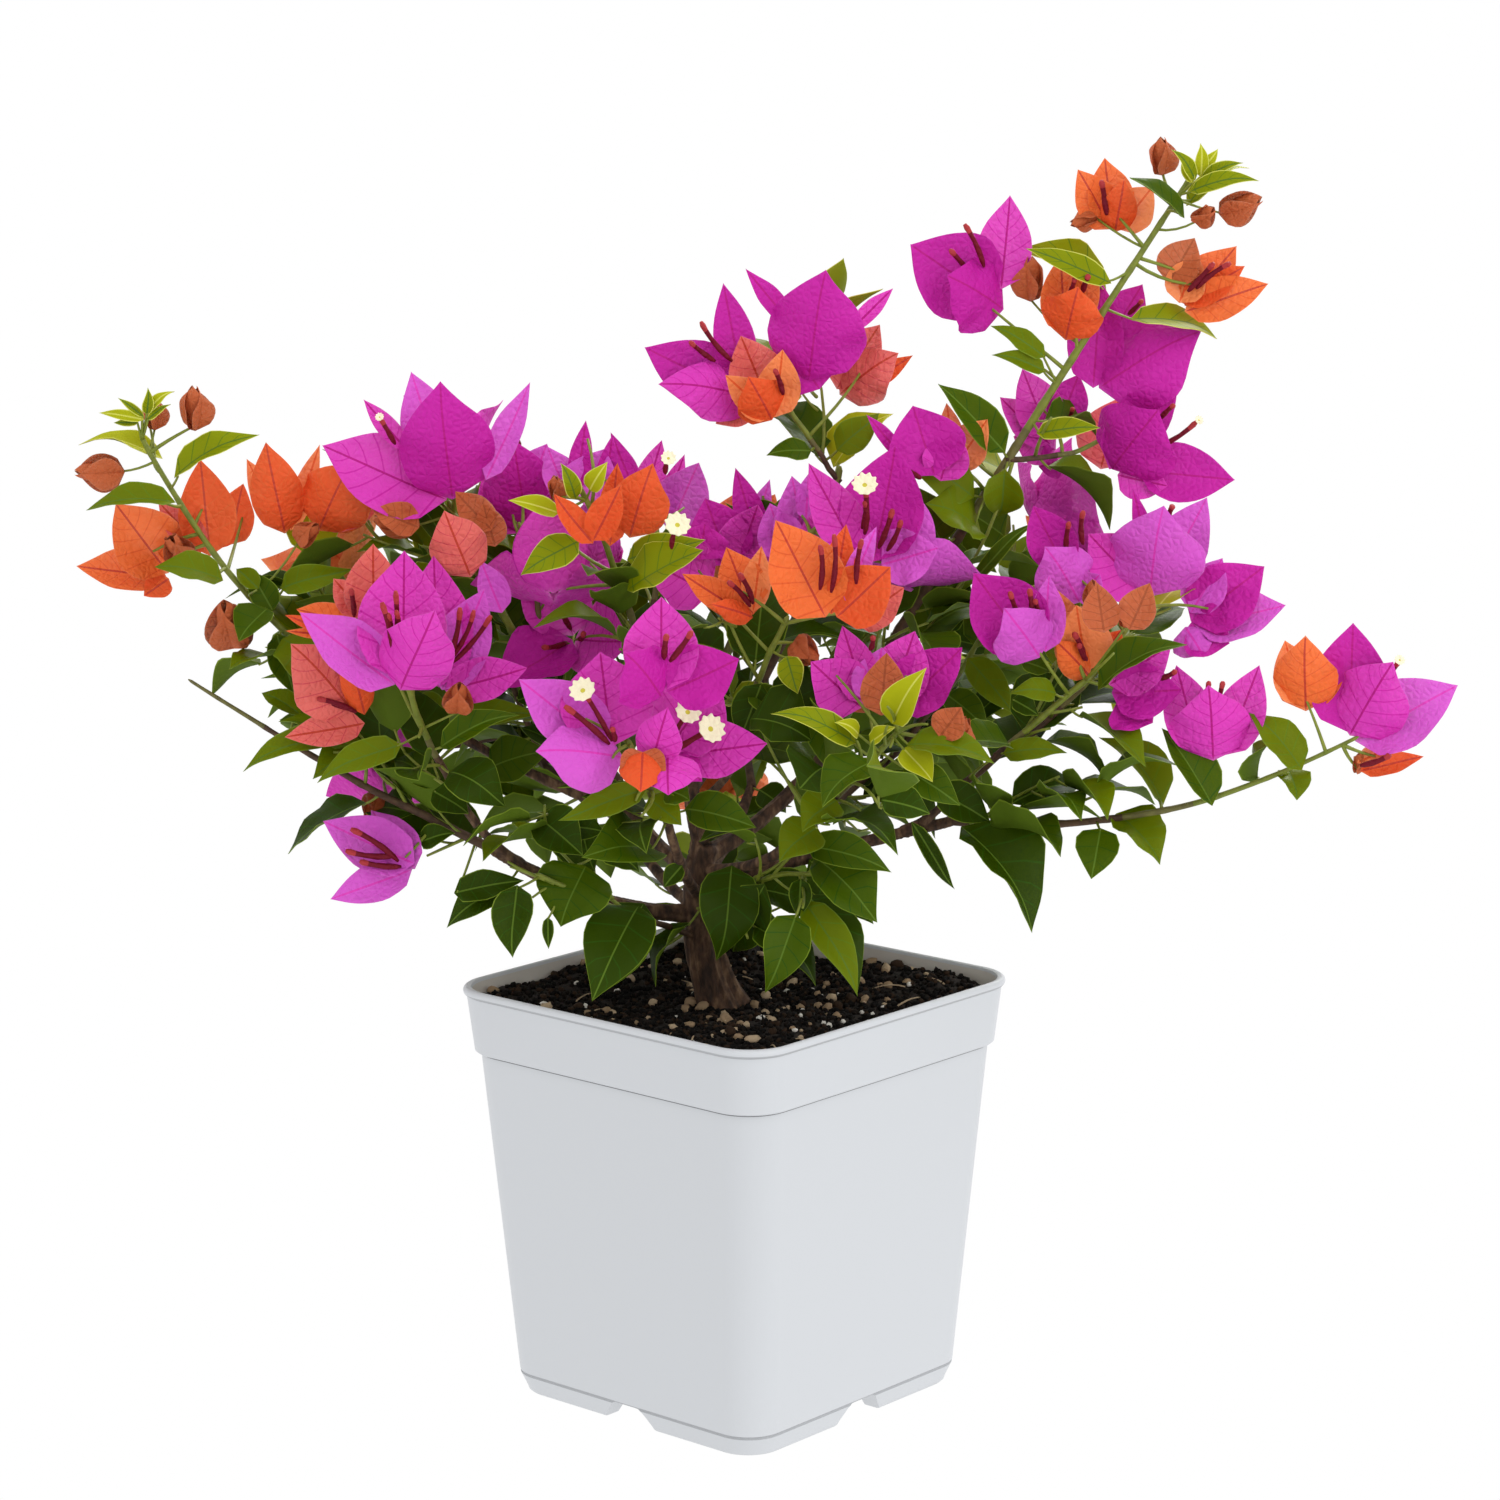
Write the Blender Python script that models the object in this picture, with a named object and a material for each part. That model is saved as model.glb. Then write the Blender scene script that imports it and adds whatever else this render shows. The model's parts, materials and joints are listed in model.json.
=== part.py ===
"""Bougainvillea bonsai in a square pot.

Metres, +Z up. The origin is on the pot's axis at the level it stands on, and the front looks along +Y.
The plant is a short trunk with boughs, and each bough carries a mass of twigs, leaves and blooms.
"""

import math
import random
from collections import namedtuple

import bmesh
import bpy
from mathutils import Matrix, Vector, noise
from mathutils.bvhtree import BVHTree

MM = 0.001
GAP = 0.3  # mm between one solid and the next
SEED = 27

# Pot, in mm: a square tapered nursery pot with rounded corners and a collar below its rim
RIM_HALF = 75.0
POT_HEIGHT = 154.3
CORNER_RADIUS = 16.5
FOOT_CORNER_RADIUS = 14.4
COLLAR_DEPTH = 24.4
COLLAR_FOOT_HALF = 72.0
WALL_TOP_HALF = 70.3
SEAM_HEIGHT = 7.8
SEAM_HALF = 60.8
FOOT_HALF = 58.7
WALL = 1.7
LIP_HEIGHT = 3.0
LIP_PROUD = 0.8
LIP_WIDTH = 2.6
COLLAR_STEP = 0.4
FLOOR_THICKNESS = 2.0
FOOT_WIDTH = 7.4
NOTCH_FOOT = 25.0
NOTCH_TOP = 14.0
NOTCH_SHORT = 0.1  # the notches stop this little short of the floor
HUB_RADIUS = 15.0
POT_TURN = 48.8  # degrees that the pot is turned from facing the front
CORNER_STEPS = 3

# Soil, in mm
SOIL_LEVEL = 144.3
SOIL_MOUND = 3.2
SOIL_RINGS = (1.0, 0.8, 0.56, 0.34, 0.17)
MOUND_SIZE = 26.0
TRUNK_CLEARING = 13.0

# Trunk, in mm
GROUND = 144.6
TRUNK_FOOT = (-4, GROUND, 4)
TRUNK_TOP = (-11, 204, 1)
TRUNK_BOW = (-5, 0, 0)
TRUNK_RADIUS_FOOT = 7.4
TRUNK_RADIUS_TOP = 4.9
TRUNK_STEPS = 9
BOUGH_MOST = 5.0  # mm of radius that no bough reaches
FLARE = 2.6
FLARE_HEIGHT = 7.0
FLARE_LOBES = 5

# Foliage, in mm
LEAF_THICKNESS = 0.9
BRACT_WIDTH = 0.86  # of a bract's length
WIDEST_SPREAD = 1.25  # half a bract's width at most, as a share of how far out that part of it is
WIDEST = 0.42  # share of a leaf's length at which it is widest
LEAF_CUP = 0.22
TURNS = (0.0, 0.9, -0.9, 1.8, -1.8)  # radians tried in turn to find room for a leaf or twig
FLAT_ANGLE = math.radians(0.6)
UNION_TRIES = ((0.0, "EXACT"), (0.03, "EXACT"), (0.06, "EXACT"), (0.1, "EXACT"), (0.0, "MANIFOLD"))
LEAST_JOINED = 0.7  # share of its pieces' volume that a sound union keeps at least
ROOT_SUNK = 0.25  # mm that the root of a leaf, stalk or twig reaches past the middle of its stem
LEAF_NECK = 0.2  # share of a leaf that may lie against its own twig
LOWEST_LEAF = 159.0
LEAF_PITCH = 17.5
LEAF_STALKS = (1.0, 15.0)  # mm, shortest and longest
LEAF_LENGTH = 36.0
TWIG_PITCH = 62.0
TWIG_LENGTH = 42.0
TWIG_LEAVES = 3
STALK_RADIUS = 0.75
STALK_OUT = 0.08  # share of a bract's length that a stalk ends away from the bloom's middle
STAR_MIDDLE = 0.04
STAR_HALF_DEPTH = 0.07
STALK_FOOT = 0.4  # radius where it leaves its stem, slim enough to meet it neatly
TWIG_RADII = (0.45, 0.7)
STALK_NECK = 0.2  # share of a stalk, at each end, that may lie against its own mass
STALK_ASIDE = math.radians(26)  # how far round from a bract's midrib its stalk joins it
STEM_STEP = 22.0  # mm of stem to each straight stretch of it
BREATHING = 0.4  # mm kept free between one mass and the next
DEPTH_STEPS = (0, 4, -4, 8, -8, 12, -12, 16, -16, 20, 26)  # mm tried in turn to find room for a bloom
CLEARANCE = 0.5  # mm off a limb's many-sided line, so that its child stands clear of it
GOLDEN_ANGLE = math.radians(137.5)
UP = Vector((0, 0, 1))
CROWN_HEART = Vector((0, 20, 235)) * MM  # leaves and twigs turn away from here

EYE = Vector((6, -1472, 530)) * MM  # places are told as seen from here


def place(across, up, depth):
    """The point seen `across` and `up` on the upright plane through the pot's axis, `depth` behind it."""
    on_plane = Vector((across, 0, up)) * MM
    return EYE + (on_plane - EYE) * ((depth * MM - EYE.y) / -EYE.y)


def shift(across, up, depth):
    """A step in mm, given across, up and in depth."""
    return Vector((across, depth, up)) * MM


# Each limb grows from its parent, at a share of the parent's length, to its end.
# Limbs named after a mass are the stems of that mass; the others are boughs.
Plan = namedtuple("Plan", "name node parent along end bow foot tip")

BOUGHS = (
    Plan("left", "bough_left", "trunk", 0.58, (-87, 203, -19), (0, -6, 0), 3.0, 2.1),
    Plan("left_upper", "bough_left_upper", "left", 0.88, (-97, 218, -30), (-1, -1, 0), 1.7, 1.5),
    Plan("back_left", "bough_back_left", "trunk", 0.80, (-42, 228, 28), (-3, -3, 4), 2.6, 2.0),
    Plan("upper_left", "bough_upper_left", "back_left", 0.70, (-97, 244, 14), (0, -3, 5), 2.0, 1.7),
    Plan("leader", "bough_leader", "trunk", 1.0, (-14, 240, 6), (-3, 0, 1), 3.4, 2.2),
    Plan("centre_left", "bough_centre_left", "leader", 0.72, (-30, 253, -10), (0, -2, 0), 1.7, 1.5),
    Plan("centre_front", "bough_centre_front", "leader", 0.40, (3, 244, -24), (2, -3, -2), 1.7, 1.4),
    Plan("top", "bough_top", "leader", 0.60, (11, 266, 26), (2, -3, 3), 2.0, 1.7),
    Plan("front_left", "bough_front_left", "trunk", 0.70, (-24, 212, -42), (0, -3, -4), 2.0, 1.6),
    Plan("front_right", "bough_front_right", "trunk", 0.86, (27, 212, -42), (3, -4, -5), 1.9, 1.6),
    Plan("right", "bough_right", "trunk", 0.73, (78, 213, -12), (0, 1, 0), 2.7, 1.9),
    Plan("right_upper", "bough_right_upper", "right", 0.82, (81, 225, -17), (1, -1, 0), 1.6, 1.5),
    Plan("back_right", "bough_back_right", "trunk", 0.93, (29, 233, 20), (1, -3, 3), 2.9, 2.4),
    Plan("back", "bough_back", "trunk", 0.80, (6, 226, 56), (1, -4, 4), 2.3, 1.8),
    Plan("back_low_left", "bough_back_low_left", "trunk", 0.60, (-40, 212, 50), (0, -4, 3), 2.1, 1.7),
    Plan("back_low_right", "bough_back_low_right", "trunk", 0.66, (29, 214, 52), (0, -4, 3), 2.1, 1.7),
)

STEMS = (
    Plan("s_upper_left", "foliage_upper_left", "upper_left", 1.0, (-210, 353, 3), (-8, -14, 0), 1.6, 0.9),
    Plan("s_left_low", "foliage_left_low", "left", 1.0, (-195, 265, 0), (3, -2, -8), 1.8, 0.6),
    Plan("s_left_front", "foliage_left_front", "left_upper", 1.0, (-119, 269, -52), (-2, 0, 0), 1.4, 1.0),
    Plan("s_mid_left", "foliage_mid_left", "back_left", 1.0, (-101, 329, 8), (-5, 0, 0), 1.9, 1.1),
    Plan("s_mid_left_2", "foliage_mid_left", "s_mid_left", 0.4, (-76, 321, 14), (3, 0, 0), 1.2, 0.9),
    Plan("s_centre_left", "foliage_centre_left", "centre_left", 1.0, (-55, 336, -30), (4, 0, 0), 1.4, 1.0),
    Plan("s_centre_left_2", "foliage_centre_left", "s_centre_left", 0.25, (-28, 325, 12), (3, 0, 2), 1.2, 0.9),
    Plan("s_front", "foliage_front", "front_left", 1.0, (-38, 243, -80), (0, 0, -3), 1.4, 1.0),
    Plan("s_front_right", "foliage_front_right", "front_right", 1.0, (60, 247, -70), (-2, -2, -3), 1.4, 1.0),
    Plan("s_centre_front", "foliage_centre_front", "centre_front", 1.0, (19, 287, -44), (-2, 0, 0), 1.3, 1.0),
    Plan("s_centre_back", "foliage_centre_back", "leader", 1.0, (31, 321, 2), (-5, 6, 0), 2.0, 1.1),
    Plan("s_top", "foliage_top", "top", 1.0, (38, 341, 26), (3, -2, 0), 1.6, 1.2),
    Plan("s_top_2", "foliage_top", "s_top", 0.96, (19, 365, 20), (0, 0, 0), 1.1, 0.9),
    Plan("s_upper_right", "foliage_upper_right", "back_right", 1.0, (166, 451, 34), (0, 2, 0), 2.3, 0.9),
    Plan("s_upper_right_2", "foliage_upper_right", "s_upper_right", 0.5, (135, 354, 46), (2, -3, 0), 1.1, 0.8),
    Plan("s_right", "foliage_right", "right_upper", 1.0, (128, 266, -30), (0, 0, 0), 1.4, 1.0),
    Plan("s_right_2", "foliage_right", "s_right", 0.3, (146, 292, -2), (4, -4, 2), 1.2, 0.8),
    Plan("s_lower_right", "foliage_lower_right", "right", 1.0, (224, 243, -34), (0, -12, 0), 1.6, 0.7),
    Plan("s_low_left", "foliage_low_left", "trunk", 0.42, (-71, 193, -40), (2, 0, -6), 1.2, 0.8),
    Plan("s_low_right", "foliage_low_right", "trunk", 0.57, (28, 194, -38), (0, 4, 0), 1.2, 0.8),
    Plan("s_back", "foliage_back", "back", 1.0, (-1, 288, 112), (0, 0, 8), 1.6, 1.0),
    Plan("s_back_left", "foliage_back_left", "back_low_left", 1.0, (-131, 293, 118), (0, -6, 8), 1.5, 0.9),
    Plan("s_back_right", "foliage_back_right", "back_low_right", 1.0, (110, 290, 126), (0, -6, 8), 1.5, 0.9),
    Plan("s_back_2", "foliage_back", "s_back", 0.25, (-46, 286, 78), (-3, -6, 0), 1.2, 0.8),
    Plan("s_back_3", "foliage_back", "s_back", 0.45, (51, 284, 122), (3, -6, 0), 1.2, 0.8),
    Plan("s_back_left_2", "foliage_back_left", "s_back_left", 0.3, (-92, 326, 72), (-3, -4, 0), 1.2, 0.8),
    Plan("s_back_left_3", "foliage_back_left", "s_back_left", 0.45, (-146, 243, 84), (0, -4, 0), 1.1, 0.8),
    Plan("s_back_right_2", "foliage_back_right", "s_back_right", 0.3, (102, 308, 66), (3, -4, 0), 1.2, 0.8),
    Plan("s_back_right_3", "foliage_back_right", "s_back_right", 0.4, (59, 266, 138), (0, -4, 0), 1.1, 0.8),
    Plan("s_back_low", "foliage_back_low", "trunk", 0.50, (-6, 220, 118), (0, -8, 0), 1.9, 0.8),
)

# Blooms of three bracts: the colour, where the middle is seen, the bract's length in mm, the way the
# mouth faces (degrees round from the front and up), the turn about that way and how wide it opens
Bloom = namedtuple("Bloom", "colour at size around up turn opening")

BLOOMS = {
    "foliage_upper_left": (
        Bloom("orange", (-213, 314, 4), 36, -40, 15, 0, 55),
        Bloom("salmon", (-189, 330, 14), 34, 170, 35, 0, 50),
        Bloom("orange", (-153, 334, 8), 38, 10, 72, 60, 42),
        Bloom("orange", (-176, 326, 20), 26, 160, 40, 20, 40),
    ),
    "foliage_left_low": (
        Bloom("magenta", (-124, 200, -30), 38, -60, 20, 0, 58),
        Bloom("magenta", (-126, 231, 6), 30, 190, 10, 0, 50),
    ),
    "foliage_left_front": (
        Bloom("magenta", (-122, 280, -56), 41, -10, 45, 0, 62),
        Bloom("magenta", (-94, 280, -58), 39, 20, 52, 40, 62),
        Bloom("salmon", (-145, 265, -38), 38, -65, 5, 10, 55),
        Bloom("orange", (-134, 303, -26), 32, 185, 40, 0, 48),
    ),
    "foliage_mid_left": (
        Bloom("magenta", (-102, 349, 2), 38, 180, 62, 0, 52),
        Bloom("magenta", (-77, 336, 10), 38, 175, 55, 0, 48),
        Bloom("salmon", (-97, 314, -16), 30, 180, 45, 0, 40),
        Bloom("orange", (-86, 324, -4), 20, 200, 60, 0, 35),
    ),
    "foliage_centre_left": (
        Bloom("orange", (-36, 330, -28), 24, 180, 72, 0, 38),
        Bloom("orange", (-49, 325, -30), 21, -20, 70, 30, 40),
        Bloom("magenta", (-52, 346, 12), 34, 0, 62, 0, 52),
        Bloom("magenta", (-30, 342, 14), 36, 30, 58, 30, 55),
        Bloom("magenta", (-15, 333, 22), 34, 175, 50, 0, 50),
        Bloom("magenta", (-64, 305, 8), 36, 185, 35, 0, 52),
        Bloom("magenta", (-60, 283, 10), 34, -20, 25, 20, 55),
    ),
    "foliage_front": (
        Bloom("magenta", (-58, 253, -88), 38, -30, 32, 10, 64),
        Bloom("magenta", (-47, 236, -94), 38, -5, 15, 150, 62),
        Bloom("magenta", (-21, 239, -94), 40, 20, 28, 35, 64),
        Bloom("magenta", (-25, 269, -80), 39, 5, 48, 0, 58),
        Bloom("orange", (-33, 231, -98), 15, 0, 20, 0, 35),
    ),
    "foliage_centre_front": (
        Bloom("orange", (1, 301, -46), 31, -5, 45, 0, 56),
        Bloom("orange", (34, 297, -52), 45, 5, 42, 180, 56),
        Bloom("salmon", (54, 292, -34), 28, 120, 40, 0, 48),
        Bloom("magenta", (-15, 309, -22), 34, -30, 45, 0, 52),
    ),
    "foliage_centre_back": (
        Bloom("magenta", (26, 331, 4), 36, 25, 58, 10, 52),
        Bloom("magenta", (51, 329, -4), 40, 20, 48, 0, 58),
        Bloom("magenta", (61, 309, 2), 32, 150, 30, 0, 50),
    ),
    "foliage_top": (
        Bloom("magenta", (30, 388, 22), 37, 182, 62, 0, 52),
        Bloom("magenta", (-5, 376, 16), 35, -20, 46, 0, 60),
        Bloom("orange", (12, 369, 8), 28, -5, 62, 180, 46),
        Bloom("salmon", (49, 380, 26), 28, 170, 56, 0, 46),
        Bloom("salmon", (3, 362, 14), 24, 200, 30, 0, 45),
    ),
    "foliage_upper_right": (
        Bloom("orange", (135, 436, 36), 29, -20, 62, 180, 48),
        Bloom("magenta", (86, 404, 32), 37, -25, 50, 0, 58),
        Bloom("orange", (119, 402, 28), 28, 0, 78, 60, 34),
        Bloom("orange", (169, 407, 26), 34, 30, 34, 0, 58),
        Bloom("orange", (158, 416, 36), 22, 180, 60, 0, 36),
        Bloom("magenta", (145, 383, 52), 41, 165, 38, 0, 54),
        Bloom("magenta", (148, 354, 50), 42, 70, 20, 0, 58),
        Bloom("magenta", (109, 365, 56), 38, 200, 40, 0, 54),
        Bloom("salmon", (133, 359, 60), 28, 150, 60, 0, 45),
        Bloom("magenta", (67, 356, 32), 34, 190, 50, 0, 50),
        Bloom("orange", (81, 354, 28), 28, 180, 62, 0, 42),
    ),
    "foliage_right": (
        Bloom("magenta", (101, 292, -36), 37, -20, 46, 0, 60),
        Bloom("orange", (124, 281, -42), 30, 5, 62, 180, 42),
        Bloom("orange", (136, 282, -38), 20, 160, 60, 0, 38),
        Bloom("magenta", (122, 306, -4), 34, -5, 62, 0, 54),
        Bloom("magenta", (152, 311, 6), 42, 178, 48, 0, 52),
        Bloom("magenta", (176, 292, 0), 38, 80, 10, 0, 56),
        Bloom("magenta", (147, 263, -16), 32, 175, 0, 0, 50),
        Bloom("magenta", (173, 251, -36), 35, 5, 76, 60, 36),
    ),
    "foliage_lower_right": (
        Bloom("orange", (205, 265, -33), 26, 0, 78, 60, 34),
        Bloom("magenta", (232, 261, -36), 42, 68, 34, 0, 56),
        Bloom("orange", (237, 235, -36), 21, 80, -5, 0, 30),
    ),
    "foliage_front_right": (
        Bloom("magenta", (35, 272, -58), 37, -15, 48, 0, 58),
        Bloom("magenta", (64, 272, -56), 38, 20, 50, 0, 58),
        Bloom("orange", (45, 262, -66), 20, -5, 66, 60, 26),
        Bloom("orange", (56, 266, -68), 20, 5, 70, 0, 28),
        Bloom("orange", (71, 255, -66), 18, 30, 66, 60, 28),
    ),
}

# Closed buds of young bracts: where each is seen, its length in mm and the way it points
Bud = namedtuple("Bud", "at size around up")

BUDS = {
    "foliage_upper_left": (
        Bud((-206, 362, 4), 13, 0, 82),
        Bud((-191, 364, 0), 17, 8, 78),
        Bud((-226, 341, 2), 18, -84, 0),
        Bud((-199, 314, 0), 15, -10, 40),
        Bud((-152, 319, 2), 12, 60, 40),
        Bud((-181, 286, -2), 22, -10, 60),
    ),
    "foliage_left_low": (Bud((-131, 219, -8), 12, 0, -40),),
    "foliage_left_front": (Bud((-99, 259, -50), 14, 10, 60),),
    "foliage_mid_left": (Bud((-120, 323, -2), 17, -80, 10),),
    "foliage_centre_left": (Bud((-63, 335, -26), 10, -10, 70),),
    "foliage_centre_front": (Bud((26, 274, -46), 14, 40, -30),),
    "foliage_upper_right": (
        Bud((152, 451, 34), 15, -10, 70),
        Bud((179, 434, 34), 17, 72, 20),
        Bud((166, 431, 28), 11, 40, 30),
        Bud((124, 429, 38), 11, -70, -10),
        Bud((106, 408, 30), 17, -5, 80),
    ),
    "foliage_right": (
        Bud((130, 294, -40), 11, -20, 80),
        Bud((141, 289, -38), 11, 20, 80),
        Bud((141, 262, -22), 13, -70, 10),
    ),
    "foliage_lower_right": (Bud((226, 234, -32), 9, -10, 60),),
    "foliage_front_right": (Bud((81, 245, -66), 15, 50, 60),),
}

# Leaves that make the outline of the shoots: where root and tip are seen, and the width in mm
Leaf = namedtuple("Leaf", "root tip width")

OUTLINE_LEAVES = {
    "foliage_upper_left": (
        Leaf((-204, 345, 2), (-233, 354, 2), 11),
        Leaf((-199, 339, -2), (-170, 356, -6), 12),
        Leaf((-197, 332, 2), (-229, 330, 0), 12),
        Leaf((-207, 357, 4), (-219, 363, 4), 8),
        Leaf((-181, 304, -4), (-205, 310, -8), 14),
        Leaf((-174, 299, 4), (-139, 306, -4), 20),
        Leaf((-167, 292, -4), (-178, 281, -14), 15),
        Leaf((-162, 281, -4), (-140, 262, -16), 24),
    ),
    "foliage_left_low": (
        Leaf((-143, 246, -14), (-176, 235, -22), 18),
        Leaf((-130, 239, -18), (-152, 232, -34), 19),
        Leaf((-156, 253, -8), (-170, 262, -4), 9),
    ),
    "foliage_left_front": (
        Leaf((-103, 232, -46), (-83, 220, -56), 19),
        Leaf((-111, 246, -50), (-130, 242, -60), 18),
    ),
    "foliage_centre_left": (
        Leaf((-47, 314, -34), (-77, 304, -44), 19),
        Leaf((-43, 307, -34), (-15, 319, -40), 21),
        Leaf((-51, 325, -34), (-79, 331, -30), 13),
        Leaf((-38, 298, -34), (-11, 313, -40), 20),
    ),
    "foliage_front": (
        Leaf((-32, 222, -70), (-63, 214, -84), 21),
        Leaf((-24, 219, -72), (-6, 208, -88), 19),
        Leaf((-29, 203, -52), (-52, 203, -74), 24),
    ),
    "foliage_low_left": (
        Leaf((-79, 201, -38), (-107, 182, -42), 17),
        Leaf((-82, 199, -38), (-80, 173, -40), 18),
        Leaf((-35, 182, -30), (-52, 148, -56), 24),
        Leaf((-47, 188, -36), (-64, 175, -50), 29),
        Leaf((-49, 189, -34), (-83, 164, -44), 20),
        Leaf((-1, 198, -28), (-5, 161, -40), 22),
    ),
    "foliage_low_right": (
        Leaf((29, 199, -40), (52, 176, -52), 24),
        Leaf((26, 186, -20), (46, 150, -42), 17),
        Leaf((4, 191, -12), (15, 170, -14), 20),
    ),
    "foliage_front_right": (
        Leaf((33, 232, -54), (28, 259, -58), 30),
        Leaf((6, 251, -44), (28, 244, -50), 26),
        Leaf((2, 241, -38), (31, 234, -44), 22),
        Leaf((32, 233, -66), (24, 226, -72), 24),
        Leaf((45, 251, -70), (15, 256, -78), 14),
        Leaf((53, 256, -72), (69, 270, -80), 15),
        Leaf((50, 236, -70), (31, 221, -86), 18),
        Leaf((54, 243, -72), (72, 228, -84), 16),
        Leaf((62, 242, -70), (94, 236, -76), 15),
    ),
    "foliage_right": (
        Leaf((111, 250, -30), (119, 238, -46), 18),
        Leaf((99, 242, -26), (79, 243, -40), 16),
        Leaf((118, 258, -32), (96, 268, -36), 20),
        Leaf((131, 261, -36), (162, 279, -40), 14),
    ),
    "foliage_lower_right": (
        Leaf((82, 211, -22), (109, 172, -40), 27),
        Leaf((132, 212, -22), (129, 194, -34), 15),
        Leaf((139, 214, -22), (156, 196, -36), 19),
        Leaf((156, 217, -24), (133, 243, -18), 17),
        Leaf((172, 220, -26), (154, 249, -22), 16),
        Leaf((201, 230, -32), (205, 219, -42), 12),
        Leaf((190, 225, -30), (194, 242, -36), 17),
        Leaf((204, 233, -30), (186, 255, -26), 16),
    ),
    "foliage_top": (
        Leaf((24, 349, 24), (12, 347, 24), 9),
        Leaf((36, 341, 26), (56, 362, 30), 17),
    ),
    "foliage_upper_right": (
        Leaf((159, 430, 28), (140, 445, 24), 13),
        Leaf((160, 434, 38), (180, 451, 46), 9),
        Leaf((134, 402, 32), (104, 420, 24), 18),
        Leaf((140, 395, 38), (172, 390, 48), 13),
        Leaf((111, 376, 36), (89, 393, 30), 13),
        Leaf((102, 349, 36), (73, 372, 30), 25),
        Leaf((111, 359, 40), (130, 354, 52), 14),
        Leaf((99, 338, 30), (61, 349, 20), 25),
        Leaf((88, 320, 28), (70, 331, 18), 26),
        Leaf((80, 309, 32), (106, 328, 40), 24),
        Leaf((65, 280, 26), (90, 294, 36), 26),
    ),
}

# Masses behind, whose blooms a rule deals out at the ends of their twigs: how many
HIDDEN_BLOOMS = {
    "foliage_back": 4,
    "foliage_back_left": 4,
    "foliage_back_right": 4,
    "foliage_back_low": 2,
}

# Masses whose leaves stand further apart, by this factor
SPARSER = {
    "foliage_back": 1.5,
    "foliage_back_left": 1.5,
    "foliage_back_right": 1.5,
    "foliage_low_left": 0.6,
    "foliage_low_right": 0.6,
}

# How far up its stems the rule puts leaves on a mass whose shoots are open at the end
RULE_REACH = {
    "foliage_left_low": 0.6,
    "foliage_upper_left": 0.45,
    "foliage_upper_right": 0.35,
    "foliage_lower_right": 0.12,
    "foliage_top": 0.6,
}

# Round places that the crown leaves open, as seen from the front: across, up and radius, in mm
OPEN_SKY = (
    (-66, 365, 10),
    (-43, 371, 15),
    (-34, 360, 9),
    (-19, 358, 8),
    (-7, 350, 8),
    (4, 349, 6),
    (6, 398, 7),
    (36, 360, 4),
    (64, 394, 10),
    (66, 371, 6),
    (-185, 248, 12),
    (-166, 219, 15),
    (-146, 221, 6),
    (-138, 181, 7),
    (-125, 177, 11),
    (-93, 170, 6),
    (88, 174, 9),
    (108, 200, 5),
    (117, 189, 10),
    (134, 203, 5),
    (125, 245, 7),
    (136, 249, 5),
    (187, 277, 6),
    (184, 314, 8),
    (162, 332, 5),
    (170, 381, 8),
    (200, 387, 20),
    (240, 295, 19),
)

Tube = namedtuple("Tube", "points radii")
Blade = namedtuple("Blade", "anchor root tip normal width thickness cup")
Star = namedtuple("Star", "foot way first second size opening")


class Limb:
    """A trunk, bough, stem, twig or stalk: a bowed line that tapers from foot to tip."""

    def __init__(self, start, end, bow, foot, tip):
        self.start = start
        self.end = end
        self.bow = bow
        self.foot = foot * MM
        self.tip = tip * MM

    def at(self, share):
        return self.start.lerp(self.end, share) + self.bow * (4 * share * (1 - share))

    def way(self, share):
        return (self.end - self.start + self.bow * (4 - 8 * share)).normalized()

    def radius(self, share):
        return self.foot + (self.tip - self.foot) * share

    def length(self):
        return (self.end - self.start).length

    def nearest(self, point, last=0.97):
        """The share of the length at which the limb passes nearest to a point."""
        shares = [last * i / 24 for i in range(25)]
        return min(shares, key=lambda share: (self.at(share) - point).length)

    def tube(self, steps=None, swell=0.0):
        steps = steps or max(2, round(self.length() / (STEM_STEP * MM)))
        shares = [i / steps for i in range(steps + 1)]
        points = [self.at(s) for s in shares]
        points[-1] = points[-1] + self.way(1.0) * (swell * MM)
        return Tube(points, [self.radius(s) + swell * MM for s in shares])


def facing(around, up):
    """The direction `around` degrees from the front towards the right, and `up` degrees above level."""
    around = math.radians(around)
    up = math.radians(up)
    return Vector((math.sin(around) * math.cos(up), -math.cos(around) * math.cos(up), math.sin(up)))


def square_to(way, turn=0.0):
    """Two directions square to a way: the first as near to straight up as can be, turned by `turn`."""
    first = UP - way * way.z
    if first.length < 0.05:
        first = Vector((0, 1, 0)) - way * way.y
    first.normalize()
    second = way.cross(first)
    return (
        first * math.cos(turn) + second * math.sin(turn),
        second * math.cos(turn) - first * math.sin(turn),
    )


def unit_ball(sides):
    """Corners and faces of a ball of two rings of triangles, which leaves and blooms are drawn from."""
    bm = bmesh.new()
    bmesh.ops.create_uvsphere(bm, u_segments=sides, v_segments=2, radius=1.0)
    corners = [v.co.copy() for v in bm.verts]
    faces = [[v.index for v in f.verts] for f in bm.faces]
    bm.free()
    return corners, faces


BLADE_SIDES = 4
STAR_SIDES = 12
UNIT_BALLS = {sides: unit_ball(sides) for sides in (BLADE_SIDES, STAR_SIDES)}


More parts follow.
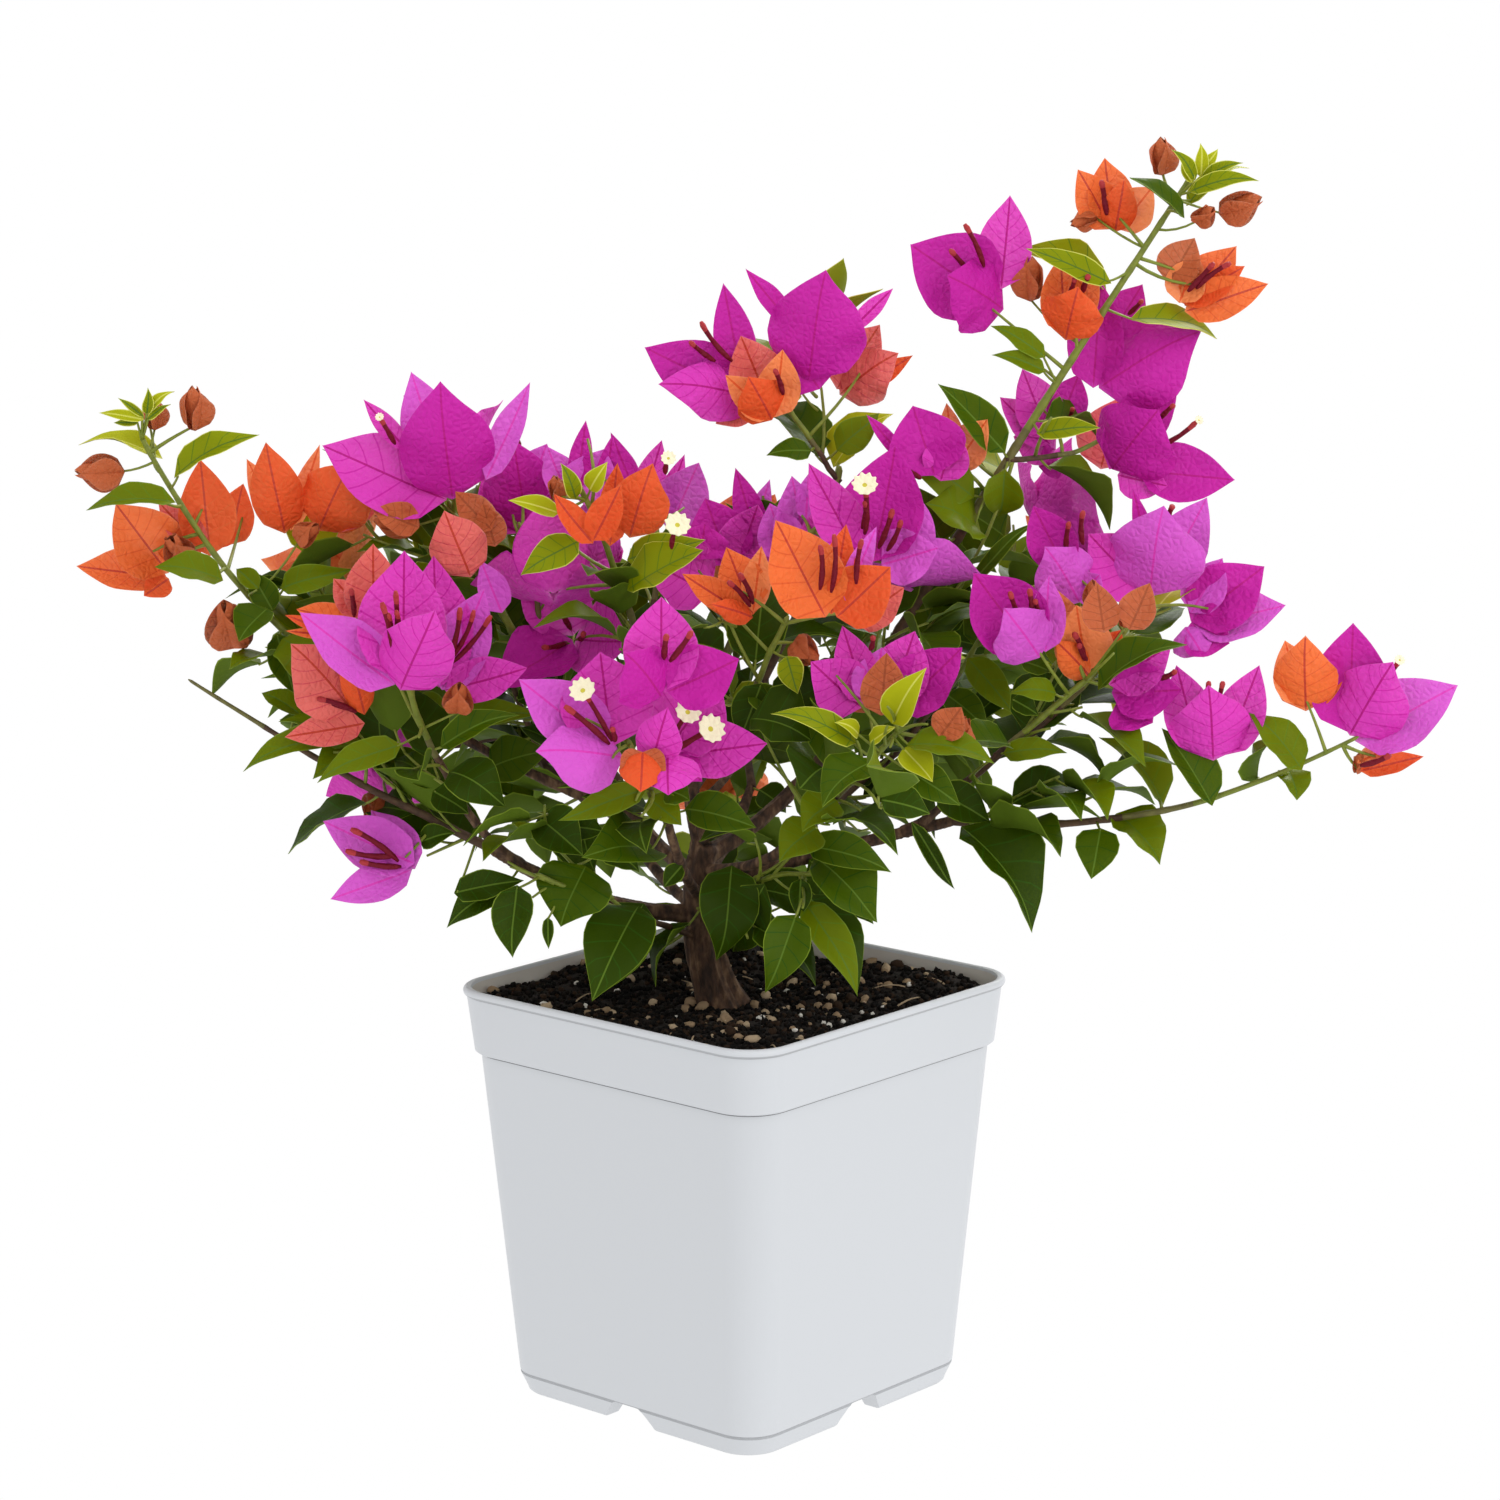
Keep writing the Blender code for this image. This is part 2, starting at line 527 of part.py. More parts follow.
def star_shape(star, swell=0.0):
    """Corners and faces of a bloom: a ball of twelve sides drawn out into three pointed bracts."""
    corners, faces = UNIT_BALLS[STAR_SIDES]
    swell = swell * MM
    size = star.size * MM + swell
    half = star.size * MM * BRACT_WIDTH / 2 + swell
    opening = math.radians(star.opening)
    placed = []
    for corner in corners:
        if abs(corner.z) > 0.5:
            lift = STAR_MIDDLE + math.copysign(STAR_HALF_DEPTH, corner.z)
            placed.append(star.foot + star.way * (lift * size + math.copysign(swell, corner.z)))
            continue
        bract, role = divmod(round(math.degrees(math.atan2(corner.x, corner.y)) / 30) % 12 + 1, 4)
        middle = 2 * math.pi * bract / 3
        out = star.first * math.cos(middle) + star.second * math.sin(middle)
        side = star.second * math.cos(middle) - star.first * math.sin(middle)
        along = star.way * math.cos(opening) + out * math.sin(opening)
        inward = star.way * math.sin(opening) - out * math.cos(opening)
        if role == 1:
            placed.append(star.foot + along * size)
        elif role == 3:
            between = out * 0.5 + side * 0.866
            placed.append(star.foot + between * (0.14 * size) + star.way * (0.08 * size))
        else:
            cup = 0.12 * math.sin(opening)
            reach = (0.52 * math.sin(opening) - cup * math.cos(opening)) * size
            aside = (role - 1) * min(half, WIDEST_SPREAD * reach)
            placed.append(star.foot + along * (0.52 * size) + side * aside + inward * (cup * size))
    return placed, faces


def blade_shape(blade, swell=0.0):
    """Corners and faces of a leaf or bud, cupped towards its normal, and grown by `swell` mm.

    Its hind corner reaches back to the anchor, which is where its stalk leaves the stem.
    """
    along = blade.tip - blade.root
    length = along.length
    along.normalize()
    normal = (blade.normal - along * blade.normal.dot(along)).normalized()
    side = along.cross(normal)
    swell = swell * MM
    half = blade.width * MM / 2 + swell
    thick = blade.thickness * MM / 2 + swell
    corners, faces = UNIT_BALLS[BLADE_SIDES]
    placed = []
    for corner in corners:
        share = WIDEST + corner.y * (1 - WIDEST if corner.y > 0 else WIDEST)
        height = corner.z * thick + blade.cup * half * corner.x * corner.x
        reach = share * length + corner.y * swell
        placed.append(blade.root + along * reach + side * (corner.x * half) + normal * height)
        if corner.y < -0.5:
            placed[-1] = blade.anchor - along * swell
    return placed, faces


def tube_shape(tube, swell=0.0):
    """Corners and faces of a three-sided tube, as a stand-in to test for room."""
    corners = []
    faces = []
    for i, point in enumerate(tube.points):
        before = tube.points[max(i - 1, 0)]
        after = tube.points[min(i + 1, len(tube.points) - 1)]
        first, second = square_to((after - before).normalized())
        radius = tube.radii[i] * 1.2 + swell * MM
        for k in range(3):
            angle = 2 * math.pi * k / 3
            corners.append(point + (first * math.cos(angle) + second * math.sin(angle)) * radius)
    for i in range(len(tube.points) - 1):
        for k in range(3):
            a = 3 * i + k
            b = 3 * i + (k + 1) % 3
            faces.append([a, b, b + 3, a + 3])
    last = len(corners) - 3
    faces.append([0, 1, 2])
    faces.append([last, last + 1, last + 2])
    return corners, faces


def bounds(corners):
    low = [min(c[i] for c in corners) for i in range(3)]
    high = [max(c[i] for c in corners) for i in range(3)]
    return low, high


class Space:
    """What grows where, so that a new piece is only kept where it touches nothing."""

    def __init__(self):
        self.held = []

    def add(self, node, shape):
        low, high = bounds(shape[0])
        self.held.append((node, low, high, BVHTree.FromPolygons(*shape)))

    def free(self, shape, kin=None):
        """True where the shape touches nothing, apart from the pieces of its kin's node."""
        low, high = bounds(shape[0])
        tree = BVHTree.FromPolygons(*shape)
        for node, other_low, other_high, other in self.held:
            if node == kin:
                continue
            if any(low[i] > other_high[i] or high[i] < other_low[i] for i in range(3)):
                continue
            if tree.overlap(other):
                return False
        return True


class Mass:
    """One mass of foliage: its stems, and the twigs, leaves and blooms that the rule lets grow on them."""

    def __init__(self, node):
        self.node = node
        self.stems = []
        self.tubes = []
        self.blades = []
        self.stars = []

    def take_tube(self, space, tube):
        self.tubes.append(tube)
        space.add(self.node, tube_shape(tube))

    def take_blade(self, space, blade):
        self.blades.append(blade)
        space.add(self.node, blade_shape(blade))

    def take_star(self, space, star):
        self.stars.append(star)
        space.add(self.node, star_shape(star))


def in_the_sky(points):
    """True where any of the points is seen, from the front, in a place that the crown leaves open."""
    for point in points:
        spot = EYE + (point - EYE) * (EYE.y / (EYE.y - point.y))
        for across, up, radius in OPEN_SKY:
            if math.hypot(spot.x / MM - across, spot.z / MM - up) < radius:
                return True
    return False


def blade_in_the_sky(blade):
    """The same for a leaf: its middle, its tip and both its sides."""
    middle = blade.root.lerp(blade.tip, 0.5)
    along = (blade.tip - blade.root).normalized()
    side = along.cross(blade.normal).normalized() * (0.4 * blade.width * MM)
    return in_the_sky([middle, blade.tip, blade.root.lerp(blade.tip, 0.75), middle + side, middle - side])


def star_of(bloom, centre):
    """A bloom's star, its foot behind the middle that is seen."""
    way = facing(bloom.around, bloom.up)
    foot = centre - way * (0.42 * bloom.size * MM * math.cos(math.radians(bloom.opening)))
    first, second = square_to(way, math.radians(bloom.turn))
    return Star(foot, way, first, second, bloom.size, bloom.opening)


def stalk_starts(mass, foot):
    """Places on a mass's stems where a stalk to a foot can start, the likeliest first."""
    options = []
    for stem in mass.stems:
        nearest = stem.nearest(foot)
        reach = (stem.at(nearest) - foot).length
        for back in (0.5, 0.25, 0.0, 0.8):
            share = max(0.04, nearest - back * reach / stem.length())
            start = stem.at(share)
            sunk = (start - foot).normalized() * (ROOT_SUNK * MM)
            options.append(((start - foot).length * (1.0 + 0.1 * abs(back - 0.5)), start + sunk))
    options.sort(key=lambda option: option[0])
    return [start for _, start in options]


def stalk_end(star, start):
    """Where a stalk from a start ends in a bloom: beside its middle, inside the nearest bract."""
    size = star.size * MM
    opening = math.radians(star.opening)
    middle = star.foot + star.way * (size * (STAR_MIDDLE + STALK_OUT * math.cos(opening)))
    ends = []
    for bract in range(3):
        for side in (-1, 1):
            angle = 2 * math.pi * bract / 3 + side * STALK_ASIDE
            out = star.first * math.cos(angle) + star.second * math.sin(angle)
            ends.append(middle + out * (size * STALK_OUT * math.sin(opening)))
    return min(ends, key=lambda end: (end - start).length)


def grow_bloom(space, mass, bloom, centre):
    """Adds a bloom and its stalk where they fit, moved in depth where they don't at first."""
    for kin in (None, mass.node):
        for step in DEPTH_STEPS:
            star = star_of(bloom, centre + Vector((0, step * MM, 0)))
            if not space.free(star_shape(star, BREATHING), kin):
                continue
            for start in stalk_starts(mass, star.foot):
                end = stalk_end(star, start)
                tube = stalk_tube(start, end)
                if stalk_fits(space, mass, tube, kin):
                    mass.take_star(space, star)
                    mass.take_tube(space, tube)
                    return True
    return False


def stalk_tube(start, end):
    return Tube([start, end], [STALK_FOOT * MM, STALK_RADIUS * MM])


def stalk_fits(space, mass, tube, kin):
    """True where a stalk keeps clear of other masses, and its free length of its kin's pieces too."""
    start, end = tube.points
    inner = Tube([start.lerp(end, STALK_NECK), start.lerp(end, 1 - STALK_NECK)], tube.radii)
    if not space.free(tube_shape(inner, BREATHING), kin):
        return False
    return space.free(tube_shape(tube, BREATHING), mass.node)


def grow_blade(space, mass, blade):
    """Adds a leaf or bud where it fits: it reaches back to a stem, or has a stalk where it can't."""
    along = (blade.tip - blade.root).normalized()
    for kin in (None, mass.node):
        for step in DEPTH_STEPS:
            moved = Vector((0, step * MM, 0))
            root = blade.root + moved
            there = blade._replace(anchor=root, root=root, tip=blade.tip + moved)
            if not space.free(blade_shape(there, BREATHING), kin):
                continue
            for start in stalk_starts(mass, root):
                tube = stalk_tube(start, root)
                if not stalk_fits(space, mass, tube, kin):
                    continue
                if (root - start).dot(along) > 0.5 * (root - start).length:
                    mass.take_blade(space, there._replace(anchor=start))
                    return True
                mass.take_blade(space, there)
                mass.take_tube(space, tube._replace(points=[start, root.lerp(there.tip, 0.12)]))
                return True
    return False


def grow_listed(space, mass):
    """The blooms, buds and outline leaves that were laid out by eye."""
    for bloom in BLOOMS.get(mass.node, ()):
        grow_bloom(space, mass, bloom, place(*bloom.at))
    for bud in BUDS.get(mass.node, ()):
        way = facing(bud.around, bud.up)
        half = way * (bud.size * MM / 2)
        middle = place(*bud.at)
        _, side = square_to(way)
        foot = middle - half
        blade = Blade(foot, foot, middle + half, side, bud.size * 0.62, bud.size * 0.5, 0.0)
        grow_blade(space, mass, blade)
    for leaf in OUTLINE_LEAVES.get(mass.node, ()):
        root = place(*leaf.root)
        tip = place(*leaf.tip)
        way = (tip - root).normalized()
        normal = square_to(way)[0] + facing(0, 20) * 0.8
        blade = Blade(root, root, tip, normal, leaf.width, LEAF_THICKNESS, LEAF_CUP)
        grow_blade(space, mass, blade)


def grow_leaf(space, mass, limb, share, angle, length, rng, age):
    """A leaf off a limb near an angle round it, where it has room."""
    tilt = rng.uniform(-0.35, 0.35)
    width = length * rng.uniform(0.52, 0.62)
    stalk = rng.uniform(*LEAF_STALKS) * age
    for turn in TURNS:
        blade = leaf_at(limb, share, angle + turn, length, width, stalk, tilt, age)
        if blade.tip.z < LOWEST_LEAF * MM or blade_in_the_sky(blade):
            continue
        outer = blade._replace(anchor=blade.anchor.lerp(blade.tip, LEAF_NECK))
        if not space.free(blade_shape(outer, BREATHING)):
            continue
        if space.free(blade_shape(blade, BREATHING), mass.node):
            mass.take_blade(space, blade)
            return True
    return False


def leaf_at(limb, share, angle, length, width, stalk, tilt, age):
    """A leaf that stands off a limb at an angle round it, and hangs the more the older it is."""
    way = limb.way(share)
    first, second = square_to(way)
    out = first * math.cos(angle) + second * math.sin(angle)
    start = limb.at(share)
    away = (start - CROWN_HEART).normalized()
    along = (out * 0.8 + way * 0.4 + away * 0.45 - UP * (0.75 * age - 0.3)).normalized()
    normal, side = square_to(along)
    normal = normal + away * 0.5 + side * tilt
    root = start + along * (stalk * MM)
    anchor = start - along * (ROOT_SUNK * MM)
    return Blade(anchor, root, root + along * (length * MM), normal, width, LEAF_THICKNESS, LEAF_CUP)


def grow_twig(space, mass, stem, share, angle, length):
    """A twig off a stem near an angle round it, where it has room."""
    way = stem.way(share)
    first, second = square_to(way)
    start = stem.at(share)
    away = (start - CROWN_HEART).normalized()
    for turn in TURNS:
        out = first * math.cos(angle + turn) + second * math.sin(angle + turn)
        along = (out * 0.8 + way * 0.5 + away * 0.5).normalized()
        root = start - along * (ROOT_SUNK * MM)
        twig = Limb(root, start + along * (length * MM), Vector((0, 0, 0)), *TWIG_RADII)
        outer = Limb(twig.at(0.15), twig.end, twig.bow, *TWIG_RADII)
        if in_the_sky([twig.end, twig.at(0.6)]):
            continue
        if not space.free(tube_shape(outer.tube(1), BREATHING)):
            continue
        if not space.free(tube_shape(twig.tube(1), BREATHING), mass.node):
            continue
        mass.take_tube(space, twig.tube(1))
        return twig
    return None


def grow_by_rule(space, mass, rng):
    """Leaves at golden angles up every stem, and between them twigs with leaves of their own."""
    reach = RULE_REACH.get(mass.node, 1.0)
    thin = SPARSER.get(mass.node, 1.0)
    twigs = []
    for stem in mass.stems:
        count = max(1, round(stem.length() * reach / (TWIG_PITCH * MM)))
        for i in range(count):
            share = (i + 0.5) / count * reach
            angle = i * GOLDEN_ANGLE + rng.uniform(0, 0.8)
            length = TWIG_LENGTH * rng.uniform(0.7, 1.15)
            twig = grow_twig(space, mass, stem, share, angle, length)
            if twig:
                twigs.append(twig)
                for k in range(TWIG_LEAVES):
                    along = 0.95 - 0.27 * k
                    length = LEAF_LENGTH * rng.uniform(0.75, 1.0)
                    turn = angle + k * GOLDEN_ANGLE
                    grow_leaf(space, mass, twig, along, turn, length, rng, 0.6)
        count = max(2, round(stem.length() * reach / (LEAF_PITCH * thin * MM)))
        for i in range(count):
            share = (i + 0.6) / count * reach
            length = LEAF_LENGTH * rng.uniform(0.8, 1.1) * (1.1 - 0.35 * share)
            grow_leaf(space, mass, stem, share, i * GOLDEN_ANGLE, length, rng, 1.0 - share)
    return twigs


def grow_hidden_blooms(space, mass, twigs, count, rng):
    """Blooms dealt out over a mass that the front view hides, facing away from the crown's heart."""
    spots = [stem.at(1.0 - 0.22 * i) for i in range(4) for stem in mass.stems]
    spots += [twig.end for twig in twigs]
    done = 0
    for number, spot in enumerate(spots):
        if done >= count:
            break
        away = (spot - CROWN_HEART).normalized()
        size = rng.uniform(34, 40)
        centre = spot + (away + UP * 0.5).normalized() * (0.6 * size * MM)
        aside = Vector((0.6 * size * MM, 0, 0))
        if in_the_sky([centre, centre + UP * aside.x, centre + aside, centre - aside]):
            continue
        around = math.degrees(math.atan2(away.x, -away.y))
        colour = "magenta" if number % 3 else "orange"
        up, turn, opening = rng.uniform(20, 60), rng.uniform(0, 120), rng.uniform(48, 60)
        bloom = Bloom(colour, None, size, around, up, turn, opening)
        if grow_bloom(space, mass, bloom, centre):
            done += 1


def plan_limbs():
    """Every limb from the plan, by name, and the node that each belongs to."""
    foot, top = place(*TRUNK_FOOT), place(*TRUNK_TOP)
    trunk = Limb(foot, top, shift(*TRUNK_BOW), TRUNK_RADIUS_FOOT, TRUNK_RADIUS_TOP)
    limbs = {"trunk": trunk}
    nodes = {"trunk": "trunk"}
    for plan in BOUGHS + STEMS:
        parent = limbs[plan.parent]
        limb = Limb(parent.at(plan.along), place(*plan.end), shift(*plan.bow), plan.foot, plan.tip)
        if plan.along == 1.0 and nodes[plan.parent] != plan.node:
            slant = limb.way(0.0).cross(parent.way(1.0)).length
            limb.start = limb.start + parent.way(1.0) * ((GAP + plan.foot * slant) * MM)
        limbs[plan.name] = limb
        nodes[plan.name] = plan.node
    return limbs, nodes


def pot_bounds():
    """The pot's rim down to the soil, as four walls and a floor, to keep leaves off it."""
    reach = RIM_HALF * math.sqrt(2) * MM
    corners = []
    for height in (SOIL_LEVEL, POT_HEIGHT):
        for k in range(4):
            angle = math.radians(POT_TURN + 45 + 90 * k)
            corners.append(Vector((reach * math.cos(angle), reach * math.sin(angle), height * MM)))
    walls = [[k, (k + 1) % 4, (k + 1) % 4 + 4, k + 4] for k in range(4)]
    return corners, walls + [[0, 1, 2, 3]]


def grow_plant():
    """All masses of foliage, grown among the limbs, the soil and the pot."""
    limbs, nodes = plan_limbs()
    space = Space()
    for name, limb in limbs.items():
        space.add(nodes[name], tube_shape(limb.tube()))
    space.add("pot", pot_bounds())
    masses = {}
    for plan in STEMS:
        mass = masses.setdefault(plan.node, Mass(plan.node))
        mass.stems.append(limbs[plan.name])
    for mass in masses.values():
        grow_listed(space, mass)
    for number, mass in enumerate(masses.values()):
        rng = random.Random(SEED + number)
        count = HIDDEN_BLOOMS.get(mass.node, 0)
        grow_hidden_blooms(space, mass, [], count // 2, rng)
        twigs = grow_by_rule(space, mass, rng)
        grow_hidden_blooms(space, mass, twigs, count - count // 2, rng)
    return limbs, masses


def clear_scene():
    for obj in list(bpy.data.objects):
        bpy.data.objects.remove(obj, do_unlink=True)


def collection(name):
    made = bpy.data.collections.new(name)
    bpy.context.scene.collection.children.link(made)
    return made


def material(name, colour, roughness):
    made = bpy.data.materials.new(name)
    made.use_nodes = True
    shader = made.node_tree.nodes["Principled BSDF"]
    shader.inputs["Base Color"].default_value = (*colour, 1.0)
    shader.inputs["Roughness"].default_value = roughness
    shader.inputs["Metallic"].default_value = 0.0
    return made


def mesh_object(name, bm, where):
    mesh = bpy.data.meshes.new(name)
    bmesh.ops.recalc_face_normals(bm, faces=bm.faces)
    bm.to_mesh(mesh)
    bm.free()
    obj = bpy.data.objects.new(name, mesh)
    where.objects.link(obj)
    return obj


def as_guide(obj):
    obj.hide_render = True
    obj.display_type = "WIRE"


def section_guide(sides, where):
    """A closed outline of unit radius to sweep limbs with."""
    curve = bpy.data.curves.new(f"section_{sides}", "CURVE")
    curve.dimensions = "2D"
    spline = curve.splines.new("POLY")
    spline.points.add(sides - 1)
    for i, point in enumerate(spline.points):
        angle = 2 * math.pi * i / sides
        point.co = (math.cos(angle), math.sin(angle), 0, 1)
    spline.use_cyclic_u = True
    guide = bpy.data.objects.new(f"section_{sides}", curve)
    where.objects.link(guide)
    as_guide(guide)
    return guide


def limb_object(name, tube, section, where):
    """A closed tapering limb: a curve swept with a section outline, made a mesh."""
    curve = bpy.data.curves.new(name, "CURVE")
    curve.dimensions = "3D"
    curve.bevel_mode = "OBJECT"
    curve.bevel_object = section
    curve.use_fill_caps = True
    spline = curve.splines.new("POLY")
    spline.points.add(len(tube.points) - 1)
    for point, at, radius in zip(spline.points, tube.points, tube.radii):
        point.co = (*at, 1.0)
        point.radius = radius
    swept = bpy.data.objects.new(name + "_path", curve)
    where.objects.link(swept)
    mesh = bpy.data.meshes.new_from_object(swept.evaluated_get(bpy.context.evaluated_depsgraph_get()))
    bpy.data.objects.remove(swept, do_unlink=True)
    bpy.data.curves.remove(curve)
    bm = bmesh.new()
    bm.from_mesh(mesh)
    bpy.data.meshes.remove(mesh)
    bmesh.ops.remove_doubles(bm, verts=bm.verts, dist=1e-7)
    return mesh_object(name, bm, where)


def ball_object(name, sides, shape, where):
    """A leaf, bud or bloom: a ball whose corners are drawn out to its shape."""
    bm = bmesh.new()
    bmesh.ops.create_uvsphere(bm, u_segments=sides, v_segments=2, radius=1.0)
    for vert, corner in zip(bm.verts, shape[0]):
        vert.co = corner
    return mesh_object(name, bm, where)


def applied(obj):
    """Replaces an object's mesh by its evaluated one and drops its modifiers."""
    evaluated = obj.evaluated_get(bpy.context.evaluated_depsgraph_get())
    mesh = bpy.data.meshes.new_from_object(evaluated)
    obj.modifiers.clear()
    old = obj.data
    obj.data = mesh
    bpy.data.meshes.remove(old)
    return obj


def boolean(obj, operation, cutter=None, group=None, solver="EXACT"):
    modifier = obj.modifiers.new(operation.lower(), "BOOLEAN")
    modifier.operation = operation
    modifier.solver = solver
    if group:
        modifier.operand_type = "COLLECTION"
        modifier.collection = group
    else:
        modifier.object = cutter
    return modifier


def volume(mesh):
    bm = bmesh.new()
    bm.from_mesh(mesh)
    held = bm.calc_volume()
    bm.free()
    return held


def closed(mesh):
    bm = bmesh.new()
    bm.from_mesh(mesh)
    whole = len(bm.faces) > 0 and all(len(edge.link_faces) == 2 for edge in bm.edges)
    bm.free()
    return whole


def keep_largest(obj):
    """Drops loose scraps and the walls of sealed hollows, which a union can leave."""
    bm = bmesh.new()
    bm.from_mesh(obj.data)
    left = set(bm.verts)
    islands = []
    while left:
        island = []
        front = [left.pop()]
        while front:
            vert = front.pop()
            island.append(vert)
            for edge in vert.link_edges:
                other = edge.other_vert(vert)
                if other in left:
                    left.discard(other)
                    front.append(other)
        islands.append(island)
    islands.sort(key=len)
    for island in islands[:-1]:
        bmesh.ops.delete(bm, geom=island, context="VERTS")
    bm.to_mesh(obj.data)
    bm.free()


def remove_group(group):
    for obj in list(group.objects):
        bpy.data.objects.remove(obj, do_unlink=True)
    bpy.data.collections.remove(group)


def tidy_flats(obj):
    """Merges the slivers that a union leaves in flat faces."""
    bm = bmesh.new()
    bm.from_mesh(obj.data)
    bmesh.ops.dissolve_limit(bm, angle_limit=FLAT_ANGLE, verts=bm.verts, edges=bm.edges)
    bmesh.ops.triangulate(bm, faces=bm.faces)
    if all(len(edge.link_faces) == 2 for edge in bm.edges):
        bm.to_mesh(obj.data)
    bm.free()


def mass_pieces(mass, section, nudge):
    """Every piece of a mass apart from its first stem, as objects in a collection of their own."""
    group = collection(mass.node + "_pieces")
    for i, tube in enumerate([stem.tube() for stem in mass.stems[1:]] + mass.tubes):
        limb_object(f"{mass.node}_twig_{i}", tube, section, group)
    for i, blade in enumerate(mass.blades):
        ball_object(f"{mass.node}_blade_{i}", BLADE_SIDES, blade_shape(blade, nudge), group)
    for i, star in enumerate(mass.stars):
        ball_object(f"{mass.node}_bloom_{i}", STAR_SIDES, star_shape(star, nudge), group)
    return group


def fuse_mass(mass, base, section, look):
    """Joins every other piece of a mass onto its first stem by one union.

    Pieces that only just touch can spoil a union, so it is tried again with all of them nudged out.
    """
    for nudge, solver in UNION_TRIES:
        group = mass_pieces(mass, section, nudge)
        pieces = volume(base.data) + sum(volume(obj.data) for obj in group.objects)
        boolean(base, "UNION", group=group, solver=solver)
        joined = base.evaluated_get(bpy.context.evaluated_depsgraph_get()).to_mesh()
        sound = closed(joined) and volume(joined) > LEAST_JOINED * pieces
        if sound:
            applied(base)
        base.modifiers.clear()
        remove_group(group)
        if sound:
            break
    else:
        raise RuntimeError("no union of " + mass.node)
    keep_largest(base)
    tidy_flats(base)
    base.data.materials.clear()
    base.data.materials.append(look)


def cut_clear(obj, parent, section, cutters):
    """Cuts a limb back so that it stands just off its parent's surface."""
    steps = TRUNK_STEPS if parent.foot > BOUGH_MOST * MM else None
    cutter = limb_object(f"{obj.name}_clearance", parent.tube(steps, CLEARANCE), section, cutters)
    as_guide(cutter)
    boolean(obj, "DIFFERENCE", cutter=cutter)
    applied(obj)
    keep_largest(obj)


def loft(bm, rings):
    """Skins a closed body through rings of equally many points, from the first to the last."""
    loops = [[bm.verts.new(point) for point in ring] for ring in rings]
    count = len(loops[0])
    for low, high in zip(loops, loops[1:]):
        for i in range(count):
            j = (i + 1) % count
            bm.faces.new((low[i], low[j], high[j], high[i]))
    bm.faces.new(loops[0])
    bm.faces.new(loops[-1])


def rounded_square(half, radius, height):
    """A level ring of points, in metres: a square with round corners, given in mm."""
    turned = Matrix.Rotation(math.radians(POT_TURN), 4, "Z")
    points = []
    for corner in range(4):
        turn = math.pi / 2 * corner + math.pi / 4
        middle = Vector((math.cos(turn), math.sin(turn), 0)) * ((half - radius) * math.sqrt(2))
        for i in range(CORNER_STEPS + 1):
            angle = turn - math.pi / 4 + math.pi / 2 * i / CORNER_STEPS
            point = middle + Vector((math.cos(angle), math.sin(angle), 0)) * radius
            points.append(turned @ ((point + UP * height) * MM))
    return points


def inner_half(height):
    """Half the width inside the pot at a height above its floor, in mm."""
    share = (height - SEAM_HEIGHT) / (POT_HEIGHT - COLLAR_DEPTH - SEAM_HEIGHT)
    return SEAM_HALF + (WALL_TOP_HALF - SEAM_HALF) * share - WALL


def move_to(obj, where):
    for owner in obj.users_collection:
        owner.objects.unlink(obj)
    where.objects.link(obj)


def pot_wall(parts):
    """The pot's tapered wall with its collar and lip, as one skin from the foot up and down inside."""
    collar_foot = POT_HEIGHT - COLLAR_DEPTH
    lip_foot = POT_HEIGHT - LIP_HEIGHT
    floor = SEAM_HEIGHT + FLOOR_THICKNESS
    inner_corner = CORNER_RADIUS - WALL
    profile = (
        (FOOT_HALF, FOOT_CORNER_RADIUS, 0.0),
        (SEAM_HALF, FOOT_CORNER_RADIUS, SEAM_HEIGHT),
        (WALL_TOP_HALF, CORNER_RADIUS, collar_foot),
        (COLLAR_FOOT_HALF, CORNER_RADIUS, collar_foot + COLLAR_STEP),
        (RIM_HALF - LIP_PROUD, CORNER_RADIUS, lip_foot),
        (RIM_HALF, CORNER_RADIUS, lip_foot + LIP_PROUD),
        (RIM_HALF, CORNER_RADIUS, POT_HEIGHT - LIP_PROUD),
        (RIM_HALF - LIP_PROUD, CORNER_RADIUS, POT_HEIGHT),
        (RIM_HALF - LIP_WIDTH + LIP_PROUD, inner_corner, POT_HEIGHT),
        (RIM_HALF - LIP_WIDTH, inner_corner, POT_HEIGHT - LIP_PROUD),
        (COLLAR_FOOT_HALF - WALL, inner_corner, collar_foot + WALL),
        (inner_half(collar_foot - WALL), inner_corner, collar_foot - WALL),
        (inner_half(floor), inner_corner, floor),
    )
    bm = bmesh.new()
    loft(bm, [rounded_square(*ring) for ring in profile])
    return mesh_object("pot", bm, parts)


def foot_recess(cutters):
    """What is taken out under the floor between the feet."""
    bpy.ops.mesh.primitive_cube_add(size=1.0, rotation=(0, 0, math.radians(POT_TURN)))
    recess = bpy.context.object
    recess.name = "foot_recess"
    width = 2 * (FOOT_HALF - FOOT_WIDTH) * MM
    recess.scale = (width, width, 2 * SEAM_HEIGHT * MM)
    move_to(recess, cutters)
    return recess


def foot_notch(side, cutters):
    """A bar with sloping flanks that parts the feet in the middle of two opposite sides."""
    bpy.ops.mesh.primitive_cube_add(size=1.0, rotation=(0, 0, math.radians(POT_TURN + 90 * side)))
    notch = bpy.context.object
    notch.name = f"foot_notch_{side}"
    below = 2 * SEAM_HEIGHT
    for vert in notch.data.vertices:
        width = NOTCH_TOP if vert.co.z > 0 else 2 * NOTCH_FOOT - NOTCH_TOP
        vert.co.x *= width * MM
        vert.co.y *= 3 * RIM_HALF * MM
        vert.co.z *= (below - NOTCH_SHORT) * MM
    move_to(notch, cutters)
    return notch


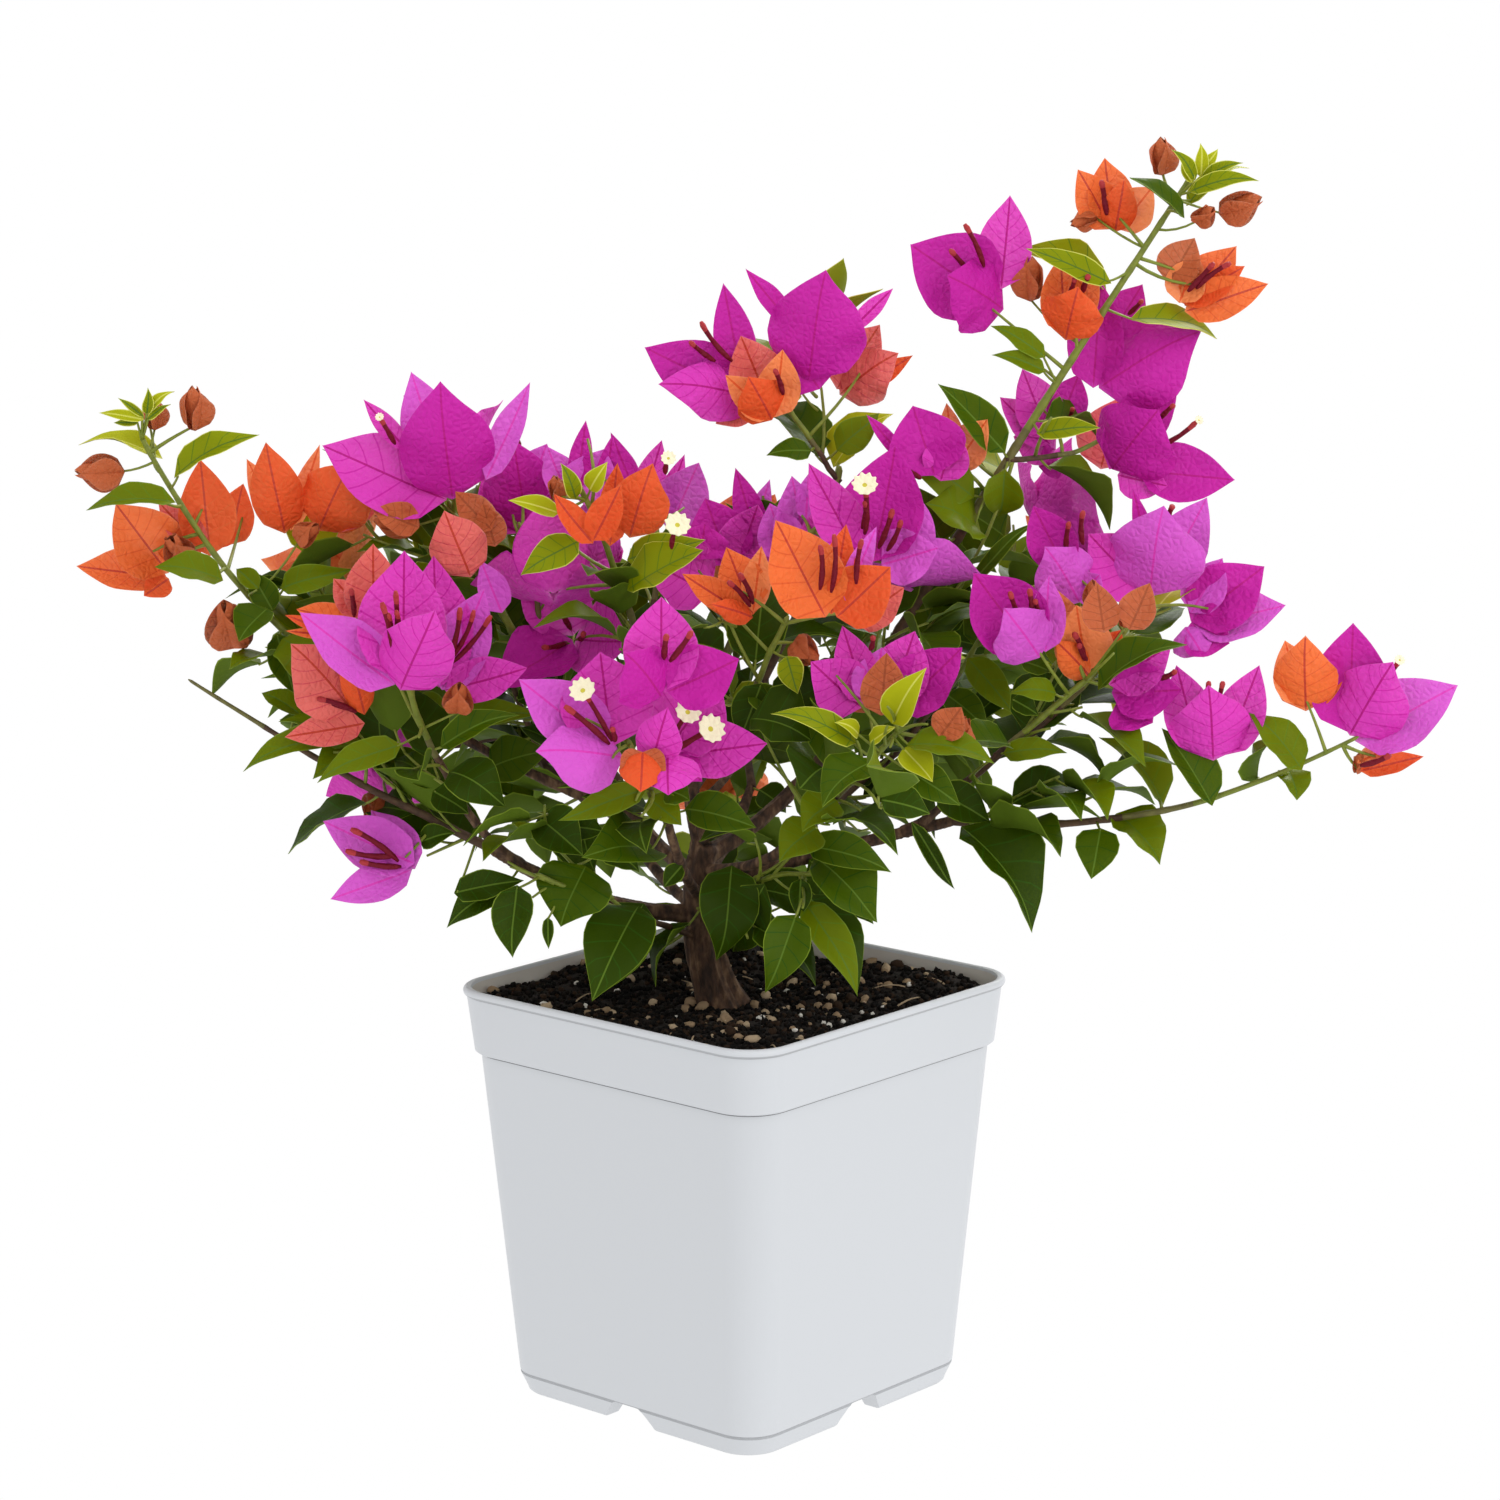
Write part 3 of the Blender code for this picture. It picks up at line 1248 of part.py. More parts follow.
def build_pot(parts, cutters):
    """The pot, with four corner feet round a hub under the middle of its floor."""
    pot = pot_wall(parts)
    for cutter in (foot_recess(cutters), foot_notch(0, cutters), foot_notch(1, cutters)):
        as_guide(cutter)
        boolean(pot, "DIFFERENCE", cutter=cutter)
        applied(pot)
    height = (SEAM_HEIGHT + FLOOR_THICKNESS / 2) * MM
    bpy.ops.mesh.primitive_cylinder_add(
        vertices=16, radius=HUB_RADIUS * MM, depth=height, location=(0, 0, height / 2)
    )
    hub = bpy.context.object
    hub.name = "foot_hub"
    move_to(hub, cutters)
    as_guide(hub)
    boolean(pot, "UNION", cutter=hub)
    applied(pot)
    pot.data.materials.clear()
    pot.data.materials.append(material("pot_plastic", (0.63, 0.66, 0.69), 0.42))
    return pot


def soil_height(spot):
    """How high the soil lies at a place, in mm: mounds that level out round the trunk."""
    bumps = noise.noise(Vector((spot.x, spot.y, 0.3)) / (MOUND_SIZE * MM))
    foot = place(*TRUNK_FOOT)
    apart = math.hypot(spot.x - foot.x, spot.y - foot.y) / MM
    rise = min(1.0, max(0.0, (apart - TRUNK_CLEARING) / TRUNK_CLEARING))
    return SOIL_LEVEL + SOIL_MOUND * bumps * rise


def build_soil(parts):
    """The soil: what fills the pot, with an uneven top."""
    floor = SEAM_HEIGHT + FLOOR_THICKNESS + GAP
    corner = CORNER_RADIUS - WALL
    neck = POT_HEIGHT - COLLAR_DEPTH - WALL
    rings = [rounded_square(inner_half(z) - GAP, corner, z) for z in (floor, neck)]
    edge = rounded_square(inner_half(neck) - GAP, corner, SOIL_LEVEL)
    middle = place(*TRUNK_FOOT)
    for share in SOIL_RINGS:
        ring = [middle.lerp(point, share) for point in edge]
        rings.append([Vector((spot.x, spot.y, soil_height(spot) * MM)) for spot in ring])
    bm = bmesh.new()
    loft(bm, rings)
    soil = mesh_object("soil", bm, parts)
    soil.data.materials.append(material("soil", (0.03, 0.02, 0.014), 0.95))
    return soil


def build_trunk(limb, section, parts, look):
    """The trunk, flared into root lobes, and cut flat where it meets the ground."""
    below = 0.08
    shares = [-below + (1 + below) * i / TRUNK_STEPS for i in range(TRUNK_STEPS + 1)]
    tube = Tube([limb.at(s) for s in shares], [limb.radius(max(s, 0.0)) for s in shares])
    trunk = limb_object("trunk", tube, section, parts)
    bm = bmesh.new()
    bm.from_mesh(trunk.data)
    for vert in bm.verts:
        height = max(vert.co.z / MM - GROUND, 0.0)
        centre = limb.at(limb.nearest(vert.co, 1.0))
        out = Vector((vert.co.x - centre.x, vert.co.y - centre.y, 0))
        lobe = 0.75 + 0.25 * math.cos(FLARE_LOBES * math.atan2(out.y, out.x))
        vert.co += out.normalized() * (FLARE * lobe * math.exp(-height / FLARE_HEIGHT) * MM)
    whole = bm.verts[:] + bm.edges[:] + bm.faces[:]
    ground = UP * (GROUND * MM)
    cut = bmesh.ops.bisect_plane(bm, geom=whole, plane_co=ground, plane_no=-UP, clear_outer=True)
    rim = [edge for edge in cut["geom_cut"] if isinstance(edge, bmesh.types.BMEdge)]
    bmesh.ops.edgeloop_fill(bm, edges=rim)
    bmesh.ops.recalc_face_normals(bm, faces=bm.faces)
    bm.to_mesh(trunk.data)
    bm.free()
    trunk.data.materials.append(look)
    return trunk


def build():
    clear_scene()
    parts = collection("bougainvillea_bonsai")
    cutters = collection("cutters")
    twig_section = section_guide(3, cutters)
    bough_section = section_guide(6, cutters)
    trunk_section = section_guide(10, cutters)
    bark = material("bark", (0.12, 0.07, 0.045), 0.85)
    leafage = material("foliage", (0.07, 0.16, 0.02), 0.5)
    build_pot(parts, cutters)
    build_soil(parts)
    limbs, masses = grow_plant()
    build_trunk(limbs["trunk"], trunk_section, parts, bark)
    for plan in BOUGHS:
        bough = limb_object(plan.node, limbs[plan.name].tube(), bough_section, parts)
        if plan.along < 1.0:
            cut_clear(bough, limbs[plan.parent], trunk_section, cutters)
        bough.data.materials.append(bark)
    off_trunk = [plan.node for plan in STEMS if plan.parent == "trunk"]
    for mass in masses.values():
        stem = limb_object(mass.node, mass.stems[0].tube(), twig_section, parts)
        if mass.node in off_trunk:
            cut_clear(stem, limbs["trunk"], trunk_section, cutters)
        fuse_mass(mass, stem, twig_section, leafage)
    return masses


if __name__ == "__main__":
    build()
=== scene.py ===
"""Looks of a bougainvillea bonsai in a square tapered pot, laid out as an add-on and run as a script.

The plant grows here by the same rule as its solids, is carried to finer twigs and leaves,
and every leaf, bract and flower is then drawn in its own outline.
"""

import json
import math
import random
from collections import namedtuple
from functools import lru_cache

import bmesh
import bpy
import numpy as np
from bpy.props import FloatProperty, FloatVectorProperty, IntProperty, PointerProperty
from mathutils import Matrix, Vector, kdtree, noise
from mathutils.bvhtree import BVHTree

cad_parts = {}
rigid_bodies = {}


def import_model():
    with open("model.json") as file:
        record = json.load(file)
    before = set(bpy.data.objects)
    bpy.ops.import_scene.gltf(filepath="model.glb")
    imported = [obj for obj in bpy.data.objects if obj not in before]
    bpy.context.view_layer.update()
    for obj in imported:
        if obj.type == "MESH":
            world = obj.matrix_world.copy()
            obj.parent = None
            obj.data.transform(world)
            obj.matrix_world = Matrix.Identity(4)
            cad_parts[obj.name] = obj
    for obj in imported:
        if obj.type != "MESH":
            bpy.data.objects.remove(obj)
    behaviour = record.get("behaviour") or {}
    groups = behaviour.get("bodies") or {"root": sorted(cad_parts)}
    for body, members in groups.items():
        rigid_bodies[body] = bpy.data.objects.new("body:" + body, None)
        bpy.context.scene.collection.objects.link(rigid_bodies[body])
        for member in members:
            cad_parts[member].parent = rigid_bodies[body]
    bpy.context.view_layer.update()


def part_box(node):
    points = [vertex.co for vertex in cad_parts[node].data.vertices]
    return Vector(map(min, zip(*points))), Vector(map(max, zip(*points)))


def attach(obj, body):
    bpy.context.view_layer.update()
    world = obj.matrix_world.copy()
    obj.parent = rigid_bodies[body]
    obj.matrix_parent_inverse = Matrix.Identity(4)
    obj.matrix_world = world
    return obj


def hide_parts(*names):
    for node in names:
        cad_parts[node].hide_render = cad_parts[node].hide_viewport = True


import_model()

bl_info = {
    "name": "Bougainvillea Bonsai",
    "version": (1, 0, 0),
    "blender": (4, 5, 0),
    "location": "View3D > Sidebar > Bonsai",
    "description": "Dresses the solids of a flowering bonsai with bark, leaves, blooms, pot and soil",
    "category": "Object",
}

MM = 0.001
SEED = 27
UP = Vector((0, 0, 1))

# Pot, in mm, as the solids have it
POT_TURN = 48.8  # degrees
POT_HEIGHT = round(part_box("pot")[1].z / MM, 1)
RIM_HALF = 75.0
CORNER_RADIUS = 16.5
FOOT_CORNER_RADIUS = 14.4
COLLAR_DEPTH = 24.4
COLLAR_FOOT_HALF = 72.0
WALL_TOP_HALF = 70.3
SEAM_HEIGHT = 7.8
SEAM_HALF = 60.8
FOOT_HALF = 58.7
WALL = 1.7
LIP_HEIGHT = 3.0
LIP_PROUD = 0.8
LIP_WIDTH = 2.6
FLOOR_THICKNESS = 2.0
FOOT_WIDTH = 7.4
NOTCH_FOOT = 25.0
NOTCH_TOP = 14.0
HUB_RADIUS = 15.0

# Soil and trunk, in mm
SOIL_LEVEL = 144.3
SOIL_MOUND = 3.2
MOUND_SIZE = 26.0
TRUNK_CLEARING = 13.0
GROUND = 144.6
TRUNK_FOOT = (-4, GROUND, 4)
TRUNK_TOP = (-11, 204, 1)
TRUNK_BOW = (-5, 0, 0)
TRUNK_RADIUS_FOOT = 7.4
TRUNK_RADIUS_TOP = 4.9
FLARE = 2.6
FLARE_HEIGHT = 7.0
FLARE_LOBES = 5
GAP = 0.3

# How leaves, twigs and blooms grow, in mm
LEAF_THICKNESS = 0.9
BRACT_WIDTH = 0.86  # of a bract's length
BUD_WIDTH = 0.62  # of a bud's length
BUD_DEPTH = 0.5
WIDEST_SPREAD = 1.25
WIDEST = 0.42
LEAF_CUP = 0.22
TURNS = (0.0, 0.9, -0.9, 1.8, -1.8)
ROOT_SUNK = 0.25
LEAF_NECK = 0.2
LOWEST_LEAF = 159.0
LEAF_PITCH = 17.5
LEAF_STALKS = (1.0, 15.0)
LEAF_LENGTH = 36.0
LEAF_BREADTH = (0.52, 0.62)  # of its length
LEAF_TILT = 0.35
TWIG_PITCH = 62.0
TWIG_LENGTH = 42.0
TWIG_LEAVES = 3
LAST_TWIG_LEAF = 0.95  # of the twig's length
TWIG_LEAF_STEP = 0.27
# Which way leaves and twigs grow: square to their limb, onwards along it, away from the crown's heart
LEAF_OUT, LEAF_ONWARD, LEAF_AWAY = 0.8, 0.4, 0.45
TWIG_OUT, TWIG_ONWARD, TWIG_AWAY = 0.8, 0.5, 0.5
LEAF_HANG = 0.75  # how far an old leaf hangs
LEAF_RISE = 0.3
STALK_RADIUS = 0.75
STALK_OUT = 0.08
STAR_MIDDLE = 0.04
STAR_HALF_DEPTH = 0.07
FOOT_BEHIND = 0.42  # of a bract's length, from a bloom's middle back to its foot
STAR_WIDEST = 0.52  # of a bract's length, from the bloom's foot
STAR_CUP = 0.12
CLEFT_OUT = 0.14  # where two bracts part: out from the bloom's axis and up it
CLEFT_UP = 0.08
STALK_FOOT = 0.4
TWIG_RADII = (0.45, 0.7)
STALK_NECK = 0.2
STALK_ASIDE = math.radians(26)
STEM_STEP = 22.0
NEAREST_STEPS = 24  # how finely a limb is searched for its nearest point
# How far back along its stem a stalk may start, as a share of the distance from stem to bloom
STALK_BACKS = (0.5, 0.25, 0.0, 0.8)
BREATHING = 0.4
DEPTH_STEPS = (0, 4, -4, 8, -8, 12, -12, 16, -16, 20, 26)
GOLDEN_ANGLE = math.radians(137.5)
SPACE_ROOM = 6000  # pieces that the space can hold
CROWN_HEART = Vector((0, 20, 235)) * MM

# The photograph's view
EYE = Vector((6, -1472, 530)) * MM
CAMERA_AT = Vector((5.745, -1472.3, 529.6)) * MM
CAMERA_AIM = Vector((5.745, 0.0, 239.6)) * MM
CAMERA_ROLL = -0.2236  # degrees
CAMERA_LENS = 99.81


def place(across, up, depth):
    """The point seen `across` and `up` on the upright plane through the pot's axis, `depth` behind it."""
    on_plane = Vector((across, 0, up)) * MM
    return EYE + (on_plane - EYE) * ((depth * MM - EYE.y) / -EYE.y)


def shift(across, up, depth):
    """A step in mm, given across, up and in depth."""
    return Vector((across, depth, up)) * MM


# Each limb grows from its parent, at a share of the parent's length, to its end.
# Limbs named after a mass are the stems of that mass; the others are boughs.
Plan = namedtuple("Plan", "name node parent along end bow foot tip")


def bough_plan(name, *rest):
    return Plan(name, "bough_" + name, *rest)


def stem_plan(name, *rest):
    """A stem is named after its mass, with `s_` before, and a number after where it isn't the first."""
    return Plan(name, "foliage_" + name[2:].rstrip("_23"), *rest)


def by_mass(kind, table):
    """A table of rows for each mass of foliage, with each row made one of its kind."""
    return {"foliage_" + mass: [kind(*row) for row in rows] for mass, rows in table.items()}


BOUGHS = (
    bough_plan("left", "trunk", 0.58, (-87, 203, -19), (0, -6, 0), 3.0, 2.1),
    bough_plan("left_upper", "left", 0.88, (-97, 218, -30), (-1, -1, 0), 1.7, 1.5),
    bough_plan("back_left", "trunk", 0.80, (-42, 228, 28), (-3, -3, 4), 2.6, 2.0),
    bough_plan("upper_left", "back_left", 0.70, (-97, 244, 14), (0, -3, 5), 2.0, 1.7),
    bough_plan("leader", "trunk", 1.0, (-14, 240, 6), (-3, 0, 1), 3.4, 2.2),
    bough_plan("centre_left", "leader", 0.72, (-30, 253, -10), (0, -2, 0), 1.7, 1.5),
    bough_plan("centre_front", "leader", 0.40, (3, 244, -24), (2, -3, -2), 1.7, 1.4),
    bough_plan("top", "leader", 0.60, (11, 266, 26), (2, -3, 3), 2.0, 1.7),
    bough_plan("front_left", "trunk", 0.70, (-24, 212, -42), (0, -3, -4), 2.0, 1.6),
    bough_plan("front_right", "trunk", 0.86, (27, 212, -42), (3, -4, -5), 1.9, 1.6),
    bough_plan("right", "trunk", 0.73, (78, 213, -12), (0, 1, 0), 2.7, 1.9),
    bough_plan("right_upper", "right", 0.82, (81, 225, -17), (1, -1, 0), 1.6, 1.5),
    bough_plan("back_right", "trunk", 0.93, (29, 233, 20), (1, -3, 3), 2.9, 2.4),
    bough_plan("back", "trunk", 0.80, (6, 226, 56), (1, -4, 4), 2.3, 1.8),
    bough_plan("back_low_left", "trunk", 0.60, (-40, 212, 50), (0, -4, 3), 2.1, 1.7),
    bough_plan("back_low_right", "trunk", 0.66, (29, 214, 52), (0, -4, 3), 2.1, 1.7),
)

STEMS = (
    stem_plan("s_upper_left", "upper_left", 1.0, (-210, 353, 3), (-8, -14, 0), 1.6, 0.9),
    stem_plan("s_left_low", "left", 1.0, (-195, 265, 0), (3, -2, -8), 1.8, 0.6),
    stem_plan("s_left_front", "left_upper", 1.0, (-119, 269, -52), (-2, 0, 0), 1.4, 1.0),
    stem_plan("s_mid_left", "back_left", 1.0, (-101, 329, 8), (-5, 0, 0), 1.9, 1.1),
    stem_plan("s_mid_left_2", "s_mid_left", 0.4, (-76, 321, 14), (3, 0, 0), 1.2, 0.9),
    stem_plan("s_centre_left", "centre_left", 1.0, (-55, 336, -30), (4, 0, 0), 1.4, 1.0),
    stem_plan("s_centre_left_2", "s_centre_left", 0.25, (-28, 325, 12), (3, 0, 2), 1.2, 0.9),
    stem_plan("s_front", "front_left", 1.0, (-38, 243, -80), (0, 0, -3), 1.4, 1.0),
    stem_plan("s_front_right", "front_right", 1.0, (60, 247, -70), (-2, -2, -3), 1.4, 1.0),
    stem_plan("s_centre_front", "centre_front", 1.0, (19, 287, -44), (-2, 0, 0), 1.3, 1.0),
    stem_plan("s_centre_back", "leader", 1.0, (31, 321, 2), (-5, 6, 0), 2.0, 1.1),
    stem_plan("s_top", "top", 1.0, (38, 341, 26), (3, -2, 0), 1.6, 1.2),
    stem_plan("s_top_2", "s_top", 0.96, (19, 365, 20), (0, 0, 0), 1.1, 0.9),
    stem_plan("s_upper_right", "back_right", 1.0, (166, 451, 34), (0, 2, 0), 2.3, 0.9),
    stem_plan("s_upper_right_2", "s_upper_right", 0.5, (135, 354, 46), (2, -3, 0), 1.1, 0.8),
    stem_plan("s_right", "right_upper", 1.0, (128, 266, -30), (0, 0, 0), 1.4, 1.0),
    stem_plan("s_right_2", "s_right", 0.3, (146, 292, -2), (4, -4, 2), 1.2, 0.8),
    stem_plan("s_lower_right", "right", 1.0, (224, 243, -34), (0, -12, 0), 1.6, 0.7),
    stem_plan("s_low_left", "trunk", 0.42, (-71, 193, -40), (2, 0, -6), 1.2, 0.8),
    stem_plan("s_low_right", "trunk", 0.57, (28, 194, -38), (0, 4, 0), 1.2, 0.8),
    stem_plan("s_back", "back", 1.0, (-1, 288, 112), (0, 0, 8), 1.6, 1.0),
    stem_plan("s_back_left", "back_low_left", 1.0, (-131, 293, 118), (0, -6, 8), 1.5, 0.9),
    stem_plan("s_back_right", "back_low_right", 1.0, (110, 290, 126), (0, -6, 8), 1.5, 0.9),
    stem_plan("s_back_2", "s_back", 0.25, (-46, 286, 78), (-3, -6, 0), 1.2, 0.8),
    stem_plan("s_back_3", "s_back", 0.45, (51, 284, 122), (3, -6, 0), 1.2, 0.8),
    stem_plan("s_back_left_2", "s_back_left", 0.3, (-92, 326, 72), (-3, -4, 0), 1.2, 0.8),
    stem_plan("s_back_left_3", "s_back_left", 0.45, (-146, 243, 84), (0, -4, 0), 1.1, 0.8),
    stem_plan("s_back_right_2", "s_back_right", 0.3, (102, 308, 66), (3, -4, 0), 1.2, 0.8),
    stem_plan("s_back_right_3", "s_back_right", 0.4, (59, 266, 138), (0, -4, 0), 1.1, 0.8),
    stem_plan("s_back_low", "trunk", 0.50, (-6, 220, 118), (0, -8, 0), 1.9, 0.8),
)

# Blooms of three bracts: the colour, where the middle is seen, the bract's length in mm, the way the
# mouth faces (degrees round from the front and up), the turn about that way and how wide it opens
Bloom = namedtuple("Bloom", "colour at size around up turn opening")

BLOOMS = by_mass(Bloom, {
    "upper_left": (
        ("orange", (-213, 314, 4), 36, -40, 15, 0, 55), ("salmon", (-189, 330, 14), 34, 170, 35, 0, 50),
        ("orange", (-153, 334, 8), 38, 10, 72, 60, 42), ("orange", (-176, 326, 20), 26, 160, 40, 20, 40),
    ),
    "left_low": (
        ("magenta", (-124, 200, -30), 38, -60, 20, 0, 58), ("magenta", (-126, 231, 6), 30, 190, 10, 0, 50),
    ),
    "left_front": (
        ("magenta", (-122, 280, -56), 41, -10, 45, 0, 62), ("magenta", (-94, 280, -58), 39, 20, 52, 40, 62),
        ("salmon", (-145, 265, -38), 38, -65, 5, 10, 55), ("orange", (-134, 303, -26), 32, 185, 40, 0, 48),
    ),
    "mid_left": (
        ("magenta", (-102, 349, 2), 38, 180, 62, 0, 52), ("magenta", (-77, 336, 10), 38, 175, 55, 0, 48),
        ("salmon", (-97, 314, -16), 30, 180, 45, 0, 40), ("orange", (-86, 324, -4), 20, 200, 60, 0, 35),
    ),
    "centre_left": (
        ("orange", (-36, 330, -28), 24, 180, 72, 0, 38), ("orange", (-49, 325, -30), 21, -20, 70, 30, 40),
        ("magenta", (-52, 346, 12), 34, 0, 62, 0, 52), ("magenta", (-30, 342, 14), 36, 30, 58, 30, 55),
        ("magenta", (-15, 333, 22), 34, 175, 50, 0, 50), ("magenta", (-64, 305, 8), 36, 185, 35, 0, 52),
        ("magenta", (-60, 283, 10), 34, -20, 25, 20, 55),
    ),
    "front": (
        ("magenta", (-58, 253, -88), 38, -30, 32, 10, 64),
        ("magenta", (-47, 236, -94), 38, -5, 15, 150, 62), ("magenta", (-21, 239, -94), 40, 20, 28, 35, 64),
        ("magenta", (-25, 269, -80), 39, 5, 48, 0, 58), ("orange", (-33, 231, -98), 15, 0, 20, 0, 35),
    ),
    "centre_front": (
        ("orange", (1, 301, -46), 31, -5, 45, 0, 56), ("orange", (34, 297, -52), 45, 5, 42, 180, 56),
        ("salmon", (54, 292, -34), 28, 120, 40, 0, 48), ("magenta", (-15, 309, -22), 34, -30, 45, 0, 52),
    ),
    "centre_back": (
        ("magenta", (26, 331, 4), 36, 25, 58, 10, 52), ("magenta", (51, 329, -4), 40, 20, 48, 0, 58),
        ("magenta", (61, 309, 2), 32, 150, 30, 0, 50),
    ),
    "top": (
        ("magenta", (30, 388, 22), 37, 182, 62, 0, 52), ("magenta", (-5, 376, 16), 35, -20, 46, 0, 60),
        ("orange", (12, 369, 8), 28, -5, 62, 180, 46), ("salmon", (49, 380, 26), 28, 170, 56, 0, 46),
        ("salmon", (3, 362, 14), 24, 200, 30, 0, 45),
    ),
    "upper_right": (
        ("orange", (135, 436, 36), 29, -20, 62, 180, 48), ("magenta", (86, 404, 32), 37, -25, 50, 0, 58),
        ("orange", (119, 402, 28), 28, 0, 78, 60, 34), ("orange", (169, 407, 26), 34, 30, 34, 0, 58),
        ("orange", (158, 416, 36), 22, 180, 60, 0, 36), ("magenta", (145, 383, 52), 41, 165, 38, 0, 54),
        ("magenta", (148, 354, 50), 42, 70, 20, 0, 58), ("magenta", (109, 365, 56), 38, 200, 40, 0, 54),
        ("salmon", (133, 359, 60), 28, 150, 60, 0, 45), ("magenta", (67, 356, 32), 34, 190, 50, 0, 50),
        ("orange", (81, 354, 28), 28, 180, 62, 0, 42),
    ),
    "right": (
        ("magenta", (101, 292, -36), 37, -20, 46, 0, 60), ("orange", (124, 281, -42), 30, 5, 62, 180, 42),
        ("orange", (136, 282, -38), 20, 160, 60, 0, 38), ("magenta", (122, 306, -4), 34, -5, 62, 0, 54),
        ("magenta", (152, 311, 6), 42, 178, 48, 0, 52), ("magenta", (176, 292, 0), 38, 80, 10, 0, 56),
        ("magenta", (147, 263, -16), 32, 175, 0, 0, 50), ("magenta", (173, 251, -36), 35, 5, 76, 60, 36),
    ),
    "lower_right": (
        ("orange", (205, 265, -33), 26, 0, 78, 60, 34), ("magenta", (232, 261, -36), 42, 68, 34, 0, 56),
        ("orange", (237, 235, -36), 21, 80, -5, 0, 30),
    ),
    "front_right": (
        ("magenta", (35, 272, -58), 37, -15, 48, 0, 58), ("magenta", (64, 272, -56), 38, 20, 50, 0, 58),
        ("orange", (45, 262, -66), 20, -5, 66, 60, 26), ("orange", (56, 266, -68), 20, 5, 70, 0, 28),
        ("orange", (71, 255, -66), 18, 30, 66, 60, 28),
    ),
})

# Closed buds of young bracts: where each is seen, its length in mm and the way it points
Bud = namedtuple("Bud", "at size around up")

BUDS = by_mass(Bud, {
    "upper_left": (
        ((-206, 362, 4), 13, 0, 82), ((-191, 364, 0), 17, 8, 78), ((-226, 341, 2), 18, -84, 0),
        ((-199, 314, 0), 15, -10, 40), ((-152, 319, 2), 12, 60, 40), ((-181, 286, -2), 22, -10, 60),
    ),
    "left_low": (
        ((-131, 219, -8), 12, 0, -40),
    ),
    "left_front": (
        ((-99, 259, -50), 14, 10, 60),
    ),
    "mid_left": (
        ((-120, 323, -2), 17, -80, 10),
    ),
    "centre_left": (
        ((-63, 335, -26), 10, -10, 70),
    ),
    "centre_front": (
        ((26, 274, -46), 14, 40, -30),
    ),
    "upper_right": (
        ((152, 451, 34), 15, -10, 70), ((179, 434, 34), 17, 72, 20), ((166, 431, 28), 11, 40, 30),
        ((124, 429, 38), 11, -70, -10), ((106, 408, 30), 17, -5, 80),
    ),
    "right": (
        ((130, 294, -40), 11, -20, 80), ((141, 289, -38), 11, 20, 80), ((141, 262, -22), 13, -70, 10),
    ),
    "lower_right": (
        ((226, 234, -32), 9, -10, 60),
    ),
    "front_right": (
        ((81, 245, -66), 15, 50, 60),
    ),
})

# Leaves that make the outline of the shoots: where root and tip are seen, and the width in mm
Leaf = namedtuple("Leaf", "root tip width")

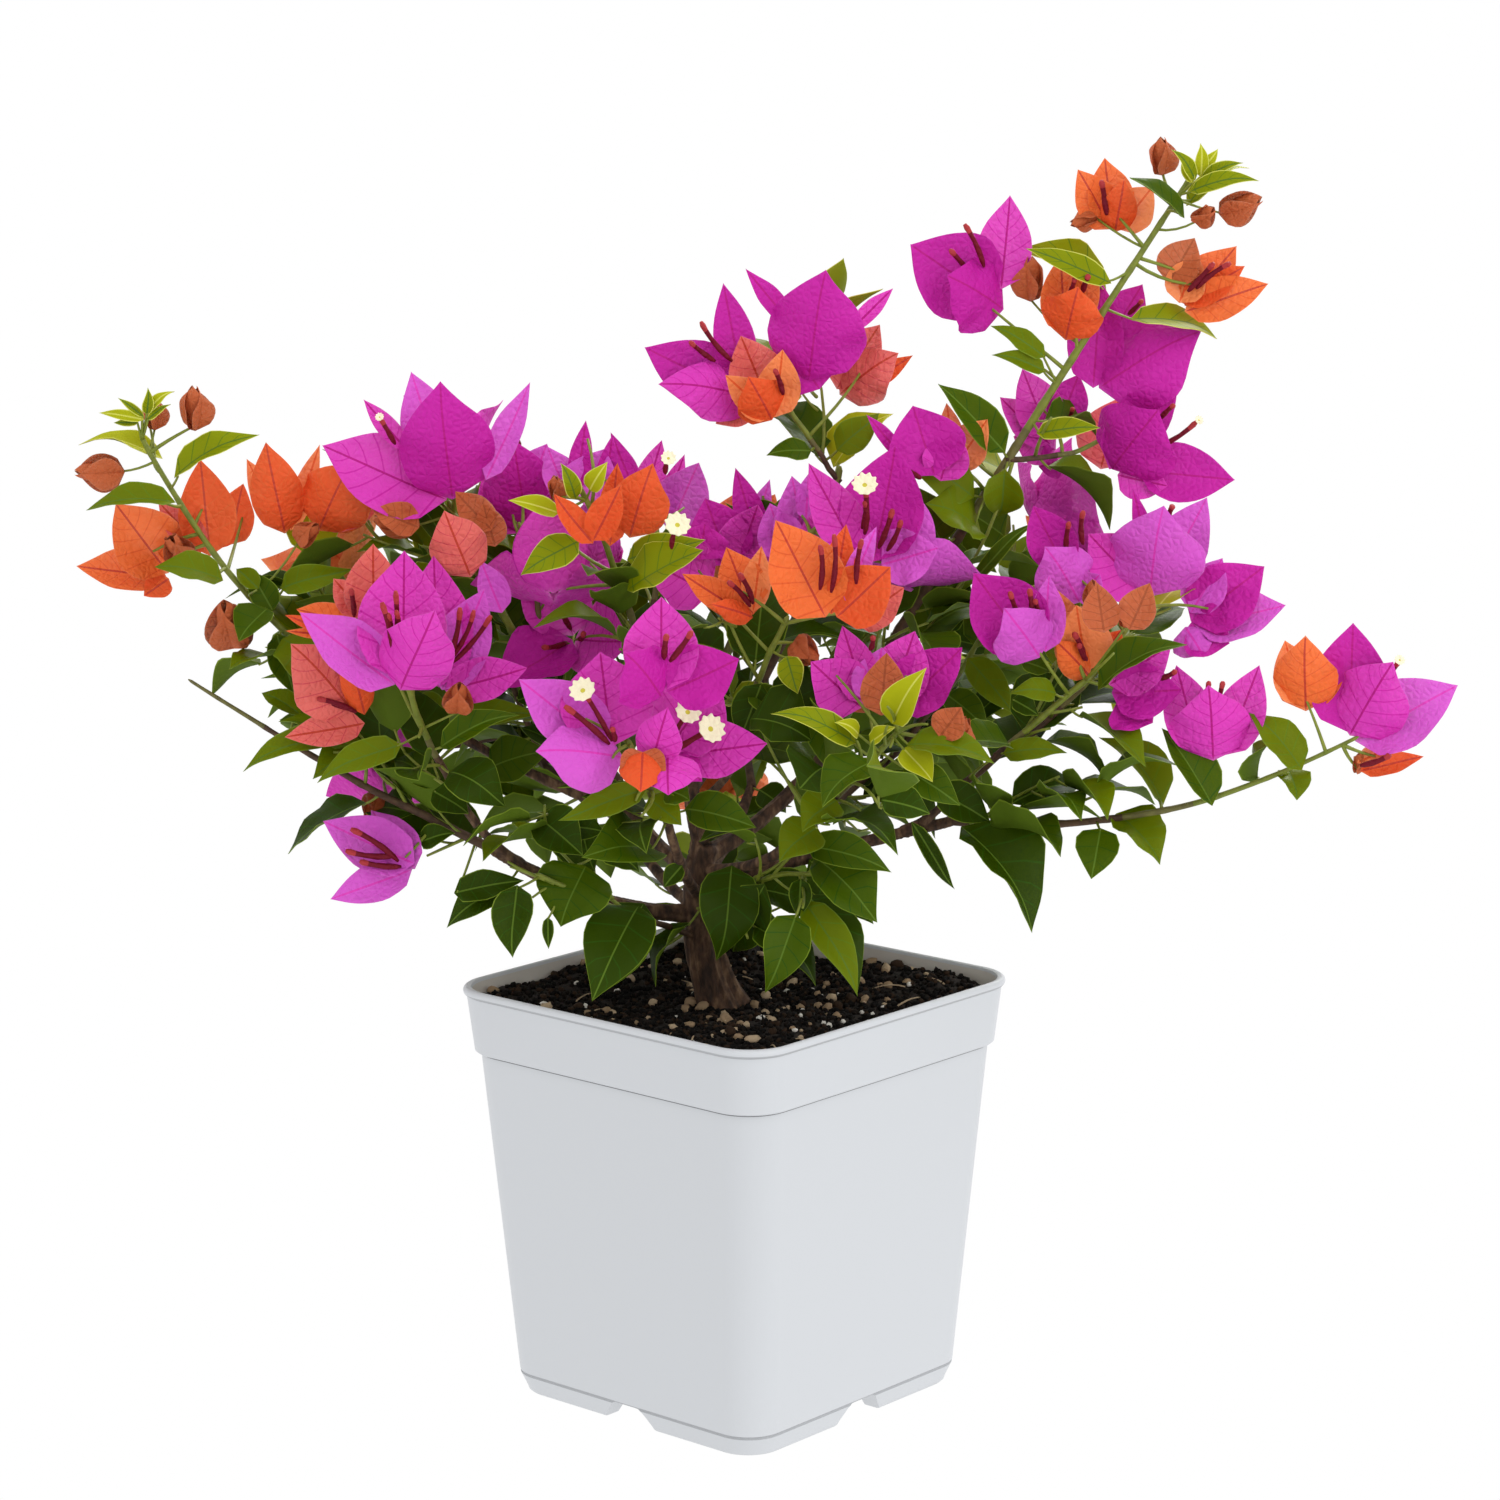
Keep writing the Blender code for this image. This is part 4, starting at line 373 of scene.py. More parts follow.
OUTLINE_LEAVES = by_mass(Leaf, {
    "upper_left": (
        ((-204, 345, 2), (-233, 354, 2), 11), ((-199, 339, -2), (-170, 356, -6), 12),
        ((-197, 332, 2), (-229, 330, 0), 12), ((-207, 357, 4), (-219, 363, 4), 8),
        ((-181, 304, -4), (-205, 310, -8), 14), ((-174, 299, 4), (-139, 306, -4), 20),
        ((-167, 292, -4), (-178, 281, -14), 15), ((-162, 281, -4), (-140, 262, -16), 24),
    ),
    "left_low": (
        ((-143, 246, -14), (-176, 235, -22), 18), ((-130, 239, -18), (-152, 232, -34), 19),
        ((-156, 253, -8), (-170, 262, -4), 9),
    ),
    "left_front": (
        ((-103, 232, -46), (-83, 220, -56), 19), ((-111, 246, -50), (-130, 242, -60), 18),
    ),
    "centre_left": (
        ((-47, 314, -34), (-77, 304, -44), 19), ((-43, 307, -34), (-15, 319, -40), 21),
        ((-51, 325, -34), (-79, 331, -30), 13), ((-38, 298, -34), (-11, 313, -40), 20),
    ),
    "front": (
        ((-32, 222, -70), (-63, 214, -84), 21), ((-24, 219, -72), (-6, 208, -88), 19),
        ((-29, 203, -52), (-52, 203, -74), 24),
    ),
    "low_left": (
        ((-79, 201, -38), (-107, 182, -42), 17), ((-82, 199, -38), (-80, 173, -40), 18),
        ((-35, 182, -30), (-52, 148, -56), 24), ((-47, 188, -36), (-64, 175, -50), 29),
        ((-49, 189, -34), (-83, 164, -44), 20), ((-1, 198, -28), (-5, 161, -40), 22),
    ),
    "low_right": (
        ((29, 199, -40), (52, 176, -52), 24), ((26, 186, -20), (46, 150, -42), 17),
        ((4, 191, -12), (15, 170, -14), 20),
    ),
    "front_right": (
        ((33, 232, -54), (28, 259, -58), 30), ((6, 251, -44), (28, 244, -50), 26),
        ((2, 241, -38), (31, 234, -44), 22), ((32, 233, -66), (24, 226, -72), 24),
        ((45, 251, -70), (15, 256, -78), 14), ((53, 256, -72), (69, 270, -80), 15),
        ((50, 236, -70), (31, 221, -86), 18), ((54, 243, -72), (72, 228, -84), 16),
        ((62, 242, -70), (94, 236, -76), 15),
    ),
    "right": (
        ((111, 250, -30), (119, 238, -46), 18), ((99, 242, -26), (79, 243, -40), 16),
        ((118, 258, -32), (96, 268, -36), 20), ((131, 261, -36), (162, 279, -40), 14),
    ),
    "lower_right": (
        ((82, 211, -22), (109, 172, -40), 27), ((132, 212, -22), (129, 194, -34), 15),
        ((139, 214, -22), (156, 196, -36), 19), ((156, 217, -24), (133, 243, -18), 17),
        ((172, 220, -26), (154, 249, -22), 16), ((201, 230, -32), (205, 219, -42), 12),
        ((190, 225, -30), (194, 242, -36), 17), ((204, 233, -30), (186, 255, -26), 16),
    ),
    "top": (
        ((24, 349, 24), (12, 347, 24), 9), ((36, 341, 26), (56, 362, 30), 17),
    ),
    "upper_right": (
        ((159, 430, 28), (140, 445, 24), 13), ((160, 434, 38), (180, 451, 46), 9),
        ((134, 402, 32), (104, 420, 24), 18), ((140, 395, 38), (172, 390, 48), 13),
        ((111, 376, 36), (89, 393, 30), 13), ((102, 349, 36), (73, 372, 30), 25),
        ((111, 359, 40), (130, 354, 52), 14), ((99, 338, 30), (61, 349, 20), 25),
        ((88, 320, 28), (70, 331, 18), 26), ((80, 309, 32), (106, 328, 40), 24),
        ((65, 280, 26), (90, 294, 36), 26),
    ),
})

# Masses behind, whose blooms a rule deals out along their stems and at their twigs' ends: how many
HIDDEN_BLOOMS = {
    "foliage_back": 4,
    "foliage_back_left": 4,
    "foliage_back_right": 4,
    "foliage_back_low": 2,
}

# Masses whose leaves stand further apart, by this factor
SPARSER = {
    "foliage_back": 1.5,
    "foliage_back_left": 1.5,
    "foliage_back_right": 1.5,
    "foliage_low_left": 0.6,
    "foliage_low_right": 0.6,
}

# How far up its stems the rule puts leaves on a mass whose shoots are open at the end
RULE_REACH = {
    "foliage_left_low": 0.6,
    "foliage_upper_left": 0.45,
    "foliage_upper_right": 0.35,
    "foliage_lower_right": 0.12,
    "foliage_top": 0.6,
}

# Round places that the crown leaves open, as seen from the front: across, up and radius, in mm
OPEN_SKY = (
    (-66, 365, 10), (-43, 371, 15), (-34, 360, 9), (-19, 358, 8), (-7, 350, 8), (4, 349, 6), (6, 398, 7),
    (36, 360, 4), (64, 394, 10), (66, 371, 6), (-185, 248, 12), (-166, 219, 15), (-146, 221, 6),
    (-138, 181, 7), (-125, 177, 11), (-93, 170, 6), (88, 174, 9), (108, 200, 5), (117, 189, 10),
    (134, 203, 5), (125, 245, 7), (136, 249, 5), (187, 277, 6), (184, 314, 8), (162, 332, 5), (170, 381, 8),
    (200, 387, 20), (240, 295, 19),
)

Tube = namedtuple("Tube", "points radii")
Blade = namedtuple("Blade", "anchor root tip normal width thickness cup")
Star = namedtuple("Star", "foot way first second size opening")


class Limb:
    """A trunk, bough, stem, twig or stalk: a bowed line that tapers from foot to tip."""

    def __init__(self, start, end, bow, foot, tip):
        self.start = start
        self.end = end
        self.bow = bow
        self.foot = foot * MM
        self.tip = tip * MM

    def at(self, share):
        return self.start.lerp(self.end, share) + self.bow * (4 * share * (1 - share))

    def way(self, share):
        return (self.end - self.start + self.bow * (4 - 8 * share)).normalized()

    def radius(self, share):
        return self.foot + (self.tip - self.foot) * share

    def length(self):
        return (self.end - self.start).length

    def nearest(self, point, last=0.97):
        """The share of the length at which the limb passes nearest to a point."""
        shares = [last * i / NEAREST_STEPS for i in range(NEAREST_STEPS + 1)]
        return min(shares, key=lambda share: (self.at(share) - point).length)

    def tube(self, steps=None):
        steps = steps or max(2, round(self.length() / (STEM_STEP * MM)))
        shares = [i / steps for i in range(steps + 1)]
        return Tube([self.at(s) for s in shares], [self.radius(s) for s in shares])


def facing(around, up):
    """The direction `around` degrees from the front towards the right, and `up` degrees above level."""
    around = math.radians(around)
    up = math.radians(up)
    return Vector((math.sin(around) * math.cos(up), -math.cos(around) * math.cos(up), math.sin(up)))


def square_to(way, turn=0.0):
    """Two directions square to a way: the first as near to straight up as can be, turned by `turn`."""
    first = UP - way * way.z
    if first.length < 0.05:
        first = Vector((0, 1, 0)) - way * way.y
    first.normalize()
    second = way.cross(first)
    return (
        first * math.cos(turn) + second * math.sin(turn),
        second * math.cos(turn) - first * math.sin(turn),
    )


def unit_ball(sides):
    """Corners and faces of a ball of two rings of triangles, which leaves and blooms are drawn from."""
    bm = bmesh.new()
    bmesh.ops.create_uvsphere(bm, u_segments=sides, v_segments=2, radius=1.0)
    corners = [v.co.copy() for v in bm.verts]
    faces = [[v.index for v in f.verts] for f in bm.faces]
    bm.free()
    return corners, faces


BLADE_SIDES = 4
STAR_SIDES = 12
UNIT_BALLS = {sides: unit_ball(sides) for sides in (BLADE_SIDES, STAR_SIDES)}


def star_shape(star, swell=0.0):
    """Corners and faces of a bloom: a ball of twelve sides drawn out into three pointed bracts."""
    corners, faces = UNIT_BALLS[STAR_SIDES]
    swell = swell * MM
    size = star.size * MM + swell
    half = star.size * MM * BRACT_WIDTH / 2 + swell
    opening = math.radians(star.opening)
    placed = []
    for corner in corners:
        if abs(corner.z) > 0.5:
            lift = STAR_MIDDLE + math.copysign(STAR_HALF_DEPTH, corner.z)
            placed.append(star.foot + star.way * (lift * size + math.copysign(swell, corner.z)))
            continue
        bract, role = divmod(round(math.degrees(math.atan2(corner.x, corner.y)) / 30) % 12 + 1, 4)
        middle = 2 * math.pi * bract / 3
        out = star.first * math.cos(middle) + star.second * math.sin(middle)
        side = star.second * math.cos(middle) - star.first * math.sin(middle)
        along = star.way * math.cos(opening) + out * math.sin(opening)
        inward = star.way * math.sin(opening) - out * math.cos(opening)
        if role == 1:
            placed.append(star.foot + along * size)
        elif role == 3:
            between = out * 0.5 + side * 0.866
            placed.append(star.foot + between * (CLEFT_OUT * size) + star.way * (CLEFT_UP * size))
        else:
            cup = STAR_CUP * math.sin(opening)
            reach = (STAR_WIDEST * math.sin(opening) - cup * math.cos(opening)) * size
            aside = (role - 1) * min(half, WIDEST_SPREAD * reach)
            placed.append(star.foot + along * (STAR_WIDEST * size) + side * aside + inward * (cup * size))
    return placed, faces


def blade_shape(blade, swell=0.0):
    """Corners and faces of a leaf or bud, cupped towards its normal, and grown by `swell` mm.

    Its hind corner reaches back to the anchor, which is where its stalk leaves the stem.
    """
    along = blade.tip - blade.root
    length = along.length
    along.normalize()
    normal = (blade.normal - along * blade.normal.dot(along)).normalized()
    side = along.cross(normal)
    swell = swell * MM
    half = blade.width * MM / 2 + swell
    thick = blade.thickness * MM / 2 + swell
    corners, faces = UNIT_BALLS[BLADE_SIDES]
    placed = []
    for corner in corners:
        share = WIDEST + corner.y * (1 - WIDEST if corner.y > 0 else WIDEST)
        height = corner.z * thick + blade.cup * half * corner.x * corner.x
        reach = share * length + corner.y * swell
        placed.append(blade.root + along * reach + side * (corner.x * half) + normal * height)
        if corner.y < -0.5:
            placed[-1] = blade.anchor - along * swell
    return placed, faces


def tube_shape(tube, swell=0.0):
    """Corners and faces of a three-sided tube, as a stand-in to test for room."""
    corners = []
    faces = []
    for i, point in enumerate(tube.points):
        before = tube.points[max(i - 1, 0)]
        after = tube.points[min(i + 1, len(tube.points) - 1)]
        first, second = square_to((after - before).normalized())
        radius = tube.radii[i] * 1.2 + swell * MM
        for k in range(3):
            angle = 2 * math.pi * k / 3
            corners.append(point + (first * math.cos(angle) + second * math.sin(angle)) * radius)
    for i in range(len(tube.points) - 1):
        for k in range(3):
            a = 3 * i + k
            b = 3 * i + (k + 1) % 3
            faces.append([a, b, b + 3, a + 3])
    last = len(corners) - 3
    faces.append([0, 1, 2])
    faces.append([last, last + 1, last + 2])
    return corners, faces


def bounds(corners):
    corners = np.array(corners)
    return corners.min(0), corners.max(0)


class Space:
    """What grows where, so that a new piece is only kept where it touches nothing."""

    def __init__(self):
        self.held = []
        self.lows = np.empty((SPACE_ROOM, 3))
        self.highs = np.empty((SPACE_ROOM, 3))

    def add(self, node, shape):
        number = len(self.held)
        self.lows[number], self.highs[number] = bounds(shape[0])
        self.held.append((node, BVHTree.FromPolygons(*shape)))

    def free(self, shape, kin=None):
        """True where the shape touches nothing, apart from the pieces of its kin's node."""
        low, high = bounds(shape[0])
        count = len(self.held)
        near = np.all((self.lows[:count] <= high) & (self.highs[:count] >= low), axis=1)
        if not near.any():
            return True
        tree = BVHTree.FromPolygons(*shape)
        for number in np.flatnonzero(near):
            node, other = self.held[number]
            if node != kin and tree.overlap(other):
                return False
        return True


class Mass:
    """One mass of foliage: its stems, and the twigs, leaves and blooms that the rule lets grow on them."""

    def __init__(self, node):
        self.node = node
        self.stems = []
        self.tubes = []
        self.blades = []
        self.stars = []
        self.colours = []
        self.twigs = []
        self.seen = []

    def take_tube(self, space, tube):
        self.tubes.append(tube)
        space.add(self.node, tube_shape(tube))

    def take_blade(self, space, blade):
        self.blades.append(blade)
        space.add(self.node, blade_shape(blade))

    def take_star(self, space, star):
        self.stars.append(star)
        space.add(self.node, star_shape(star))


def in_the_sky(points):
    """True where any of the points is seen, from the front, in a place that the crown leaves open."""
    for point in points:
        spot = EYE + (point - EYE) * (EYE.y / (EYE.y - point.y))
        for across, up, radius in OPEN_SKY:
            if math.hypot(spot.x / MM - across, spot.z / MM - up) < radius:
                return True
    return False


def blade_spots(blade):
    """Points all over a leaf: its middle, its tip, one between them and both its sides."""
    middle = blade.root.lerp(blade.tip, 0.5)
    along = (blade.tip - blade.root).normalized()
    side = along.cross(blade.normal).normalized() * (0.4 * blade.width * MM)
    return [middle, blade.tip, blade.root.lerp(blade.tip, 0.75), middle + side, middle - side]


def star_of(bloom, centre):
    """A bloom's star, its foot behind the middle that is seen."""
    way = facing(bloom.around, bloom.up)
    foot = centre - way * (FOOT_BEHIND * bloom.size * MM * math.cos(math.radians(bloom.opening)))
    first, second = square_to(way, math.radians(bloom.turn))
    return Star(foot, way, first, second, bloom.size, bloom.opening)


def stalk_starts(mass, foot):
    """Places on a mass's stems where a stalk to a foot can start, the likeliest first."""
    options = []
    for stem in mass.stems:
        nearest = stem.nearest(foot)
        reach = (stem.at(nearest) - foot).length
        for back in STALK_BACKS:
            share = max(0.04, nearest - back * reach / stem.length())
            start = stem.at(share)
            sunk = (start - foot).normalized() * (ROOT_SUNK * MM)
            options.append(((start - foot).length * (1.0 + 0.1 * abs(back - 0.5)), start + sunk))
    options.sort(key=lambda option: option[0])
    return [start for _, start in options]


def stalk_end(star, start):
    """Where a stalk from a start ends in a bloom: beside its middle, inside the nearest bract."""
    size = star.size * MM
    opening = math.radians(star.opening)
    middle = star.foot + star.way * (size * (STAR_MIDDLE + STALK_OUT * math.cos(opening)))
    ends = []
    for bract in range(3):
        for side in (-1, 1):
            angle = 2 * math.pi * bract / 3 + side * STALK_ASIDE
            out = star.first * math.cos(angle) + star.second * math.sin(angle)
            ends.append(middle + out * (size * STALK_OUT * math.sin(opening)))
    return min(ends, key=lambda end: (end - start).length)


def grow_bloom(space, mass, bloom, centre):
    """Adds a bloom and its stalk where they fit, moved in depth where they don't at first."""
    for kin in (None, mass.node):
        for step in DEPTH_STEPS:
            star = star_of(bloom, centre + Vector((0, step * MM, 0)))
            if not space.free(star_shape(star, BREATHING), kin):
                continue
            for start in stalk_starts(mass, star.foot):
                end = stalk_end(star, start)
                tube = stalk_tube(start, end)
                if stalk_fits(space, mass, tube, kin):
                    mass.take_star(space, star)
                    mass.colours.append(bloom.colour)
                    mass.take_tube(space, tube)
                    return True
    return False


def stalk_tube(start, end):
    return Tube([start, end], [STALK_FOOT * MM, STALK_RADIUS * MM])


def stalk_fits(space, mass, tube, kin):
    """True where a stalk keeps clear of other masses, and its free length of its kin's pieces too."""
    start, end = tube.points
    inner = Tube([start.lerp(end, STALK_NECK), start.lerp(end, 1 - STALK_NECK)], tube.radii)
    if not space.free(tube_shape(inner, BREATHING), kin):
        return False
    return space.free(tube_shape(tube, BREATHING), mass.node)


def grow_blade(space, mass, blade):
    """Adds a leaf or bud where it fits: it reaches back to a stem, or has a stalk where it can't."""
    along = (blade.tip - blade.root).normalized()
    for kin in (None, mass.node):
        for step in DEPTH_STEPS:
            moved = Vector((0, step * MM, 0))
            root = blade.root + moved
            there = blade._replace(anchor=root, root=root, tip=blade.tip + moved)
            if not space.free(blade_shape(there, BREATHING), kin):
                continue
            for start in stalk_starts(mass, root):
                tube = stalk_tube(start, root)
                if not stalk_fits(space, mass, tube, kin):
                    continue
                if (root - start).dot(along) > 0.5 * (root - start).length:
                    mass.take_blade(space, there._replace(anchor=start))
                    return
                mass.take_blade(space, there)
                mass.take_tube(space, tube._replace(points=[start, root.lerp(there.tip, 0.12)]))
                return


def grow_listed(space, mass):
    """The blooms, buds and outline leaves that are listed."""
    for bloom in BLOOMS.get(mass.node, ()):
        grow_bloom(space, mass, bloom, place(*bloom.at))
    for bud in BUDS.get(mass.node, ()):
        way = facing(bud.around, bud.up)
        half = way * (bud.size * MM / 2)
        middle = place(*bud.at)
        _, side = square_to(way)
        foot = middle - half
        blade = Blade(foot, foot, middle + half, side, bud.size * BUD_WIDTH, bud.size * BUD_DEPTH, 0.0)
        grow_blade(space, mass, blade)
    for leaf in OUTLINE_LEAVES.get(mass.node, ()):
        root = place(*leaf.root)
        tip = place(*leaf.tip)
        way = (tip - root).normalized()
        normal = square_to(way)[0] + facing(0, 20) * 0.8
        blade = Blade(root, root, tip, normal, leaf.width, LEAF_THICKNESS, LEAF_CUP)
        grow_blade(space, mass, blade)


def grow_leaf(space, mass, limb, share, angle, length, rng, age):
    """A leaf off a limb near an angle round it, where it has room."""
    tilt = rng.uniform(-LEAF_TILT, LEAF_TILT)
    width = length * rng.uniform(*LEAF_BREADTH)
    stalk = rng.uniform(*LEAF_STALKS) * age
    for turn in TURNS:
        blade = leaf_at(limb, share, angle + turn, length, width, stalk, tilt, age)
        if blade.tip.z < LOWEST_LEAF * MM or in_the_sky(blade_spots(blade)):
            continue
        outer = blade._replace(anchor=blade.anchor.lerp(blade.tip, LEAF_NECK))
        if not space.free(blade_shape(outer, BREATHING)):
            continue
        if space.free(blade_shape(blade, BREATHING), mass.node):
            mass.take_blade(space, blade)
            return


def leaf_at(limb, share, angle, length, width, stalk, tilt, age):
    """A leaf that stands off a limb at an angle round it, and hangs the more the older it is."""
    way = limb.way(share)
    first, second = square_to(way)
    out = first * math.cos(angle) + second * math.sin(angle)
    start = limb.at(share)
    away = (start - CROWN_HEART).normalized()
    hang = UP * (LEAF_HANG * age - LEAF_RISE)
    along = (out * LEAF_OUT + way * LEAF_ONWARD + away * LEAF_AWAY - hang).normalized()
    normal, side = square_to(along)
    normal = normal + away * 0.5 + side * tilt
    root = start + along * (stalk * MM)
    anchor = start - along * (ROOT_SUNK * MM)
    return Blade(anchor, root, root + along * (length * MM), normal, width, LEAF_THICKNESS, LEAF_CUP)


def grow_twig(space, mass, stem, share, angle, length):
    """A twig off a stem near an angle round it, where it has room."""
    way = stem.way(share)
    first, second = square_to(way)
    start = stem.at(share)
    away = (start - CROWN_HEART).normalized()
    for turn in TURNS:
        out = first * math.cos(angle + turn) + second * math.sin(angle + turn)
        along = (out * TWIG_OUT + way * TWIG_ONWARD + away * TWIG_AWAY).normalized()
        root = start - along * (ROOT_SUNK * MM)
        twig = Limb(root, start + along * (length * MM), Vector((0, 0, 0)), *TWIG_RADII)
        outer = Limb(twig.at(0.15), twig.end, twig.bow, *TWIG_RADII)
        if in_the_sky([twig.end, twig.at(0.6)]):
            continue
        if not space.free(tube_shape(outer.tube(1), BREATHING)):
            continue
        if not space.free(tube_shape(twig.tube(1), BREATHING), mass.node):
            continue
        mass.take_tube(space, twig.tube(1))
        return twig
    return None


def grow_by_rule(space, mass, rng):
    """Leaves at golden angles up every stem, and between them twigs with leaves of their own."""
    reach = RULE_REACH.get(mass.node, 1.0)
    thin = SPARSER.get(mass.node, 1.0)
    twigs = []
    for stem in mass.stems:
        count = max(1, round(stem.length() * reach / (TWIG_PITCH * MM)))
        for i in range(count):
            share = (i + 0.5) / count * reach
            angle = i * GOLDEN_ANGLE + rng.uniform(0, 0.8)
            length = TWIG_LENGTH * rng.uniform(0.7, 1.15)
            twig = grow_twig(space, mass, stem, share, angle, length)
            if twig:
                twigs.append(twig)
                mass.twigs.append(twig)
                for k in range(TWIG_LEAVES):
                    along = LAST_TWIG_LEAF - TWIG_LEAF_STEP * k
                    length = LEAF_LENGTH * rng.uniform(0.75, 1.0)
                    turn = angle + k * GOLDEN_ANGLE
                    grow_leaf(space, mass, twig, along, turn, length, rng, 0.6)
        count = max(2, round(stem.length() * reach / (LEAF_PITCH * thin * MM)))
        for i in range(count):
            share = (i + 0.6) / count * reach
            length = LEAF_LENGTH * rng.uniform(0.8, 1.1) * (1.1 - 0.35 * share)
            grow_leaf(space, mass, stem, share, i * GOLDEN_ANGLE, length, rng, 1.0 - share)
    return twigs


HIDDEN_SIZES = (34, 40)  # mm
HIDDEN_UP, HIDDEN_TURN, HIDDEN_OPENING = (20, 60), (0, 120), (48, 60)  # degrees


def grow_hidden_blooms(space, mass, twigs, count, rng):
    """Blooms dealt out over a mass that the front view hides, facing away from the crown's heart."""
    spots = [stem.at(1.0 - 0.22 * i) for i in range(4) for stem in mass.stems]
    spots += [twig.end for twig in twigs]
    done = 0
    for number, spot in enumerate(spots):
        if done >= count:
            break
        away = (spot - CROWN_HEART).normalized()
        size = rng.uniform(*HIDDEN_SIZES)
        centre = spot + (away + UP * 0.5).normalized() * (0.6 * size * MM)
        aside = Vector((0.6 * size * MM, 0, 0))
        if in_the_sky([centre, centre + UP * aside.x, centre + aside, centre - aside]):
            continue
        around = math.degrees(math.atan2(away.x, -away.y))
        colour = "magenta" if number % 3 else "orange"
        up, turn, opening = (rng.uniform(*span) for span in (HIDDEN_UP, HIDDEN_TURN, HIDDEN_OPENING))
        bloom = Bloom(colour, None, size, around, up, turn, opening)
        if grow_bloom(space, mass, bloom, centre):
            done += 1


def plan_limbs():
    """Every limb from the plan, by name, and the node that each belongs to."""
    foot, top = place(*TRUNK_FOOT), place(*TRUNK_TOP)
    trunk = Limb(foot, top, shift(*TRUNK_BOW), TRUNK_RADIUS_FOOT, TRUNK_RADIUS_TOP)
    limbs = {"trunk": trunk}
    nodes = {"trunk": "trunk"}
    for plan in BOUGHS + STEMS:
        parent = limbs[plan.parent]
        limb = Limb(parent.at(plan.along), place(*plan.end), shift(*plan.bow), plan.foot, plan.tip)
        if plan.along == 1.0 and nodes[plan.parent] != plan.node:
            slant = limb.way(0.0).cross(parent.way(1.0)).length
            limb.start = limb.start + parent.way(1.0) * ((GAP + plan.foot * slant) * MM)
        limbs[plan.name] = limb
        nodes[plan.name] = plan.node
    return limbs, nodes


def pot_bounds():
    """The pot's rim down to the soil, as four walls and a floor, to keep leaves off it."""
    reach = RIM_HALF * math.sqrt(2) * MM
    corners = []
    for height in (SOIL_LEVEL, POT_HEIGHT):
        for k in range(4):
            angle = math.radians(POT_TURN + 45 + 90 * k)
            corners.append(Vector((reach * math.cos(angle), reach * math.sin(angle), height * MM)))
    walls = [[k, (k + 1) % 4, (k + 1) % 4 + 4, k + 4] for k in range(4)]
    return corners, walls + [[0, 1, 2, 3]]


def deselect_all():
    if bpy.context.mode != "OBJECT":
        bpy.ops.object.mode_set(mode="OBJECT")
    bpy.ops.object.select_all(action="DESELECT")


def pick(obj):
    """Selects one object alone, and makes it the active one."""
    deselect_all()
    obj.select_set(True)
    bpy.context.view_layer.objects.active = obj


def smooth(obj):
    for face in obj.data.polygons:
        face.use_smooth = True


def wear(obj, materials):
    """Gives an object these materials and no others."""
    obj.data.materials.clear()
    for material in materials:
        obj.data.materials.append(material)


def pick_faces(obj, test):
    """Selects, in edit mode, the faces whose middle and normal pass a test."""
    bpy.ops.object.mode_set(mode="EDIT")
    bpy.ops.mesh.select_mode(type="FACE")
    bpy.ops.mesh.select_all(action="DESELECT")
    bm = bmesh.from_edit_mesh(obj.data)
    for face in bm.faces:
        if test(face.calc_center_median(), face.normal):
            face.select_set(True)
    bmesh.update_edit_mesh(obj.data)


def settle(obj):
    """Applies an object's place, turn and scale to its mesh."""
    pick(obj)
    bpy.ops.object.transform_apply(location=True, rotation=True, scale=True)


def apply_modifiers(obj):
    pick(obj)
    for modifier in list(obj.modifiers):
        bpy.ops.object.modifier_apply(modifier=modifier.name)


def srgb(red, green, blue):
    """A linear colour from the 0 to 255 values that a screen shows."""
    shares = [channel / 255 for channel in (red, green, blue)]
    return tuple(s / 12.92 if s <= 0.04045 else ((s + 0.055) / 1.055) ** 2.4 for s in shares)


THIN_REACH = 0.0015
GRAIN_DEPTH = 0.0004
NET_DEPTH = 0.0016
NET_STRENGTH = 0.55
RELIEF_DEPTH = 0.0006
PATCH_EDGES = (0.32, 0.68)  # of a noise, where the first and the last colour are full


def new_material(name, roughness):
    """A material with its tree and its shader."""
    made = bpy.data.materials.new(name)
    made.use_nodes = True
    shader = made.node_tree.nodes["Principled BSDF"]
    shader.inputs["Roughness"].default_value = roughness
    return made, made.node_tree, shader


def add_node(tree, kind, **values):
    """A new node, with some of its inputs set."""
    node = tree.nodes.new("ShaderNode" + kind)
    for name, value in values.items():
        node.inputs[name].default_value = value
    return node


def add_relief(tree, shader, height, strength, depth, below=None):
    """Presses a pattern into the surface, on top of the relief below it if there is one."""
    bump = add_node(tree, "Bump", Strength=strength, Distance=depth)
    tree.links.new(height, bump.inputs["Height"])
    if below:
        tree.links.new(below.outputs["Normal"], bump.inputs["Normal"])
    tree.links.new(bump.outputs["Normal"], shader.inputs["Normal"])
    return bump


